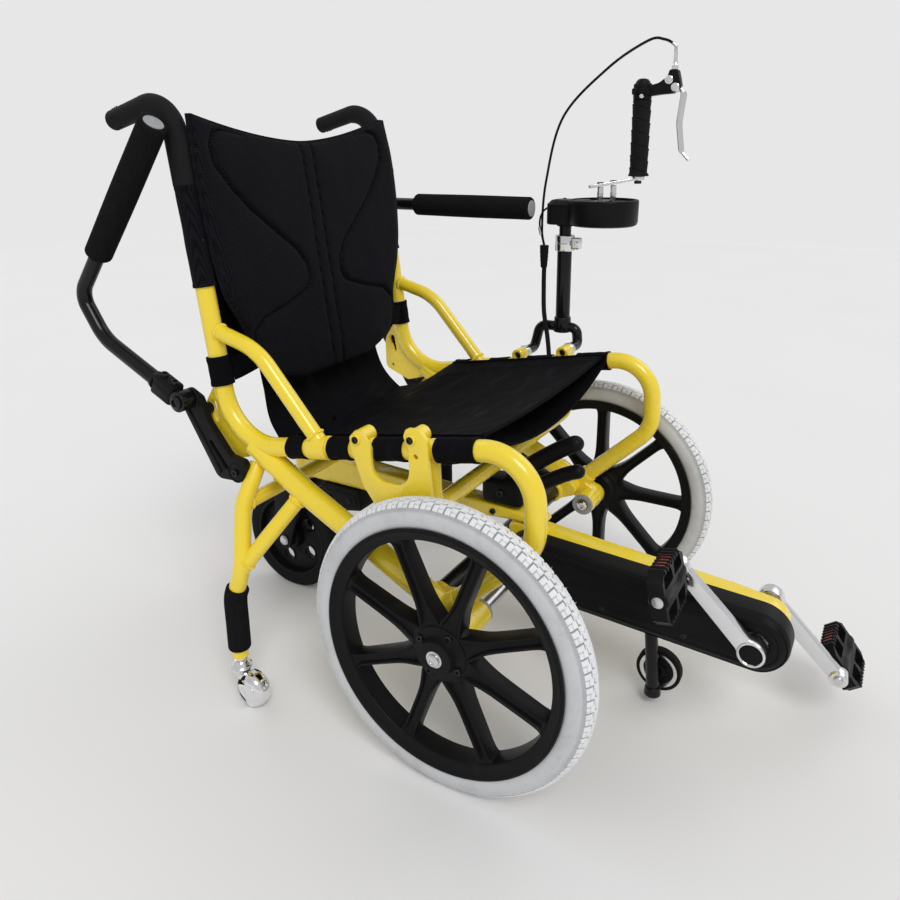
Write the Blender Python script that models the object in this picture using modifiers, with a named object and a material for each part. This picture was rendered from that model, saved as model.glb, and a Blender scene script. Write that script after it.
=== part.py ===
"""Pedal wheelchair with a rear steering wheel and a side steering column.

The rider faces -Y and +Z is up. Lengths are metres. The model is laid out in chair coordinates,
with y = 0 at the drive wheels' axle and z = 0 on the floor, and then moved so that the origin is
under the middle of the whole chair. "right" is the rider's right, at -X.
"""
import math

import bmesh
import bpy
from mathutils import Matrix, Quaternion, Vector

CHAIR_ORIGIN = Vector((-0.0215, -0.0999, 0.0))
GAP = 0.0003

# Drive wheels
WHEEL_X = 0.282
AXLE_Z = 0.203
TYRE_RADIUS = 0.203
TYRE_SECTION = 0.0225
SPOKE_COUNT = 8
WHEEL_STEPS = 24
TYRE_FACETS = 8
HUB_OUT = 0.027
AXLE_RADIUS = 0.0085
AXLE_BORE = 0.0095

# Side frames
SIDE_X = 0.235
SIDE_TUBE = 0.014
SIDE_PATH = ((0.008, 0.2435), (-0.101, 0.348), (-0.097, 0.4725), (0.396, 0.383), (0.466, 0.888),
             (0.582, 0.858))
SIDE_BENDS = (0.060, 0.060, 0.085, 0.050)
MAIN_TUBE = 0.017
MAIN_PATH = ((0.3535, 0.3950), (0.261, 0.339), (0.060, 0.2405))
BRACE_TUBE = 0.0115
BRACE_PATH = ((0.421, 0.562), (0.335, 0.540), (0.226, 0.418))
BRACE_FOOT = (0.2275, 0.4135)
LUG_STATIONS = (0.063, 0.149)
LUG_RISE = 0.020
LUG_OUT = 0.2508
OUTRIGGER_TUBE = 0.0125
OUTRIGGER_PATH = ((0.235, 0.350, 0.366), (0.270, 0.352, 0.312), (0.297, 0.337, 0.225),
                  (0.300, 0.3525, 0.175), (0.300, 0.3525, 0.076))
DIAGONAL_TUBE = 0.0115
DIAGONAL_ENDS = ((0.235, 0.262, 0.340), (0.297, 0.3385, 0.222))
CROSS_Y = 0.050
CROSS_Z = 0.360
AXLE_TUBE = 0.015
AXLE_TUBE_AT = (0.0605, 0.213)

# Drive unit
CRANK_Y = -0.334
CRANK_Z = 0.186
CRANK_LENGTH = 0.138
CRANK_TURN = math.radians(44.1)
CASE_HALF = 0.0435
CASE_X = (-0.0570, -0.0165)
BOOM_X = (-0.0160, 0.0220)
SPROCKET_X = -0.0370
SPROCKET_PITCH = 0.0127
SPROCKET_TEETH = 16
PEDAL_LONG = 0.090
PEDAL_DEEP = 0.074
PEDAL_THICK = 0.020

# Rear wheel and its steering head
HEAD_Y = 0.465
REAR_Y = 0.505
REAR_RADIUS = 0.102
SPINE_HALF = 0.019

# Casters
CASTER_X = 0.300
CASTER_Y = 0.3525
CASTER_TRAIL = 0.021
CASTER_RADIUS = 0.024
CASTER_CLEAR = 0.002

# Front stand
STAND_WHEEL_Z = 0.048
STAND_WHEEL_RADIUS = 0.034

# Back cushion
WAIST_Z = 0.610
WAIST_HALF = 0.045

# Armrests
ARM_X = 0.2755
ARM_PIVOT = (0.453, 0.458)
ARM_TUBE = 0.0105
ARM_PATH = ((0.453, 0.458), (0.4985, 0.632), (0.4760, 0.7075), (0.160, 0.7075))
PAD_RADIUS = 0.0205
PAD_Y = (0.150, 0.392)
ARM_RAISED = math.radians(-50.6)

# Steering column
COLUMN_X = 0.300
COLUMN_Y = 0.094
HOUSING_Z = (0.681, 0.724)
PULLEY_Y = 0.025
PULLEY_CASE = 0.060
GRIP_AT = (0.330, -0.024)
GRIP_Z = (0.764, 0.887)
LEVER_PIVOT = (-0.080, 0.905)

YELLOW = ((0.90, 0.62, 0.025), 0.28, 0.0)
BLACK_PAINT = ((0.012, 0.012, 0.013), 0.25, 0.0)
BLACK_PLASTIC = ((0.018, 0.018, 0.019), 0.45, 0.0)
BLACK_RUBBER = ((0.022, 0.022, 0.024), 0.75, 0.0)
FOAM = ((0.014, 0.014, 0.016), 0.95, 0.0)
CLOTH = ((0.010, 0.010, 0.013), 0.90, 0.0)
GREY_RUBBER = ((0.46, 0.47, 0.47), 0.70, 0.0)
ALLOY = ((0.62, 0.63, 0.65), 0.35, 1.0)
CHROME = ((0.78, 0.79, 0.80), 0.12, 1.0)
STEEL = ((0.45, 0.46, 0.48), 0.30, 1.0)

for leftover in list(bpy.data.objects):
    bpy.data.objects.remove(leftover, do_unlink=True)

parts = bpy.data.collections.new("pedal_wheelchair")
bpy.context.scene.collection.children.link(parts)


def mesh_object(name, mesh):
    """A new object in the parts collection."""
    thing = bpy.data.objects.new(name, mesh)
    parts.objects.link(thing)
    return thing


def discard(thing):
    """Remove an object that was only used to shape another."""
    bpy.data.objects.remove(thing, do_unlink=True)


def realised(thing):
    """The object with its curve or modifiers turned into one welded mesh."""
    bpy.context.view_layer.update()
    graph = bpy.context.evaluated_depsgraph_get()
    mesh = bpy.data.meshes.new_from_object(thing.evaluated_get(graph))
    weld = bmesh.new()
    weld.from_mesh(mesh)
    bmesh.ops.remove_doubles(weld, verts=weld.verts, dist=0.00001)
    weld.to_mesh(mesh)
    weld.free()
    solid = mesh_object(thing.name + "_solid", mesh)
    solid.matrix_world = thing.matrix_world.copy()
    discard(thing)
    return settle(solid)


def settle(thing):
    """Put the object's placement into its mesh, so that later steps work in chair coordinates."""
    thing.data.transform(thing.matrix_basis)
    thing.matrix_basis = Matrix.Identity(4)
    return thing


def from_bmesh(name, shape):
    """An object made of a finished bmesh."""
    bmesh.ops.recalc_face_normals(shape, faces=shape.faces)
    mesh = bpy.data.meshes.new(name)
    shape.to_mesh(mesh)
    shape.free()
    return mesh_object(name, mesh)


def turn_to(axis):
    """The rotation that takes +Z to an axis."""
    return Vector((0, 0, 1)).rotation_difference(Vector(axis)).to_matrix().to_4x4()


def rod(start, end, radius, end_radius=None, sides=10):
    """A round bar or a cone between two points."""
    start = Vector(start)
    end = Vector(end)
    shape = bmesh.new()
    bmesh.ops.create_cone(shape, cap_ends=True, segments=sides, radius1=radius,
                          radius2=radius if end_radius is None else end_radius, depth=(end - start).length)
    placed = Matrix.Translation((start + end) / 2) @ turn_to(end - start)
    bmesh.ops.transform(shape, matrix=placed, verts=shape.verts)
    return from_bmesh("rod", shape)


def block(low, high, round_edge=0.0, segments=1):
    """A box between two corners, with its edges rounded or chamfered."""
    low = Vector(low)
    high = Vector(high)
    shape = bmesh.new()
    bmesh.ops.create_cube(shape, size=1.0)
    bmesh.ops.scale(shape, vec=high - low, verts=shape.verts)
    bmesh.ops.translate(shape, vec=(low + high) / 2, verts=shape.verts)
    if round_edge:
        bmesh.ops.bevel(shape, geom=shape.edges[:], offset=round_edge, segments=segments,
                        affect="EDGES", profile=0.5)
    return from_bmesh("block", shape)


def rounded(corners, radii, closed=False, step=math.radians(25)):
    """The points of a line through corners, each inner corner rounded to its radius."""
    corners = [Vector((*corner, 0)[:3]) for corner in corners]
    count = len(corners)
    inner = range(count) if closed else range(1, count - 1)
    if isinstance(radii, (int, float)):
        radii = [radii] * len(inner)
    points = [] if closed else [corners[0]]
    for index, radius in zip(inner, radii):
        corner = corners[index]
        back = (corners[index - 1] - corner).normalized()
        ahead = (corners[(index + 1) % count] - corner).normalized()
        turn = math.pi - back.angle(ahead)
        if radius <= 0 or turn < math.radians(2):
            points.append(corner)
            continue
        middle = corner + (back + ahead).normalized() * radius / math.cos(turn / 2)
        first = corner + back * radius * math.tan(turn / 2) - middle
        last = corner + ahead * radius * math.tan(turn / 2) - middle
        swing = first.rotation_difference(last)
        pieces = max(1 if radius < 0.005 else 2, round(turn / step))
        for piece in range(pieces + 1):
            points.append(middle + Quaternion().slerp(swing, piece / pieces) @ first)
    if not closed:
        points.append(corners[-1])
    return points


def smooth_route(knots, count):
    """A smooth curve through its knots, as evenly numbered points."""
    knots = [Vector(knot) for knot in knots]
    padded = [2 * knots[0] - knots[1]] + knots + [2 * knots[-1] - knots[-2]]
    points = []
    for index in range(count + 1):
        place = index / count * (len(knots) - 1)
        leg = min(int(place), len(knots) - 2)
        t = place - leg
        a, b, c, d = padded[leg:leg + 4]
        points.append(0.5 * (2 * b + (c - a) * t + (2 * a - 5 * b + 4 * c - d) * t ** 2
                             + (3 * b - a - 3 * c + d) * t ** 3))
    return points


def tube(route, radius, resolution=2, radii=None):
    """A round bar along a route of points."""
    curve = bpy.data.curves.new("tube", "CURVE")
    curve.dimensions = "3D"
    curve.bevel_depth = radius
    curve.bevel_resolution = resolution
    curve.use_fill_caps = True
    line = curve.splines.new("POLY")
    line.points.add(len(route) - 1)
    for index, place in enumerate(route):
        line.points[index].co = (*place, 1)
        line.points[index].radius = radii[index] if radii else 1.0
    return realised(mesh_object("tube", curve))


def plate(outlines, low, high, round_edge=0.0, segments=1):
    """A flat piece whose outlines are given as (y, z) points; it spans low to high in X."""
    curve = bpy.data.curves.new("plate", "CURVE")
    curve.dimensions = "2D"
    curve.fill_mode = "BOTH"
    curve.extrude = (high - low) / 2
    for outline in outlines:
        line = curve.splines.new("POLY")
        line.points.add(len(outline) - 1)
        for index, place in enumerate(outline):
            line.points[index].co = (place[0], place[1], 0, 1)
        line.use_cyclic_u = True
    flat = realised(mesh_object("plate", curve))
    swap = Matrix(((0, 0, 1, (low + high) / 2), (1, 0, 0, 0), (0, 1, 0, 0), (0, 0, 0, 1)))
    flat.data.transform(swap)
    if round_edge:
        bevel = flat.modifiers.new("edge", "BEVEL")
        bevel.width = round_edge
        bevel.segments = segments
        bevel.limit_method = "ANGLE"
        bevel.angle_limit = math.radians(50)
        flat = realised(flat)
    return flat


def turned(profile, place, axis, steps=32):
    """A turned piece: (radius, height) points down its outer side, and back up the bore if it has one."""
    mesh = bpy.data.meshes.new("profile")
    count = len(profile)
    edges = [(index, index + 1) for index in range(count - 1)]
    if profile[0][0] > 0:
        edges.append((count - 1, 0))
    mesh.from_pydata([(radius, 0, height) for radius, height in profile], edges, [])
    shape = mesh_object("profile", mesh)
    screw = shape.modifiers.new("turn", "SCREW")
    screw.steps = steps
    screw.render_steps = steps
    screw.use_merge_vertices = True
    screw.merge_threshold = 0.00001
    shape.matrix_world = Matrix.Translation(place) @ turn_to(axis)
    return realised(shape)


def combine(body, tools, operation):
    """Join other solids to a body, or cut them from it."""
    for tool in tools:
        step = body.modifiers.new(operation, "BOOLEAN")
        step.object = tool
        step.operation = operation
        step.solver = "EXACT"
        body = realised(body)
        discard(tool)
    tidy = bmesh.new()
    tidy.from_mesh(body.data)
    bmesh.ops.dissolve_limit(tidy, angle_limit=math.radians(1.5), verts=tidy.verts, edges=tidy.edges)
    bmesh.ops.remove_doubles(tidy, verts=tidy.verts, dist=0.00001)
    tidy.to_mesh(body.data)
    tidy.free()
    return body


def joined(body, *tools):
    """One solid made of several that meet."""
    return combine(body, tools, "UNION")


def cut(body, *tools):
    """A solid with the others cut away."""
    return combine(body, tools, "DIFFERENCE")


def grouped(*solids):
    """Separate solids kept in one object."""
    shape = bmesh.new()
    for solid in solids:
        shape.from_mesh(solid.data)
        discard(solid)
    mesh = bpy.data.meshes.new("group")
    shape.to_mesh(mesh)
    shape.free()
    return mesh_object("group", mesh)


def both_sides(solid):
    """A solid and its mirror image, kept in one object."""
    return grouped(mirrored(solid), solid)


def mirrored(solid):
    """A copy of a solid on the other side of the chair."""
    shape = bmesh.new()
    shape.from_mesh(solid.data)
    bmesh.ops.scale(shape, vec=(-1, 1, 1), verts=shape.verts)
    bmesh.ops.reverse_faces(shape, faces=shape.faces)
    mesh = bpy.data.meshes.new("mirrored")
    shape.to_mesh(mesh)
    shape.free()
    return mesh_object("mirrored", mesh)


def body_axis(name, parent, place):
    """An empty on a moving body's axis."""
    axis = bpy.data.objects.new(name, None)
    parts.objects.link(axis)
    axis.empty_display_size = 0.03
    axis.parent = parent
    axis.location = Vector(place) - Vector(parent["chair_place"])
    axis["chair_place"] = Vector(place)
    return axis


def keep(solid, name, finish, carrier, crease=35):
    """Name a finished piece, colour it, shade its round faces smooth and hang it on its body."""
    colour, roughness, metallic = finish
    solid.name = name
    solid.data.name = name
    material = bpy.data.materials.new(name)
    material.use_nodes = True
    shader = material.node_tree.nodes["Principled BSDF"]
    shader.inputs["Base Color"].default_value = (*colour, 1)
    shader.inputs["Roughness"].default_value = roughness
    shader.inputs["Metallic"].default_value = metallic
    solid.data.materials.clear()
    solid.data.materials.append(material)
    solid.data.shade_smooth()
    solid.data.set_sharp_from_angle(angle=math.radians(crease))
    solid.parent = carrier
    solid.matrix_parent_inverse = Matrix.Translation(-Vector(carrier["chair_place"]))
    return solid


def side_point(y, z, x=SIDE_X):
    """A place in the plane of a side frame."""
    return Vector((x, y, z))


def rail_height(y):
    """The height of a seat rail's centre line."""
    (front_y, front_z), (rear_y, rear_z) = SIDE_PATH[2], SIDE_PATH[3]
    return front_z + (rear_z - front_z) * (y - front_y) / (rear_y - front_y)


def post_depth(z):
    """How far back a back post's centre line is at a height."""
    (low_y, low_z), (top_y, top_z) = SIDE_PATH[3], SIDE_PATH[4]
    return low_y + (top_y - low_y) * (z - low_z) / (top_z - low_z)


RAIL = (side_point(0.5, rail_height(0.5)) - side_point(0.0, rail_height(0.0))).normalized()


def side_tube_solid(extra=0.0):
    """The bent side tube, or the same made larger all round."""
    corners = [side_point(*place) for place in SIDE_PATH]
    corners[0] += (corners[0] - corners[1]).normalized() * extra
    corners[-1] += (corners[-1] - corners[-2]).normalized() * extra
    return tube(rounded(corners, SIDE_BENDS, step=math.radians(27)), SIDE_TUBE + extra, 3)


def main_tube_solid(extra=0.0):
    """The thick lower tube from the seat rail to the axle lug."""
    route = rounded([side_point(*place) for place in MAIN_PATH], 0.12)
    return tube(route, MAIN_TUBE + extra, 3)


def outrigger_solid(extra=0.0):
    """The tube that steps out from the rear of the side frame to the caster."""
    return tube(rounded(OUTRIGGER_PATH, (0.05, 0.05, 0.03)), OUTRIGGER_TUBE + extra)


def pair(solid, name, finish, carrier, **options):
    """Keep a left-hand solid under its name and its mirror image on the right."""
    keep(mirrored(solid), "right_" + name, finish, carrier, **options)
    keep(solid, "left_" + name, finish, carrier, **options)


def hull_outline(first, first_radius, second, second_radius, step=math.radians(20)):
    """The outline round two circles of a flat link, as (y, z) points."""
    first = Vector(first)
    second = Vector(second)
    along = second - first
    lean = math.acos((first_radius - second_radius) / along.length)
    heading = math.atan2(along.y, along.x)
    outline = []
    for centre, radius, begin, end in ((first, first_radius, heading + lean, heading + 2 * math.pi - lean),
                                       (second, second_radius, heading - lean, heading + lean)):
        pieces = max(3, math.ceil((end - begin) / step))
        for piece in range(pieces + 1):
            angle = begin + (end - begin) * piece / pieces
            outline.append(centre + radius * Vector((math.cos(angle), math.sin(angle))))
    return outline


def circle_outline(centre, radius, count=16):
    """A round hole's outline, as (y, z) points."""
    turns = [2 * math.pi * index / count for index in range(count)]
    return [(centre[0] + radius * math.cos(a), centre[1] + radius * math.sin(a)) for a in turns]


origin = bpy.data.objects.new("chair_origin", None)
parts.objects.link(origin)
origin.location = CHAIR_ORIGIN
origin["chair_place"] = Vector((0, 0, 0))
frame = origin

# Side frames


def make_side_tubes():
    """The bent tubes from the axle lugs round the seat to the push handles, with what is welded to them."""
    pair(joined(side_tube_solid(), *rail_lugs(), corner_plate()), "side_tube", YELLOW, frame)


def make_braces():
    """The curved struts between the back posts and the seat rails, with their saddles."""
    strut = tube(rounded([side_point(*place) for place in BRACE_PATH], 0.10), BRACE_TUBE)
    foot = side_point(BRACE_FOOT[0], rail_height(BRACE_FOOT[0]))
    saddle = rod(foot - RAIL * 0.017, foot + RAIL * 0.017, SIDE_TUBE + 0.0028)
    pair(cut(joined(strut, saddle), side_tube_solid(GAP)), "brace_tube", YELLOW, frame)


def rail_lugs(extra=0.0):
    """Two lugs on a seat rail, each a barrel on the rail with a round boss above it."""
    lugs = []
    for y in LUG_STATIONS:
        rail = side_point(y, rail_height(y))
        boss = rail + Vector((0, 0, LUG_RISE))
        half = RAIL * (0.0145 + extra)
        lugs.append(rod(rail - half, rail + half, SIDE_TUBE + 0.0014 + extra))
        lugs.append(rod((0.2245, boss.y, boss.z), (LUG_OUT, boss.y, boss.z), 0.0112, sides=8))
    return lugs


def make_main_tubes():
    """The thick lower tubes, cut to sit under the seat rails, with the axle lugs at their front ends."""
    pair(joined(cut(main_tube_solid(), side_tube_solid(GAP)), axle_lug()), "main_tube", YELLOW, frame)


def axle_lug():
    """The forged lug that holds the axle, with sockets for the tubes and the black cross tube."""
    crotch = (0.030, 0.2222)
    leg_end = side_point(*SIDE_PATH[0])
    leg_way = (side_point(*SIDE_PATH[1]) - leg_end).normalized()
    main_end = side_point(*MAIN_PATH[2])
    main_way = (side_point(*MAIN_PATH[1]) - main_end).normalized()
    lug = plate([hull_outline((0, AXLE_Z), 0.0195, crotch, 0.0175, math.radians(45))], 0.2215, 0.2485)
    boss = rod((0.1920, 0, AXLE_Z), (0.2500, 0, AXLE_Z), 0.0190)
    leg_socket = rod(side_point(*crotch), leg_end - leg_way * GAP, 0.0158, sides=8)
    main_socket = rod(side_point(*crotch), main_end + main_way * 0.004, 0.0184)
    arm = plate([hull_outline(crotch, 0.013, AXLE_TUBE_AT, 0.0165, math.radians(60))], 0.1960, 0.2280)
    socket = rod((0.1900, *AXLE_TUBE_AT), (0.2180, *AXLE_TUBE_AT), 0.0192, sides=12)
    lug = joined(lug, boss, leg_socket, main_socket, arm, socket)
    axle_hole = rod((0.18, 0, AXLE_Z), (0.26, 0, AXLE_Z), AXLE_BORE)
    tube_hole = rod((0.18, *AXLE_TUBE_AT), (0.2080, *AXLE_TUBE_AT), AXLE_TUBE + GAP)
    return cut(lug, axle_hole, tube_hole)


def make_outriggers():
    """The bent caster legs with their diagonal stays."""
    leg = outrigger_solid()
    stay = rod(*DIAGONAL_ENDS, DIAGONAL_TUBE)
    leg = joined(leg, stay)
    pair(cut(leg, side_tube_solid(GAP), main_tube_solid(GAP)), "outrigger", YELLOW, frame)


def make_foam_sleeves():
    """Foam sleeves round the lower caster legs."""
    bottom = Vector((CASTER_X, CASTER_Y, 0.089))
    sleeve = tube([bottom, (CASTER_X, CASTER_Y, 0.172), (0.2988, 0.3467, 0.192)], 0.0170)
    pair(cut(sleeve, outrigger_solid(GAP)), "foam_sleeve", FOAM, frame)


def corner_plate():
    """The slotted plate behind a seat corner, which carries the armrest bracket."""
    corners = ((0.4080, 0.4765), (0.4240, 0.4765), (0.4450, 0.4450), (0.4440, 0.3860), (0.3920, 0.3660),
               (0.3450, 0.3800), (0.3450, 0.3920), (0.3760, 0.4080))
    radii = (0, 0.004, 0.03, 0.014, 0.012, 0.004, 0, 0.04)
    outline = rounded(corners, radii, closed=True, step=math.radians(30))
    slot = hull_outline((0.4265, 0.452), 0.0050, (0.4105, 0.408), 0.0042, math.radians(45))
    hole = circle_outline((0.4280, 0.392), 0.0032, 6)
    return cut(plate([outline, slot, hole], 0.2300, 0.2400), main_tube_solid(GAP), outrigger_solid(GAP))


def make_cross_tubes():
    """The front and rear cross tubes of the frame, and the black one between the axle lugs."""
    rail = rail_height(CROSS_Y)
    half = [(0.2330, CROSS_Y - 0.002, rail - 0.002), (0.2240, CROSS_Y, CROSS_Z)]
    route = [(-x, y, z) for x, y, z in half] + half[::-1]
    front = tube(rounded(route, 0.030), 0.0120)
    front = cut(front, both_sides(joined(side_tube_solid(GAP), *rail_lugs(GAP))))
    keep(front, "front_cross_tube", YELLOW, frame)
    rear = rod((-0.268, 0.352, 0.312), (0.268, 0.352, 0.312), 0.0110)
    keep(cut(rear, both_sides(outrigger_solid(GAP))), "rear_cross_tube", YELLOW, frame)
    keep(rod((-0.2070, *AXLE_TUBE_AT), (0.2070, *AXLE_TUBE_AT), AXLE_TUBE),
         "axle_cross_tube", BLACK_PAINT, frame)


def make_lug_plate():
    """The U-shaped plate on the right rail lugs, with its two bolt heads."""
    corners = ((0.0515, 0.4780), (0.0400, 0.4600), (0.0293, 0.3960), (0.0330, 0.3440), (0.0720, 0.3330),
               (0.1080, 0.3440), (0.1420, 0.3870), (0.1575, 0.4440), (0.1480, 0.4580), (0.1330, 0.4500),
               (0.1185, 0.4080), (0.0900, 0.3985), (0.0640, 0.4120), (0.0700, 0.4600), (0.0620, 0.4760))
    radii = (0.009, 0.012, 0.03, 0.01, 0.03, 0.02, 0.03, 0.009, 0.010, 0.007, 0.016, 0.02, 0.012, 0.01, 0.009)
    outline = rounded(corners, radii, closed=True, step=math.radians(32))
    hole = circle_outline((0.0546, 0.4390), 0.0036, 10)
    body = plate([outline, hole], -0.2563, -0.2511)
    for y in LUG_STATIONS:
        z = rail_height(y) + LUG_RISE
        body = joined(body, rod((-0.2550, y, z), (-0.2596, y, z), 0.0062, 0.0052, sides=6))
    keep(body, "lug_plate", YELLOW, frame)


def make_push_grips():
    """Rubber grips on the ends of the back posts."""
    start = side_point(post_depth(0.768), 0.768)
    corners = (start, side_point(*SIDE_PATH[4]), side_point(0.5885, 0.8565))
    route = rounded(corners, 0.050, step=math.radians(24))
    radii = [1.0] * len(route)
    radii[-1] = 0.86
    pair(cut(tube(route, 0.0172, radii=radii), side_tube_solid(2 * GAP)), "push_grip", BLACK_RUBBER, frame)


# Drive unit


def make_boom():
    """The yellow boom ahead of the axle, with the bearing shell that the crank spindle turns in."""
    corners = ((0.0440, 0.1900), (0.0440, 0.2540), (-0.0200, 0.2470), (-0.1070, 0.2395), (-0.2900, 0.2260),
               (-0.3660, 0.2160), (-0.3720, 0.1560), (-0.2900, 0.1500), (-0.0200, 0.1660))
    radii = (0.004, 0.012, 0, 0, 0, 0.030, 0.028, 0, 0)
    body = plate([rounded(corners, radii, closed=True, step=math.radians(30))], *BOOM_X, 0.002)
    right_face = (BOOM_X[0] - 0.0035, CRANK_Y, CRANK_Z)
    left_face = (BOOM_X[1] + 0.0035, CRANK_Y, CRANK_Z)
    shell = rod(right_face, left_face, 0.0205, sides=16)
    bearing = rod((-0.1, CRANK_Y, CRANK_Z), (0.1, CRANK_Y, CRANK_Z), 0.0105, sides=12)
    keep(cut(joined(body, shell), bearing), "front_boom", YELLOW, frame)


def make_chain_case():
    """The black chain case, a shell that is open towards the boom."""
    wall = 0.003
    outer, inner = (hull_outline((CRANK_Y, CRANK_Z), reach, (0, AXLE_Z), reach, math.radians(24))
                    for reach in (CASE_HALF, CASE_HALF - wall))
    shell = plate([outer], *CASE_X, 0.0035)
    hollow = plate([inner], CASE_X[0] + wall, CASE_X[1] + 0.010)
    ends = rod((CASE_X[0] - 0.01, CRANK_Y, CRANK_Z), (CASE_X[0] + 0.02, CRANK_Y, CRANK_Z), 0.0180, sides=16)
    axle = rod((CASE_X[0] - 0.01, 0, AXLE_Z), (CASE_X[0] + 0.02, 0, AXLE_Z), 0.0105, sides=12)
    keep(cut(shell, hollow, ends, axle), "chain_case", BLACK_PLASTIC, frame)


def make_chain():
    """The chain as one closed loop, round both sprockets inside the case."""
    pitch_radius = SPROCKET_PITCH / (2 * math.sin(math.pi / SPROCKET_TEETH))
    outer = hull_outline((CRANK_Y, CRANK_Z), pitch_radius + 0.0042, (0, AXLE_Z), pitch_radius + 0.0042)
    inner = hull_outline((CRANK_Y, CRANK_Z), pitch_radius - 0.0038, (0, AXLE_Z), pitch_radius - 0.0038)
    keep(plate([outer, inner], SPROCKET_X - 0.0036, SPROCKET_X + 0.0036), "drive_chain", STEEL, frame)


def sprocket(centre):
    """A toothed wheel that runs inside the chain loop."""
    pitch_radius = SPROCKET_PITCH / (2 * math.sin(math.pi / SPROCKET_TEETH))
    tip = pitch_radius - 0.0048
    outline = []
    for tooth in range(SPROCKET_TEETH):
        for share, radius in ((0.0, tip), (0.5, tip - 0.004)):
            angle = 2 * math.pi * (tooth + share) / SPROCKET_TEETH
            outline.append((centre[0] + radius * math.cos(angle), centre[1] + radius * math.sin(angle)))
    return plate([outline], SPROCKET_X - 0.0015, SPROCKET_X + 0.0015)


def make_crank_set(crank):
    """The spindle with its sprocket, the two cranks and their pedal pins."""
    at = (CRANK_Y, CRANK_Z)
    spindle = rod((-0.0665, *at), (0.0665, *at), 0.0095, sides=12)
    collar = rod((SPROCKET_X - 0.006, *at), (SPROCKET_X + 0.006, *at), 0.016)
    keep(joined(spindle, sprocket(at), collar), "crank_spindle", STEEL, crank)
    for side, name, turn in ((-1, "right", CRANK_TURN), (1, "left", CRANK_TURN + math.pi)):
        tip = (CRANK_Y + CRANK_LENGTH * math.cos(turn), CRANK_Z + CRANK_LENGTH * math.sin(turn))
        low, high = sorted((side * 0.0668, side * 0.0800))
        arm = plate([hull_outline(at, 0.0155, tip, 0.0112, math.radians(30))], low, high, 0.0022)
        boss = rod((side * 0.0600, *at), (side * 0.0810, *at), 0.0178, sides=12)
        pin = rod((side * 0.0700, *tip), (side * (0.0835 + PEDAL_LONG - 0.008), *tip), 0.0060, sides=12)
        seat = rod((side * 0.0550, *at), (side * 0.0668, *at), 0.0101, sides=12)
        arm = cut(joined(arm, boss, pin), seat)
        cap_seat = rod((side * 0.0780, *at), (side * 0.0850, *at), 0.0140, sides=12)
        keep(cut(arm, cap_seat), name + "_crank", ALLOY, crank)


def make_pedal(side, name, tip, tilt, carrier):
    """A resin platform pedal with an open cage, which turns on its pin."""
    inner = 0.0835
    outer = inner + PEDAL_LONG
    half = PEDAL_DEEP / 2
    corners = ((inner, -half + 0.012), (inner + 0.014, -half), (outer - 0.012, -half), (outer, -half + 0.012),
               (outer, half - 0.012), (outer - 0.012, half), (inner + 0.014, half), (inner, half - 0.012))
    cage = rounded(corners, 0.004, closed=True, step=math.radians(30))
    holes = []
    for sign in (-1, 1):
        for start, end in ((inner + 0.016, inner + 0.042), (inner + 0.048, outer - 0.012)):
            holes.append([(start, sign * 0.0135), (end, sign * 0.0135), (end, sign * (half - 0.006)),
                          (start, sign * (half - 0.006))])
    body = plate([cage, *holes], -PEDAL_THICK / 2, PEDAL_THICK / 2)
    axis_first = Matrix(((0, side, 0, 0), (0, 0, 1, 0), (1, 0, 0, 0), (0, 0, 0, 1)))
    body.data.transform(axis_first)
    shape = bmesh.new()
    shape.from_mesh(body.data)
    bmesh.ops.recalc_face_normals(shape, faces=shape.faces)
    shape.to_mesh(body.data)
    shape.free()
    barrel = rod((side * inner, 0, 0), (side * outer, 0, 0), 0.0128, sides=12)
    bore = rod((side * (inner - 0.01), 0, 0), (side * (outer + 0.01), 0, 0), 0.0070, sides=12)
    body = cut(joined(body, barrel), bore)
    body.data.transform(Matrix.Translation((0, *tip)) @ Matrix.Rotation(tilt, 4, "X"))
    keep(body, name + "_pedal", BLACK_PLASTIC, carrier)


# Drive wheels


def spoke(turn):
    """One moulded spoke: a channel that tapers from the hub to the rim, in wheel coordinates."""
    sections = ((0.031, 0.0112, 0.0138, 0.0040), (0.1545, 0.0086, 0.0115, 0.0034))
    shape = bmesh.new()
    rings = []
    for radius, half_width, half_depth, lip in sections:
        channel = ((-half_width, -half_depth), (half_width, -half_depth), (half_width, half_depth),
                   (half_width - lip, half_depth - 0.005), (lip - half_width, half_depth - 0.005),
                   (-half_width, half_depth))
        ring = [shape.verts.new((depth, across, radius)) for across, depth in channel]
        rings.append(ring)
    for ring, following in zip(rings, rings[1:]):
        for index in range(len(ring)):
            after = (index + 1) % len(ring)
            shape.faces.new((ring[index], ring[after], following[after], following[index]))
    shape.faces.new(rings[0][::-1])
    shape.faces.new(rings[-1])
    bmesh.ops.rotate(shape, cent=(0, 0, 0), matrix=Matrix.Rotation(turn, 3, "X"), verts=shape.verts)
    return from_bmesh("spoke", shape)


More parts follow.
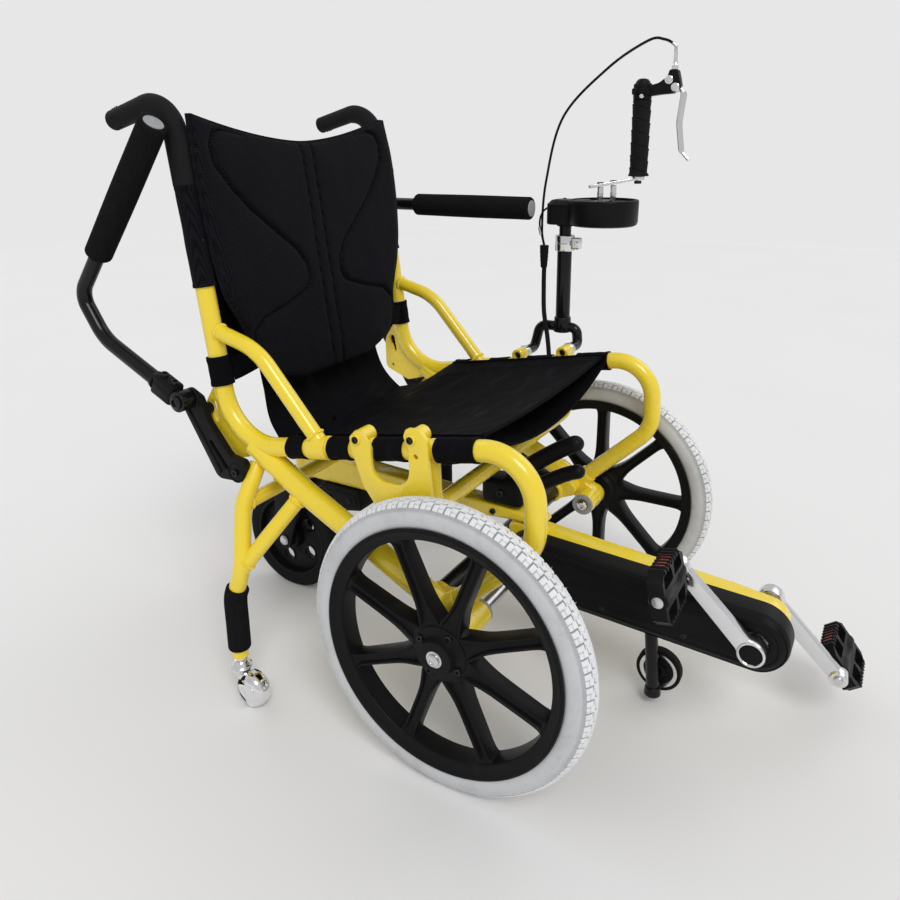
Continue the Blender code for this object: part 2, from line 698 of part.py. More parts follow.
def wheel_solid():
    """A moulded wheel about the X axis, with its outer side at +X."""
    ring = []
    middle = TYRE_RADIUS - TYRE_SECTION
    facet = 2 * math.pi / TYRE_FACETS
    bed = TYRE_SECTION + 2 * GAP
    for angle in (1.4 * facet, facet, 0, -facet, -1.4 * facet):
        reach = bed * math.cos(facet / 2) / math.cos(abs(angle) % facet - facet / 2)
        ring.append((middle - reach * math.cos(angle), reach * math.sin(angle)))
    profile = ring + [(0.1530, -0.0145), (0.1530, 0.0145)]
    wheel = turned(profile, (0, 0, 0), (1, 0, 0), WHEEL_STEPS)
    hub = turned([(0, HUB_OUT), (0.0230, HUB_OUT), (0.0275, 0.0150), (0.0360, 0.0132),
                  (0.0360, -0.0132), (0.0230, -0.0262), (0, -0.0262)], (0, 0, 0), (1, 0, 0), 16)
    spokes = grouped(*[spoke(2 * math.pi * index / SPOKE_COUNT) for index in range(SPOKE_COUNT)])
    wheel = joined(wheel, hub, spokes)
    return cut(wheel, rod((-0.06, 0, 0), (0.06, 0, 0), AXLE_BORE, sides=12))


def tyre_solid():
    """A round-section tyre about the X axis."""
    middle = TYRE_RADIUS - TYRE_SECTION
    profile = []
    for index in range(TYRE_FACETS):
        angle = -2 * math.pi * index / TYRE_FACETS
        profile.append((middle + TYRE_SECTION * math.cos(angle), TYRE_SECTION * math.sin(angle)))
    return turned(profile, (0, 0, 0), (1, 0, 0), WHEEL_STEPS)


def make_drive_wheels(right_drive, left_wheel):
    """Both drive wheels; the right one is keyed to the driven axle, the left one runs free."""
    wheel = wheel_solid()
    tyre = tyre_solid()
    for thing in (wheel, tyre):
        thing.data.transform(Matrix.Translation((WHEEL_X, 0, AXLE_Z)))
    keep(mirrored(wheel), "right_wheel", BLACK_PLASTIC, right_drive)
    keep(mirrored(tyre), "right_tyre", GREY_RUBBER, right_drive)
    keep(wheel, "left_wheel", BLACK_PLASTIC, left_wheel)
    keep(tyre, "left_tyre", GREY_RUBBER, left_wheel)


def make_axles(right_drive):
    """The driven axle with its sprocket, and the fixed stub that the left wheel turns on."""
    at = (0, AXLE_Z)
    outer = WHEEL_X + HUB_OUT
    shaft = rod((-outer - 0.002, *at), (-0.0185, *at), AXLE_RADIUS)
    nut = rod((-outer - GAP, *at), (-outer - 0.0055, *at), 0.0118, 0.0095, sides=6)
    collar = rod((SPROCKET_X - 0.006, *at), (SPROCKET_X + 0.006, *at), 0.016)
    shoulder = rod((-0.1917, *at), (-0.1867, *at), 0.0185, sides=16)
    keep(joined(shaft, nut, sprocket(at), collar, shoulder), "drive_axle", STEEL, right_drive)
    stub = rod((0.1850, *at), (outer + 0.002, *at), AXLE_RADIUS)
    cap = rod((outer + GAP, *at), (outer + 0.0055, *at), 0.0118, 0.0095, sides=6)
    head = rod((0.1835, *at), (0.1880, *at), 0.0120, sides=6)
    washer = rod((0.1867, *at), (0.1917, *at), 0.0185, sides=16)
    keep(joined(stub, cap, head, washer), "left_axle", STEEL, frame)


# Spine and rear wheel


def make_spine():
    """The beam under the seat, from the boom back to the steering head that it carries."""
    corners = ((-0.0150, 0.2545), (0.0300, 0.2545), (0.0440, 0.2545), (0.2000, 0.2400), (0.4590, 0.2380),
               (0.4590, 0.2900), (0.2200, 0.2800), (0.0300, 0.2720), (-0.0150, 0.2640))
    outline = rounded(corners, (0, 0, 0, 0.2, 0, 0, 0.3, 0.1, 0), closed=True)
    beam = plate([outline], -SPINE_HALF, SPINE_HALF, 0.004)
    head = rod((0, HEAD_Y, 0.2320), (0, HEAD_Y, 0.3000), 0.0210, sides=18)
    bore = rod((0, HEAD_Y, 0.22), (0, HEAD_Y, 0.32), 0.0126, sides=12)
    keep(cut(joined(beam, head), bore), "spine_beam", YELLOW, frame)


def make_rear_fork(fork):
    """The black fork that steers the rear wheel, with its stem and rounded cover."""
    stem = rod((0, HEAD_Y, 0.224), (0, HEAD_Y, 0.308), 0.0115, sides=12)
    nut = rod((0, HEAD_Y, 0.3008), (0, HEAD_Y, 0.3085), 0.0165, sides=6)
    crown = block((-0.0330, 0.4400, 0.2080), (0.0330, 0.5250, 0.2315), 0.006)
    corners = ((0.4480, 0.2200), (0.5240, 0.2200), (0.5260, 0.1200), (0.5160, 0.0850), (0.4940, 0.0850),
               (0.4840, 0.1200))
    outline = rounded(corners, (0, 0, 0, 0.012, 0.012, 0), closed=True, step=math.radians(45))
    blades = [plate([outline], *sorted((side * 0.0245, side * 0.0310))) for side in (-1, 1)]
    pin = rod((-0.0340, REAR_Y, REAR_RADIUS), (0.0340, REAR_Y, REAR_RADIUS), 0.0060, sides=12)
    keep(joined(stem, nut, crown, *blades, pin), "rear_fork", BLACK_PLASTIC, fork)


def make_rear_wheel(carrier):
    """The small rear wheel: a solid tyre on a disc with five round holes."""
    place = (0, REAR_Y, REAR_RADIUS)
    shoulder = REAR_RADIUS - 0.004
    profile = [(0.0220, 0.0200), (0.0240, 0.0055), (0.0740, 0.0055), (0.0790, 0.0155), (shoulder, 0.0160),
               (REAR_RADIUS, 0.0080), (REAR_RADIUS, -0.0080), (shoulder, -0.0160), (0.0790, -0.0155),
               (0.0740, -0.0055), (0.0240, -0.0055), (0.0220, -0.0200), (0.0070, -0.0200), (0.0070, 0.0200)]
    holes = []
    for index in range(5):
        angle = 2 * math.pi * index / 5
        y = REAR_Y + 0.047 * math.cos(angle)
        z = REAR_RADIUS + 0.047 * math.sin(angle)
        holes.append(rod((-0.03, y, z), (0.03, y, z), 0.0130, sides=8))
    keep(cut(turned(profile, place, (1, 0, 0), 16), grouped(*holes)), "rear_wheel", BLACK_RUBBER, carrier)


# Casters and front stand


def make_caster(side, name, swivel, roller):
    """A small hooded caster on the outrigger: the chrome hood with its stem, and the black wheel."""
    x = side * CASTER_X
    wheel_y = CASTER_Y - CASTER_TRAIL
    wheel_z = CASTER_RADIUS + CASTER_CLEAR
    stem = rod((x, CASTER_Y, 0.046), (x, CASTER_Y, 0.0757), 0.0048, sides=8)
    collar = rod((x, CASTER_Y, 0.058), (x, CASTER_Y, 0.066), 0.0090, sides=8)
    neck = rod((x, CASTER_Y, 0.0400), (x, CASTER_Y, 0.0520), 0.0105, sides=8)
    outer = rod((x - 0.0155, wheel_y, wheel_z), (x + 0.0155, wheel_y, wheel_z), CASTER_RADIUS + 0.0045)
    inner = rod((x - 0.0125, wheel_y, wheel_z), (x + 0.0125, wheel_y, wheel_z), CASTER_RADIUS + 0.0020)
    below = block((x - 0.03, wheel_y - 0.06, -0.03), (x + 0.03, wheel_y + 0.06, wheel_z - 0.004))
    ahead = block((x - 0.03, wheel_y - 0.06, -0.03), (x + 0.03, wheel_y - 0.014, wheel_z + 0.012))
    hood = cut(joined(outer, neck), inner, below, ahead)
    pin = rod((x - 0.0165, wheel_y, wheel_z), (x + 0.0165, wheel_y, wheel_z), 0.0030, sides=10)
    keep(joined(hood, stem, collar, pin), name + "_caster_hood", CHROME, swivel)
    profile = [(CASTER_RADIUS - 0.002, 0.0105), (CASTER_RADIUS, 0.0085), (CASTER_RADIUS, -0.0085),
               (CASTER_RADIUS - 0.002, -0.0105), (0.0040, -0.0105), (0.0040, 0.0105)]
    keep(turned(profile, (x, wheel_y, wheel_z), (1, 0, 0), 12), name + "_caster_wheel", BLACK_RUBBER, roller)


def make_front_stand(stand):
    """The anti-tip stand under the boom: a post with a foot, and a small wheel at its side."""
    corners = ((0.003, -0.181, 0.1540), (0.003, -0.186, 0.100), (0.003, -0.192, 0.022))
    post = tube(rounded(corners, 0.05), 0.0080, 3)
    foot = rod((0.003, -0.192, 0.0140), (0.003, -0.192, 0.0260), 0.0105, 0.0095)
    pad = block((-0.0140, -0.2100, 0.1490), (0.0200, -0.1560, 0.1545), 0.001)
    pin = rod((0.003, -0.195, STAND_WHEEL_Z), (0.034, -0.195, STAND_WHEEL_Z), 0.0040, sides=12)
    body = joined(post, foot, pad, pin)
    boom_clearance = block((-0.05, -0.25, 0.1545 + GAP), (0.05, -0.10, 0.20))
    keep(cut(body, boom_clearance), "front_stand", BLACK_PAINT, frame)
    profile = [(0.0320, 0.0080), (STAND_WHEEL_RADIUS, 0.0050), (STAND_WHEEL_RADIUS, -0.0050),
               (0.0320, -0.0080), (0.0100, -0.0080), (0.0050, -0.0095), (0.0050, 0.0095), (0.0100, 0.0080)]
    wheel = turned(profile, (0.0235, -0.195, STAND_WHEEL_Z), (1, 0, 0), 14)
    keep(wheel, "stand_wheel", BLACK_PLASTIC, stand)


# Soft parts


def make_seat():
    """The sling seat: a sagging cloth with sleeves round both rails, which ends behind the back cushion."""
    rows = [(y, rail_height(y) + 0.0115, half, 0, sag) for y, half, sag in
            ((-0.0215, 0.2262, 0.010), (0.040, 0.2262, 0.022), (0.110, 0.2262, 0.030), (0.180, 0.2262, 0.034),
             (0.245, 0.2262, 0.036), (0.279, 0.2262, 0.034), (0.325, 0.1850, 0.020), (0.375, 0.1650, 0.006))]
    rows += [(post_depth(z) + 0.010, z, half, swell, 0) for z, half, swell in
             ((0.4150, 0.1560, 0.000), (0.4500, 0.1500, 0.008), (0.5400, 0.1500, 0.010))]
    columns = 6
    shape = bmesh.new()
    grid = []
    for y, z, half, swell, sag in rows:
        line = []
        for column in range(columns):
            across = 2 * column / (columns - 1) - 1
            crown = 1 - across ** 2
            line.append(shape.verts.new((half * across, y + swell * crown, z - sag * crown)))
        grid.append(line)
    for line, following in zip(grid, grid[1:]):
        for column in range(columns - 1):
            shape.faces.new((line[column], line[column + 1], following[column + 1], following[column]))
    cloth = from_bmesh("cloth", shape)
    thick = cloth.modifiers.new("thick", "SOLIDIFY")
    thick.thickness = 0.003
    thick.offset = 0.0
    cloth = realised(cloth)
    first = side_point(-0.022, rail_height(-0.022))
    last = side_point(0.280, rail_height(0.280))
    cloth = joined(cloth, both_sides(rod(first, last, SIDE_TUBE + 0.0022)), under_cloth())
    clearances = []
    for start, end in ((0.0345, 0.0820), (0.1290, 0.1690), (0.2055, 0.2500)):
        rail = rail_height(start)
        clearances.append(block((0.2120, start, rail - 0.035), (0.2600, end, rail + 0.035)))
    cloth = cut(cloth, both_sides(grouped(*clearances)), both_sides(side_tube_solid(GAP)))
    keep(cloth, "seat_sling", CLOTH, frame)


def under_cloth():
    """The second cloth layer under the front of the seat, hung from the same rails."""
    shape = bmesh.new()
    bmesh.ops.create_grid(shape, x_segments=6, y_segments=2, size=1.0)
    for vert in shape.verts:
        across, along = vert.co.x, vert.co.y
        y = 0.040 + 0.060 * along
        vert.co = (0.2203 * across, y, rail_height(y) - 0.042 * (1 - across ** 2))
    sheet = from_bmesh("under_cloth", shape)
    thick = sheet.modifiers.new("thick", "SOLIDIFY")
    thick.thickness = 0.003
    thick.offset = 0.0
    return realised(sheet)


def back_half_width(z):
    """Half the back cushion's width at a height: wide at the shoulders, drawn in at the base."""
    knots = ((0.430, 0.060), (0.455, 0.115), (0.500, 0.165), (0.580, 0.205), (0.700, 0.213), (0.800, 0.206),
             (0.850, 0.192), (0.870, 0.175))
    for (low, low_half), (high, high_half) in zip(knots, knots[1:]):
        if z <= high:
            return low_half + (high_half - low_half) * (z - low) / (high - low)
    return knots[-1][1]


def seam_offset(z):
    """How far the hourglass seams are from the middle of the back at a height."""
    slope = 0.85 if z > WAIST_Z else 1.6
    return WAIST_HALF + slope * abs(z - WAIST_Z)


def make_back_cushion():
    """The padded back with its crown, drawn-in sides, hourglass seams and two channels down the middle."""
    channel = 0.012
    low, high = 0.432, 0.862
    shape = bmesh.new()
    for front in (True, False):
        grid = bmesh.ops.create_grid(shape, x_segments=14, y_segments=10, size=1.0)
        for vert in grid["verts"]:
            across, up = vert.co.x, (vert.co.y + 1) / 2
            z = low + (high - low) * up - 0.014 * (1 - across ** 2) * up
            half = back_half_width(z)
            seam = min(seam_offset(z), half - 0.030)
            outside = seam + 0.014
            columns = (0, channel, 2 * channel, seam - 0.014, seam, outside, (outside + half) / 2, half)
            x = math.copysign(columns[round(abs(across) * 7)], across)
            edge = (1 - (x / half) ** 8) * (1 - (2 * up - 1) ** 12)
            groove = 0.007 * math.exp(-((abs(x) - channel) / 0.006) ** 2)
            groove += 0.008 * math.exp(-((abs(x) - seam_offset(z)) / 0.007) ** 2)
            front_depth = 0.004 + (0.020 - groove) * edge
            rear_depth = -0.001 - 0.009 * edge * (1 - (x / half) ** 2)
            vert.co = (x, post_depth(z) + 0.002 - (front_depth if front else rear_depth), z)
    rim = [edge for edge in shape.edges if edge.is_boundary]
    bmesh.ops.bridge_loops(shape, edges=rim)
    keep(from_bmesh("back", shape), "back_cushion", CLOTH, frame)


def make_back_sling():
    """The cloth behind the cushion, with sleeves round both back posts and straps at its lower corners."""
    low, high = 0.480, 0.762
    shape = bmesh.new()
    bmesh.ops.create_grid(shape, x_segments=6, y_segments=3, size=1.0)
    for vert in shape.verts:
        across, up = vert.co.x, (vert.co.y + 1) / 2
        z = low + (high - low) * up
        vert.co = (0.2213 * across, post_depth(z) + 0.006 + 0.024 * (1 - across ** 2), z)
    sheet = from_bmesh("back_sling", shape)
    thick = sheet.modifiers.new("thick", "SOLIDIFY")
    thick.thickness = 0.003
    thick.offset = 0.0
    bands = []
    for start, end, extra in ((0.6235, 0.7665, 0.0022), (0.4790, 0.5220, 0.0030)):
        foot, top = (side_point(post_depth(z), z) for z in (start, end))
        bands.append(rod(foot, top, SIDE_TUBE + extra))
    sheet = joined(realised(sheet), both_sides(grouped(*bands)))
    keep(cut(sheet, both_sides(side_tube_solid(GAP))), "back_sling", CLOTH, frame)


# Armrests


def make_armrest(side, name, raised, carrier):
    """A swing-up armrest: the black bent tube with its hub, and the foam pad on its upper arm."""
    x = side * ARM_X
    route = rounded([(x, y, z) for y, z in ARM_PATH], (0.08, 0.030), step=math.radians(32))
    arm = tube(route, ARM_TUBE)
    hub = rod((x - 0.0115, *ARM_PIVOT), (x + 0.0115, *ARM_PIVOT), 0.0155, sides=12)
    bore = rod((x - 0.03, *ARM_PIVOT), (x + 0.03, *ARM_PIVOT), 0.0065, sides=12)
    arm = cut(joined(arm, hub), bore)
    top = ARM_PATH[-1][1]
    pad = turned([(0, 0.121), (PAD_RADIUS - 0.003, 0.121), (PAD_RADIUS, 0.118), (PAD_RADIUS, -0.118),
                  (PAD_RADIUS - 0.003, -0.121), (0, -0.121)], (x, sum(PAD_Y) / 2, top), (0, 1, 0), 12)
    pad = cut(pad, rod((x, ARM_PATH[-1][0] - 0.0010, top), (x, 0.45, top), ARM_TUBE + 0.0006, sides=12))
    pivot = Matrix.Translation((0, *ARM_PIVOT))
    swing = pivot @ Matrix.Rotation(raised, 4, "X") @ pivot.inverted()
    for solid in (arm, pad):
        solid.data.transform(swing)
    keep(arm, name + "_armrest_tube", BLACK_PAINT, carrier)
    keep(pad, name + "_armrest_pad", FOAM, carrier)


def make_armrest_brackets():
    """The black brackets that hold the armrests to the corner plates."""
    corners = ((0.4640, 0.4760), (0.4735, 0.4500), (0.4060, 0.3400), (0.3560, 0.3440), (0.3480, 0.3760),
               (0.3800, 0.3800), (0.4180, 0.4250), (0.4330, 0.4620))
    radii = (0.012, 0.016, 0.016, 0.010, 0.008, 0.012, 0.02, 0.010)
    outline = rounded(corners, radii, closed=True, step=math.radians(36))
    slot = hull_outline((0.4150, 0.3950), 0.0040, (0.3880, 0.3620), 0.0040, math.radians(60))
    cheek = cut(plate([outline, slot], 0.2515, 0.2630), outrigger_solid(GAP))
    pin = rod((0.2590, *ARM_PIVOT), (0.2880, *ARM_PIVOT), 0.0060, sides=12)
    head = rod((0.2878, *ARM_PIVOT), (0.2915, *ARM_PIVOT), 0.0105, 0.0090)
    stub = rod((0.2403, 0.4355, 0.4400), (0.2560, 0.4355, 0.4400), 0.0090)
    lower_stub = rod((0.2403, 0.4340, 0.4020), (0.2560, 0.4340, 0.4020), 0.0075)
    pair(joined(cheek, pin, head, stub, lower_stub), "armrest_bracket", BLACK_PLASTIC, frame)


# Steering column


def make_steering_base():
    """The arched legs from the left rail lugs up to the column's foot, sleeve and clamp."""
    rings = []
    for y in LUG_STATIONS:
        z = rail_height(y) + LUG_RISE
        rings.append(rod((LUG_OUT + GAP, y, z), (LUG_OUT + 0.0120, y, z), 0.0108))
    foot = rod((COLUMN_X, COLUMN_Y, 0.484), (COLUMN_X, COLUMN_Y, 0.512), 0.0165, 0.0150)
    front_y, rear_y = LUG_STATIONS
    rear_z = rail_height(rear_y) + LUG_RISE
    front_z = rail_height(front_y) + LUG_RISE
    low = LUG_OUT + 0.0060
    arch = tube(rounded([(low, rear_y, rear_z), (COLUMN_X, rear_y, rear_z), (COLUMN_X, 0.138, 0.493),
                         (COLUMN_X, 0.066, 0.493), (COLUMN_X, front_y, front_z), (low, front_y, front_z)],
                        (0.010, 0.018, 0.012, 0.010), step=math.radians(32)), 0.0092)
    sleeve = rod((COLUMN_X, COLUMN_Y, 0.500), (COLUMN_X, COLUMN_Y, 0.647), 0.0130, sides=12)
    bore = rod((COLUMN_X, COLUMN_Y, 0.505), (COLUMN_X, COLUMN_Y, 0.70), 0.0113, sides=12)
    base = joined(arch, foot, sleeve, *rings, column_collar())
    keep(cut(base, bore), "steering_base", BLACK_PAINT, frame)


def column_collar():
    """The split clamp that locks the column at its height."""
    ring = rod((COLUMN_X, COLUMN_Y, 0.633), (COLUMN_X, COLUMN_Y, 0.661), 0.0172, sides=12)
    ear = block((COLUMN_X - 0.0080, COLUMN_Y - 0.0300, 0.6370),
                (COLUMN_X + 0.0080, COLUMN_Y - 0.0130, 0.6570), 0.002)
    bolt_at = (COLUMN_Y - 0.0240, 0.647)
    bolt = rod((COLUMN_X - 0.0125, *bolt_at), (COLUMN_X + 0.0125, *bolt_at), 0.0042, sides=6)
    split = block((COLUMN_X - 0.0012, COLUMN_Y - 0.05, 0.62), (COLUMN_X + 0.0012, COLUMN_Y - 0.0270, 0.68))
    return cut(joined(ring, ear, bolt), split)


def make_column(column):
    """The sliding column and the black housing on it."""
    keep(rod((COLUMN_X, COLUMN_Y, 0.527), (COLUMN_X, COLUMN_Y, HOUSING_Z[0] - GAP), 0.0106, sides=12),
         "steering_column", BLACK_PAINT, column)
    box = block((COLUMN_X - 0.0300, 0.055, HOUSING_Z[0]), (COLUMN_X + 0.0300, 0.122, HOUSING_Z[1]), 0.006, 2)
    bottom, top = HOUSING_Z
    profile = [(0, top), (PULLEY_CASE - 0.002, top), (PULLEY_CASE, top - 0.002),
               (PULLEY_CASE, bottom + 0.004), (PULLEY_CASE - 0.004, bottom), (0, bottom)]
    puck = turned(profile, (COLUMN_X, PULLEY_Y, 0), (0, 0, 1), 18)
    floor = (COLUMN_X, PULLEY_Y, top - 0.012)
    recess = rod(floor, (COLUMN_X, PULLEY_Y, top + 0.02), 0.0545, sides=18)
    keep(cut(joined(puck, box), recess), "steering_housing", BLACK_PLASTIC, column)


def make_steering_arm(arm):
    """The cable drum, its standoffs and the link bar up to the handgrip."""
    top = HOUSING_Z[1]
    drum = rod((COLUMN_X, PULLEY_Y, top - 0.0115), (COLUMN_X, PULLEY_Y, top - 0.002), 0.0525, sides=18)
    hub = rod((COLUMN_X, PULLEY_Y, top - 0.005), (COLUMN_X, PULLEY_Y, top + 0.006), 0.0130)
    link_start = Vector((0.292, 0.040, top + 0.024))
    link_end = Vector((*GRIP_AT, 0.7595))
    posts = [rod((x, y, top - 0.004), (x, y, z), 0.0050, sides=8)
             for x, y, z in ((0.2955, 0.0300, top + 0.025), (0.3075, 0.0110, top + 0.028))]
    way = (link_end - link_start).normalized()
    bar = block((-0.0085, -(link_end - link_start).length - 0.009, -0.0022), (0.0085, 0.010, 0.0022), 0.0008)
    lean = Vector((0, -1, 0)).rotation_difference(way).to_matrix().to_4x4()
    bar.data.transform(Matrix.Translation(link_start) @ lean)
    stem = rod((*GRIP_AT, 0.7580), (*GRIP_AT, 0.8890), 0.0080)
    base = rod((*GRIP_AT, 0.7570), (*GRIP_AT, GRIP_Z[0] - GAP), 0.0110, sides=12)
    keep(joined(drum, hub, *posts, bar, stem, base), "steering_arm", ALLOY, arm)
    radius = 0.0145
    turns = [(radius - 0.0007 * (index % 2), GRIP_Z[1] - 0.003 - (GRIP_Z[1] - GRIP_Z[0] - 0.006) * index / 8)
             for index in range(9)]
    profile = [(radius - 0.0025, GRIP_Z[1]), *turns, (radius - 0.0025, GRIP_Z[0]), (0.0085, GRIP_Z[0]),
               (0.0085, GRIP_Z[1])]
    keep(turned(profile, (*GRIP_AT, 0), (0, 0, 1), 12), "steering_grip", BLACK_RUBBER, arm)


def make_brake_lever(arm, lever):
    """The brake lever body clamped on the grip's stem, and the lever that is squeezed."""
    x = GRIP_AT[0]
    clamp = rod((*GRIP_AT, GRIP_Z[1] + GAP), (*GRIP_AT, 0.9130), 0.0150, sides=10)
    cap = rod((*GRIP_AT, 0.9120), (*GRIP_AT, 0.9200), 0.0120, 0.0080, sides=10)
    neck = tube(rounded([(x, -0.030, 0.900), (x, -0.052, 0.904), (x, -0.070, 0.918)], 0.03), 0.0085, 2)
    knuckle = block((x - 0.0100, -0.0900, 0.8950), (x + 0.0100, -0.0640, 0.9240), 0.003)
    slot = block((x - 0.0045, -0.12, 0.88), (x + 0.0045, -0.0700, 0.9150))
    adjuster = rod((x, -0.0760, 0.920), (x, -0.0752, 0.9450), 0.0050, 0.0042, sides=8)
    ferrule = rod((x, -0.0752, 0.944), (x, -0.0750, 0.9600), 0.0032, sides=6)
    stem = rod((*GRIP_AT, 0.88), (*GRIP_AT, 0.8893), 0.0088)
    body = joined(clamp, cap, neck, knuckle, adjuster, ferrule)
    keep(cut(body, slot, stem), "brake_clamp", BLACK_PLASTIC, arm)
    corners = ((x, -0.0840, 0.9080), (x, -0.0930, 0.8980), (x, -0.0880, 0.8500), (x, -0.0960, 0.8050),
               (x, -0.1080, 0.7920))
    keep(tube(rounded(corners, (0.012, 0.06, 0.03)), 0.0042, 2), "brake_lever", ALLOY, lever)


def make_cables(column):
    """The brake cable, its joiner and the hose that goes down behind the seat rail."""
    x = COLUMN_X + 0.004
    knots = [(0.330, -0.0750, 0.9606), (0.330, -0.0735, 0.9700), (0.328, -0.0560, 0.9800),
             (0.324, -0.0300, 0.9790), (0.316, 0.0340, 0.9390), (0.309, 0.1080, 0.8630), (x, 0.1350, 0.7550),
             (x, 0.1410, 0.6720), (x, 0.1355, 0.6366)]
    keep(tube(smooth_route(knots, 16), 0.0022, 1), "brake_cable", BLACK_RUBBER, column)
    joiner = block((x - 0.0065, 0.1290, 0.6010), (x + 0.0065, 0.1420, 0.6360), 0.002)
    keep(joiner, "cable_joiner", BLACK_PLASTIC, column)
    knots = [(x, 0.1350, 0.6004), (x, 0.1350, 0.5700), (0.290, 0.1270, 0.5200), (0.281, 0.1150, 0.4750),
             (0.275, 0.1080, 0.4330), (0.262, 0.1040, 0.3950), (0.215, 0.1040, 0.3560),
             (0.150, 0.1100, 0.3360), (0.090, 0.1300, 0.3100), (0.045, 0.2000, 0.2940),
             (0.034, 0.3000, 0.2900), (0.032, 0.3900, 0.2880)]
    keep(tube(smooth_route(knots, 17), 0.0042), "control_hose", BLACK_RUBBER, frame)


# Middle of the chair


def make_lever_housing():
    """The black moulded bracket over the rear of the boom with its two padded arms."""
    body = block((-0.0230, 0.0200, 0.2760), (0.0230, 0.0900, 0.3180), 0.009)
    ends = [1.0, 1.0, 1.0, 1.0, 0.9, 0.45]
    upper = tube(smooth_route([(0.004, 0.060, 0.300), (0.004, 0.020, 0.340), (0.004, -0.030, 0.378),
                               (0.004, -0.066, 0.398)], 5), 0.0140, radii=ends)
    lower = tube(smooth_route([(0.004, 0.050, 0.285), (0.004, 0.000, 0.315), (0.004, -0.040, 0.340),
                               (0.004, -0.070, 0.353)], 5), 0.0120, radii=ends)
    body = joined(body, upper, lower)
    clearance = block((-0.05, -0.05, 0.20), (0.05, 0.12, 0.2765))
    keep(cut(body, clearance), "lever_bracket", BLACK_PLASTIC, frame)


def make_spine_guard():
    """The black wedge guard under the spine."""
    corners = ((0.4140, 0.1990), (0.4100, 0.2370), (0.3300, 0.2375), (0.3200, 0.2040), (0.3600, 0.1960))
    outline = rounded(corners, (0.008, 0.003, 0.003, 0.008, 0.02), closed=True)
    keep(plate([outline], -0.0280, 0.0280, 0.003), "spine_guard", BLACK_PLASTIC, frame)


right_drive = body_axis("right_drive_axis", frame, (-WHEEL_X, 0, AXLE_Z))
left_drive = body_axis("left_wheel_axis", frame, (WHEEL_X, 0, AXLE_Z))
crank_axis = body_axis("crank_axis", frame, (0, CRANK_Y, CRANK_Z))
fork_axis = body_axis("rear_fork_axis", frame, (0, HEAD_Y, 0.235))
rear_axis = body_axis("rear_wheel_axis", fork_axis, (0, REAR_Y, REAR_RADIUS))
stand_axis = body_axis("stand_wheel_axis", frame, (0.0235, -0.195, STAND_WHEEL_Z))
column_axis = body_axis("column_axis", frame, (COLUMN_X, COLUMN_Y, 0.650))
steering_axis = body_axis("steering_arm_axis", column_axis, (COLUMN_X, PULLEY_Y, HOUSING_Z[1]))
lever_axis = body_axis("brake_lever_axis", steering_axis, (GRIP_AT[0], *LEVER_PIVOT))

make_side_tubes()
make_braces()
make_main_tubes()
make_outriggers()
make_foam_sleeves()
make_cross_tubes()
make_lug_plate()
make_push_grips()
make_boom()
make_chain_case()
make_chain()
make_crank_set(crank_axis)
make_drive_wheels(right_drive, left_drive)
make_axles(right_drive)
make_spine()
make_rear_fork(fork_axis)
make_rear_wheel(rear_axis)
make_front_stand(stand_axis)
make_seat()
make_back_cushion()
make_back_sling()
make_armrest_brackets()
make_steering_base()
make_column(column_axis)
make_steering_arm(steering_axis)
make_brake_lever(steering_axis, lever_axis)
make_cables(column_axis)
make_lever_housing()
make_spine_guard()

for sign, hand, turn, tilt, lift in ((-1, "right", CRANK_TURN, math.radians(78), ARM_RAISED),
                                     (1, "left", CRANK_TURN + math.pi, math.radians(52), 0.0)):
    pedal_at = (CRANK_Y + CRANK_LENGTH * math.cos(turn), CRANK_Z + CRANK_LENGTH * math.sin(turn))
    pedal_axis = body_axis(hand + "_pedal_axis", crank_axis, (sign * 0.13, *pedal_at))
    make_pedal(sign, hand, pedal_at, tilt, pedal_axis)
    swivel_axis = body_axis(hand + "_caster_swivel_axis", frame, (sign * CASTER_X, CASTER_Y, 0.07))
    roller_axis = body_axis(hand + "_caster_wheel_axis", swivel_axis,
                            (sign * CASTER_X, CASTER_Y - CASTER_TRAIL, CASTER_RADIUS + CASTER_CLEAR))
    make_caster(sign, hand, swivel_axis, roller_axis)
    arm_axis = body_axis(hand + "_armrest_axis", frame, (sign * ARM_X, *ARM_PIVOT))
    make_armrest(sign, hand, lift, arm_axis)
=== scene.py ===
"""Looks of a pedal wheelchair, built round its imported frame.

Lengths are metres, but for those written in mm(). Shapes are laid out in chair coordinates, with y = 0
at the drive wheels' axle and z = 0 on the floor, and are then moved onto the frame. The rider faces -Y
and "right" is at -X.
"""
import random
from math import acos, atan2, copysign, cos, exp, pi, radians, sin, sqrt, tan

import bmesh
import bpy
from bpy.props import FloatProperty, FloatVectorProperty, IntProperty, PointerProperty
from mathutils import Matrix, Quaternion, Vector, noise


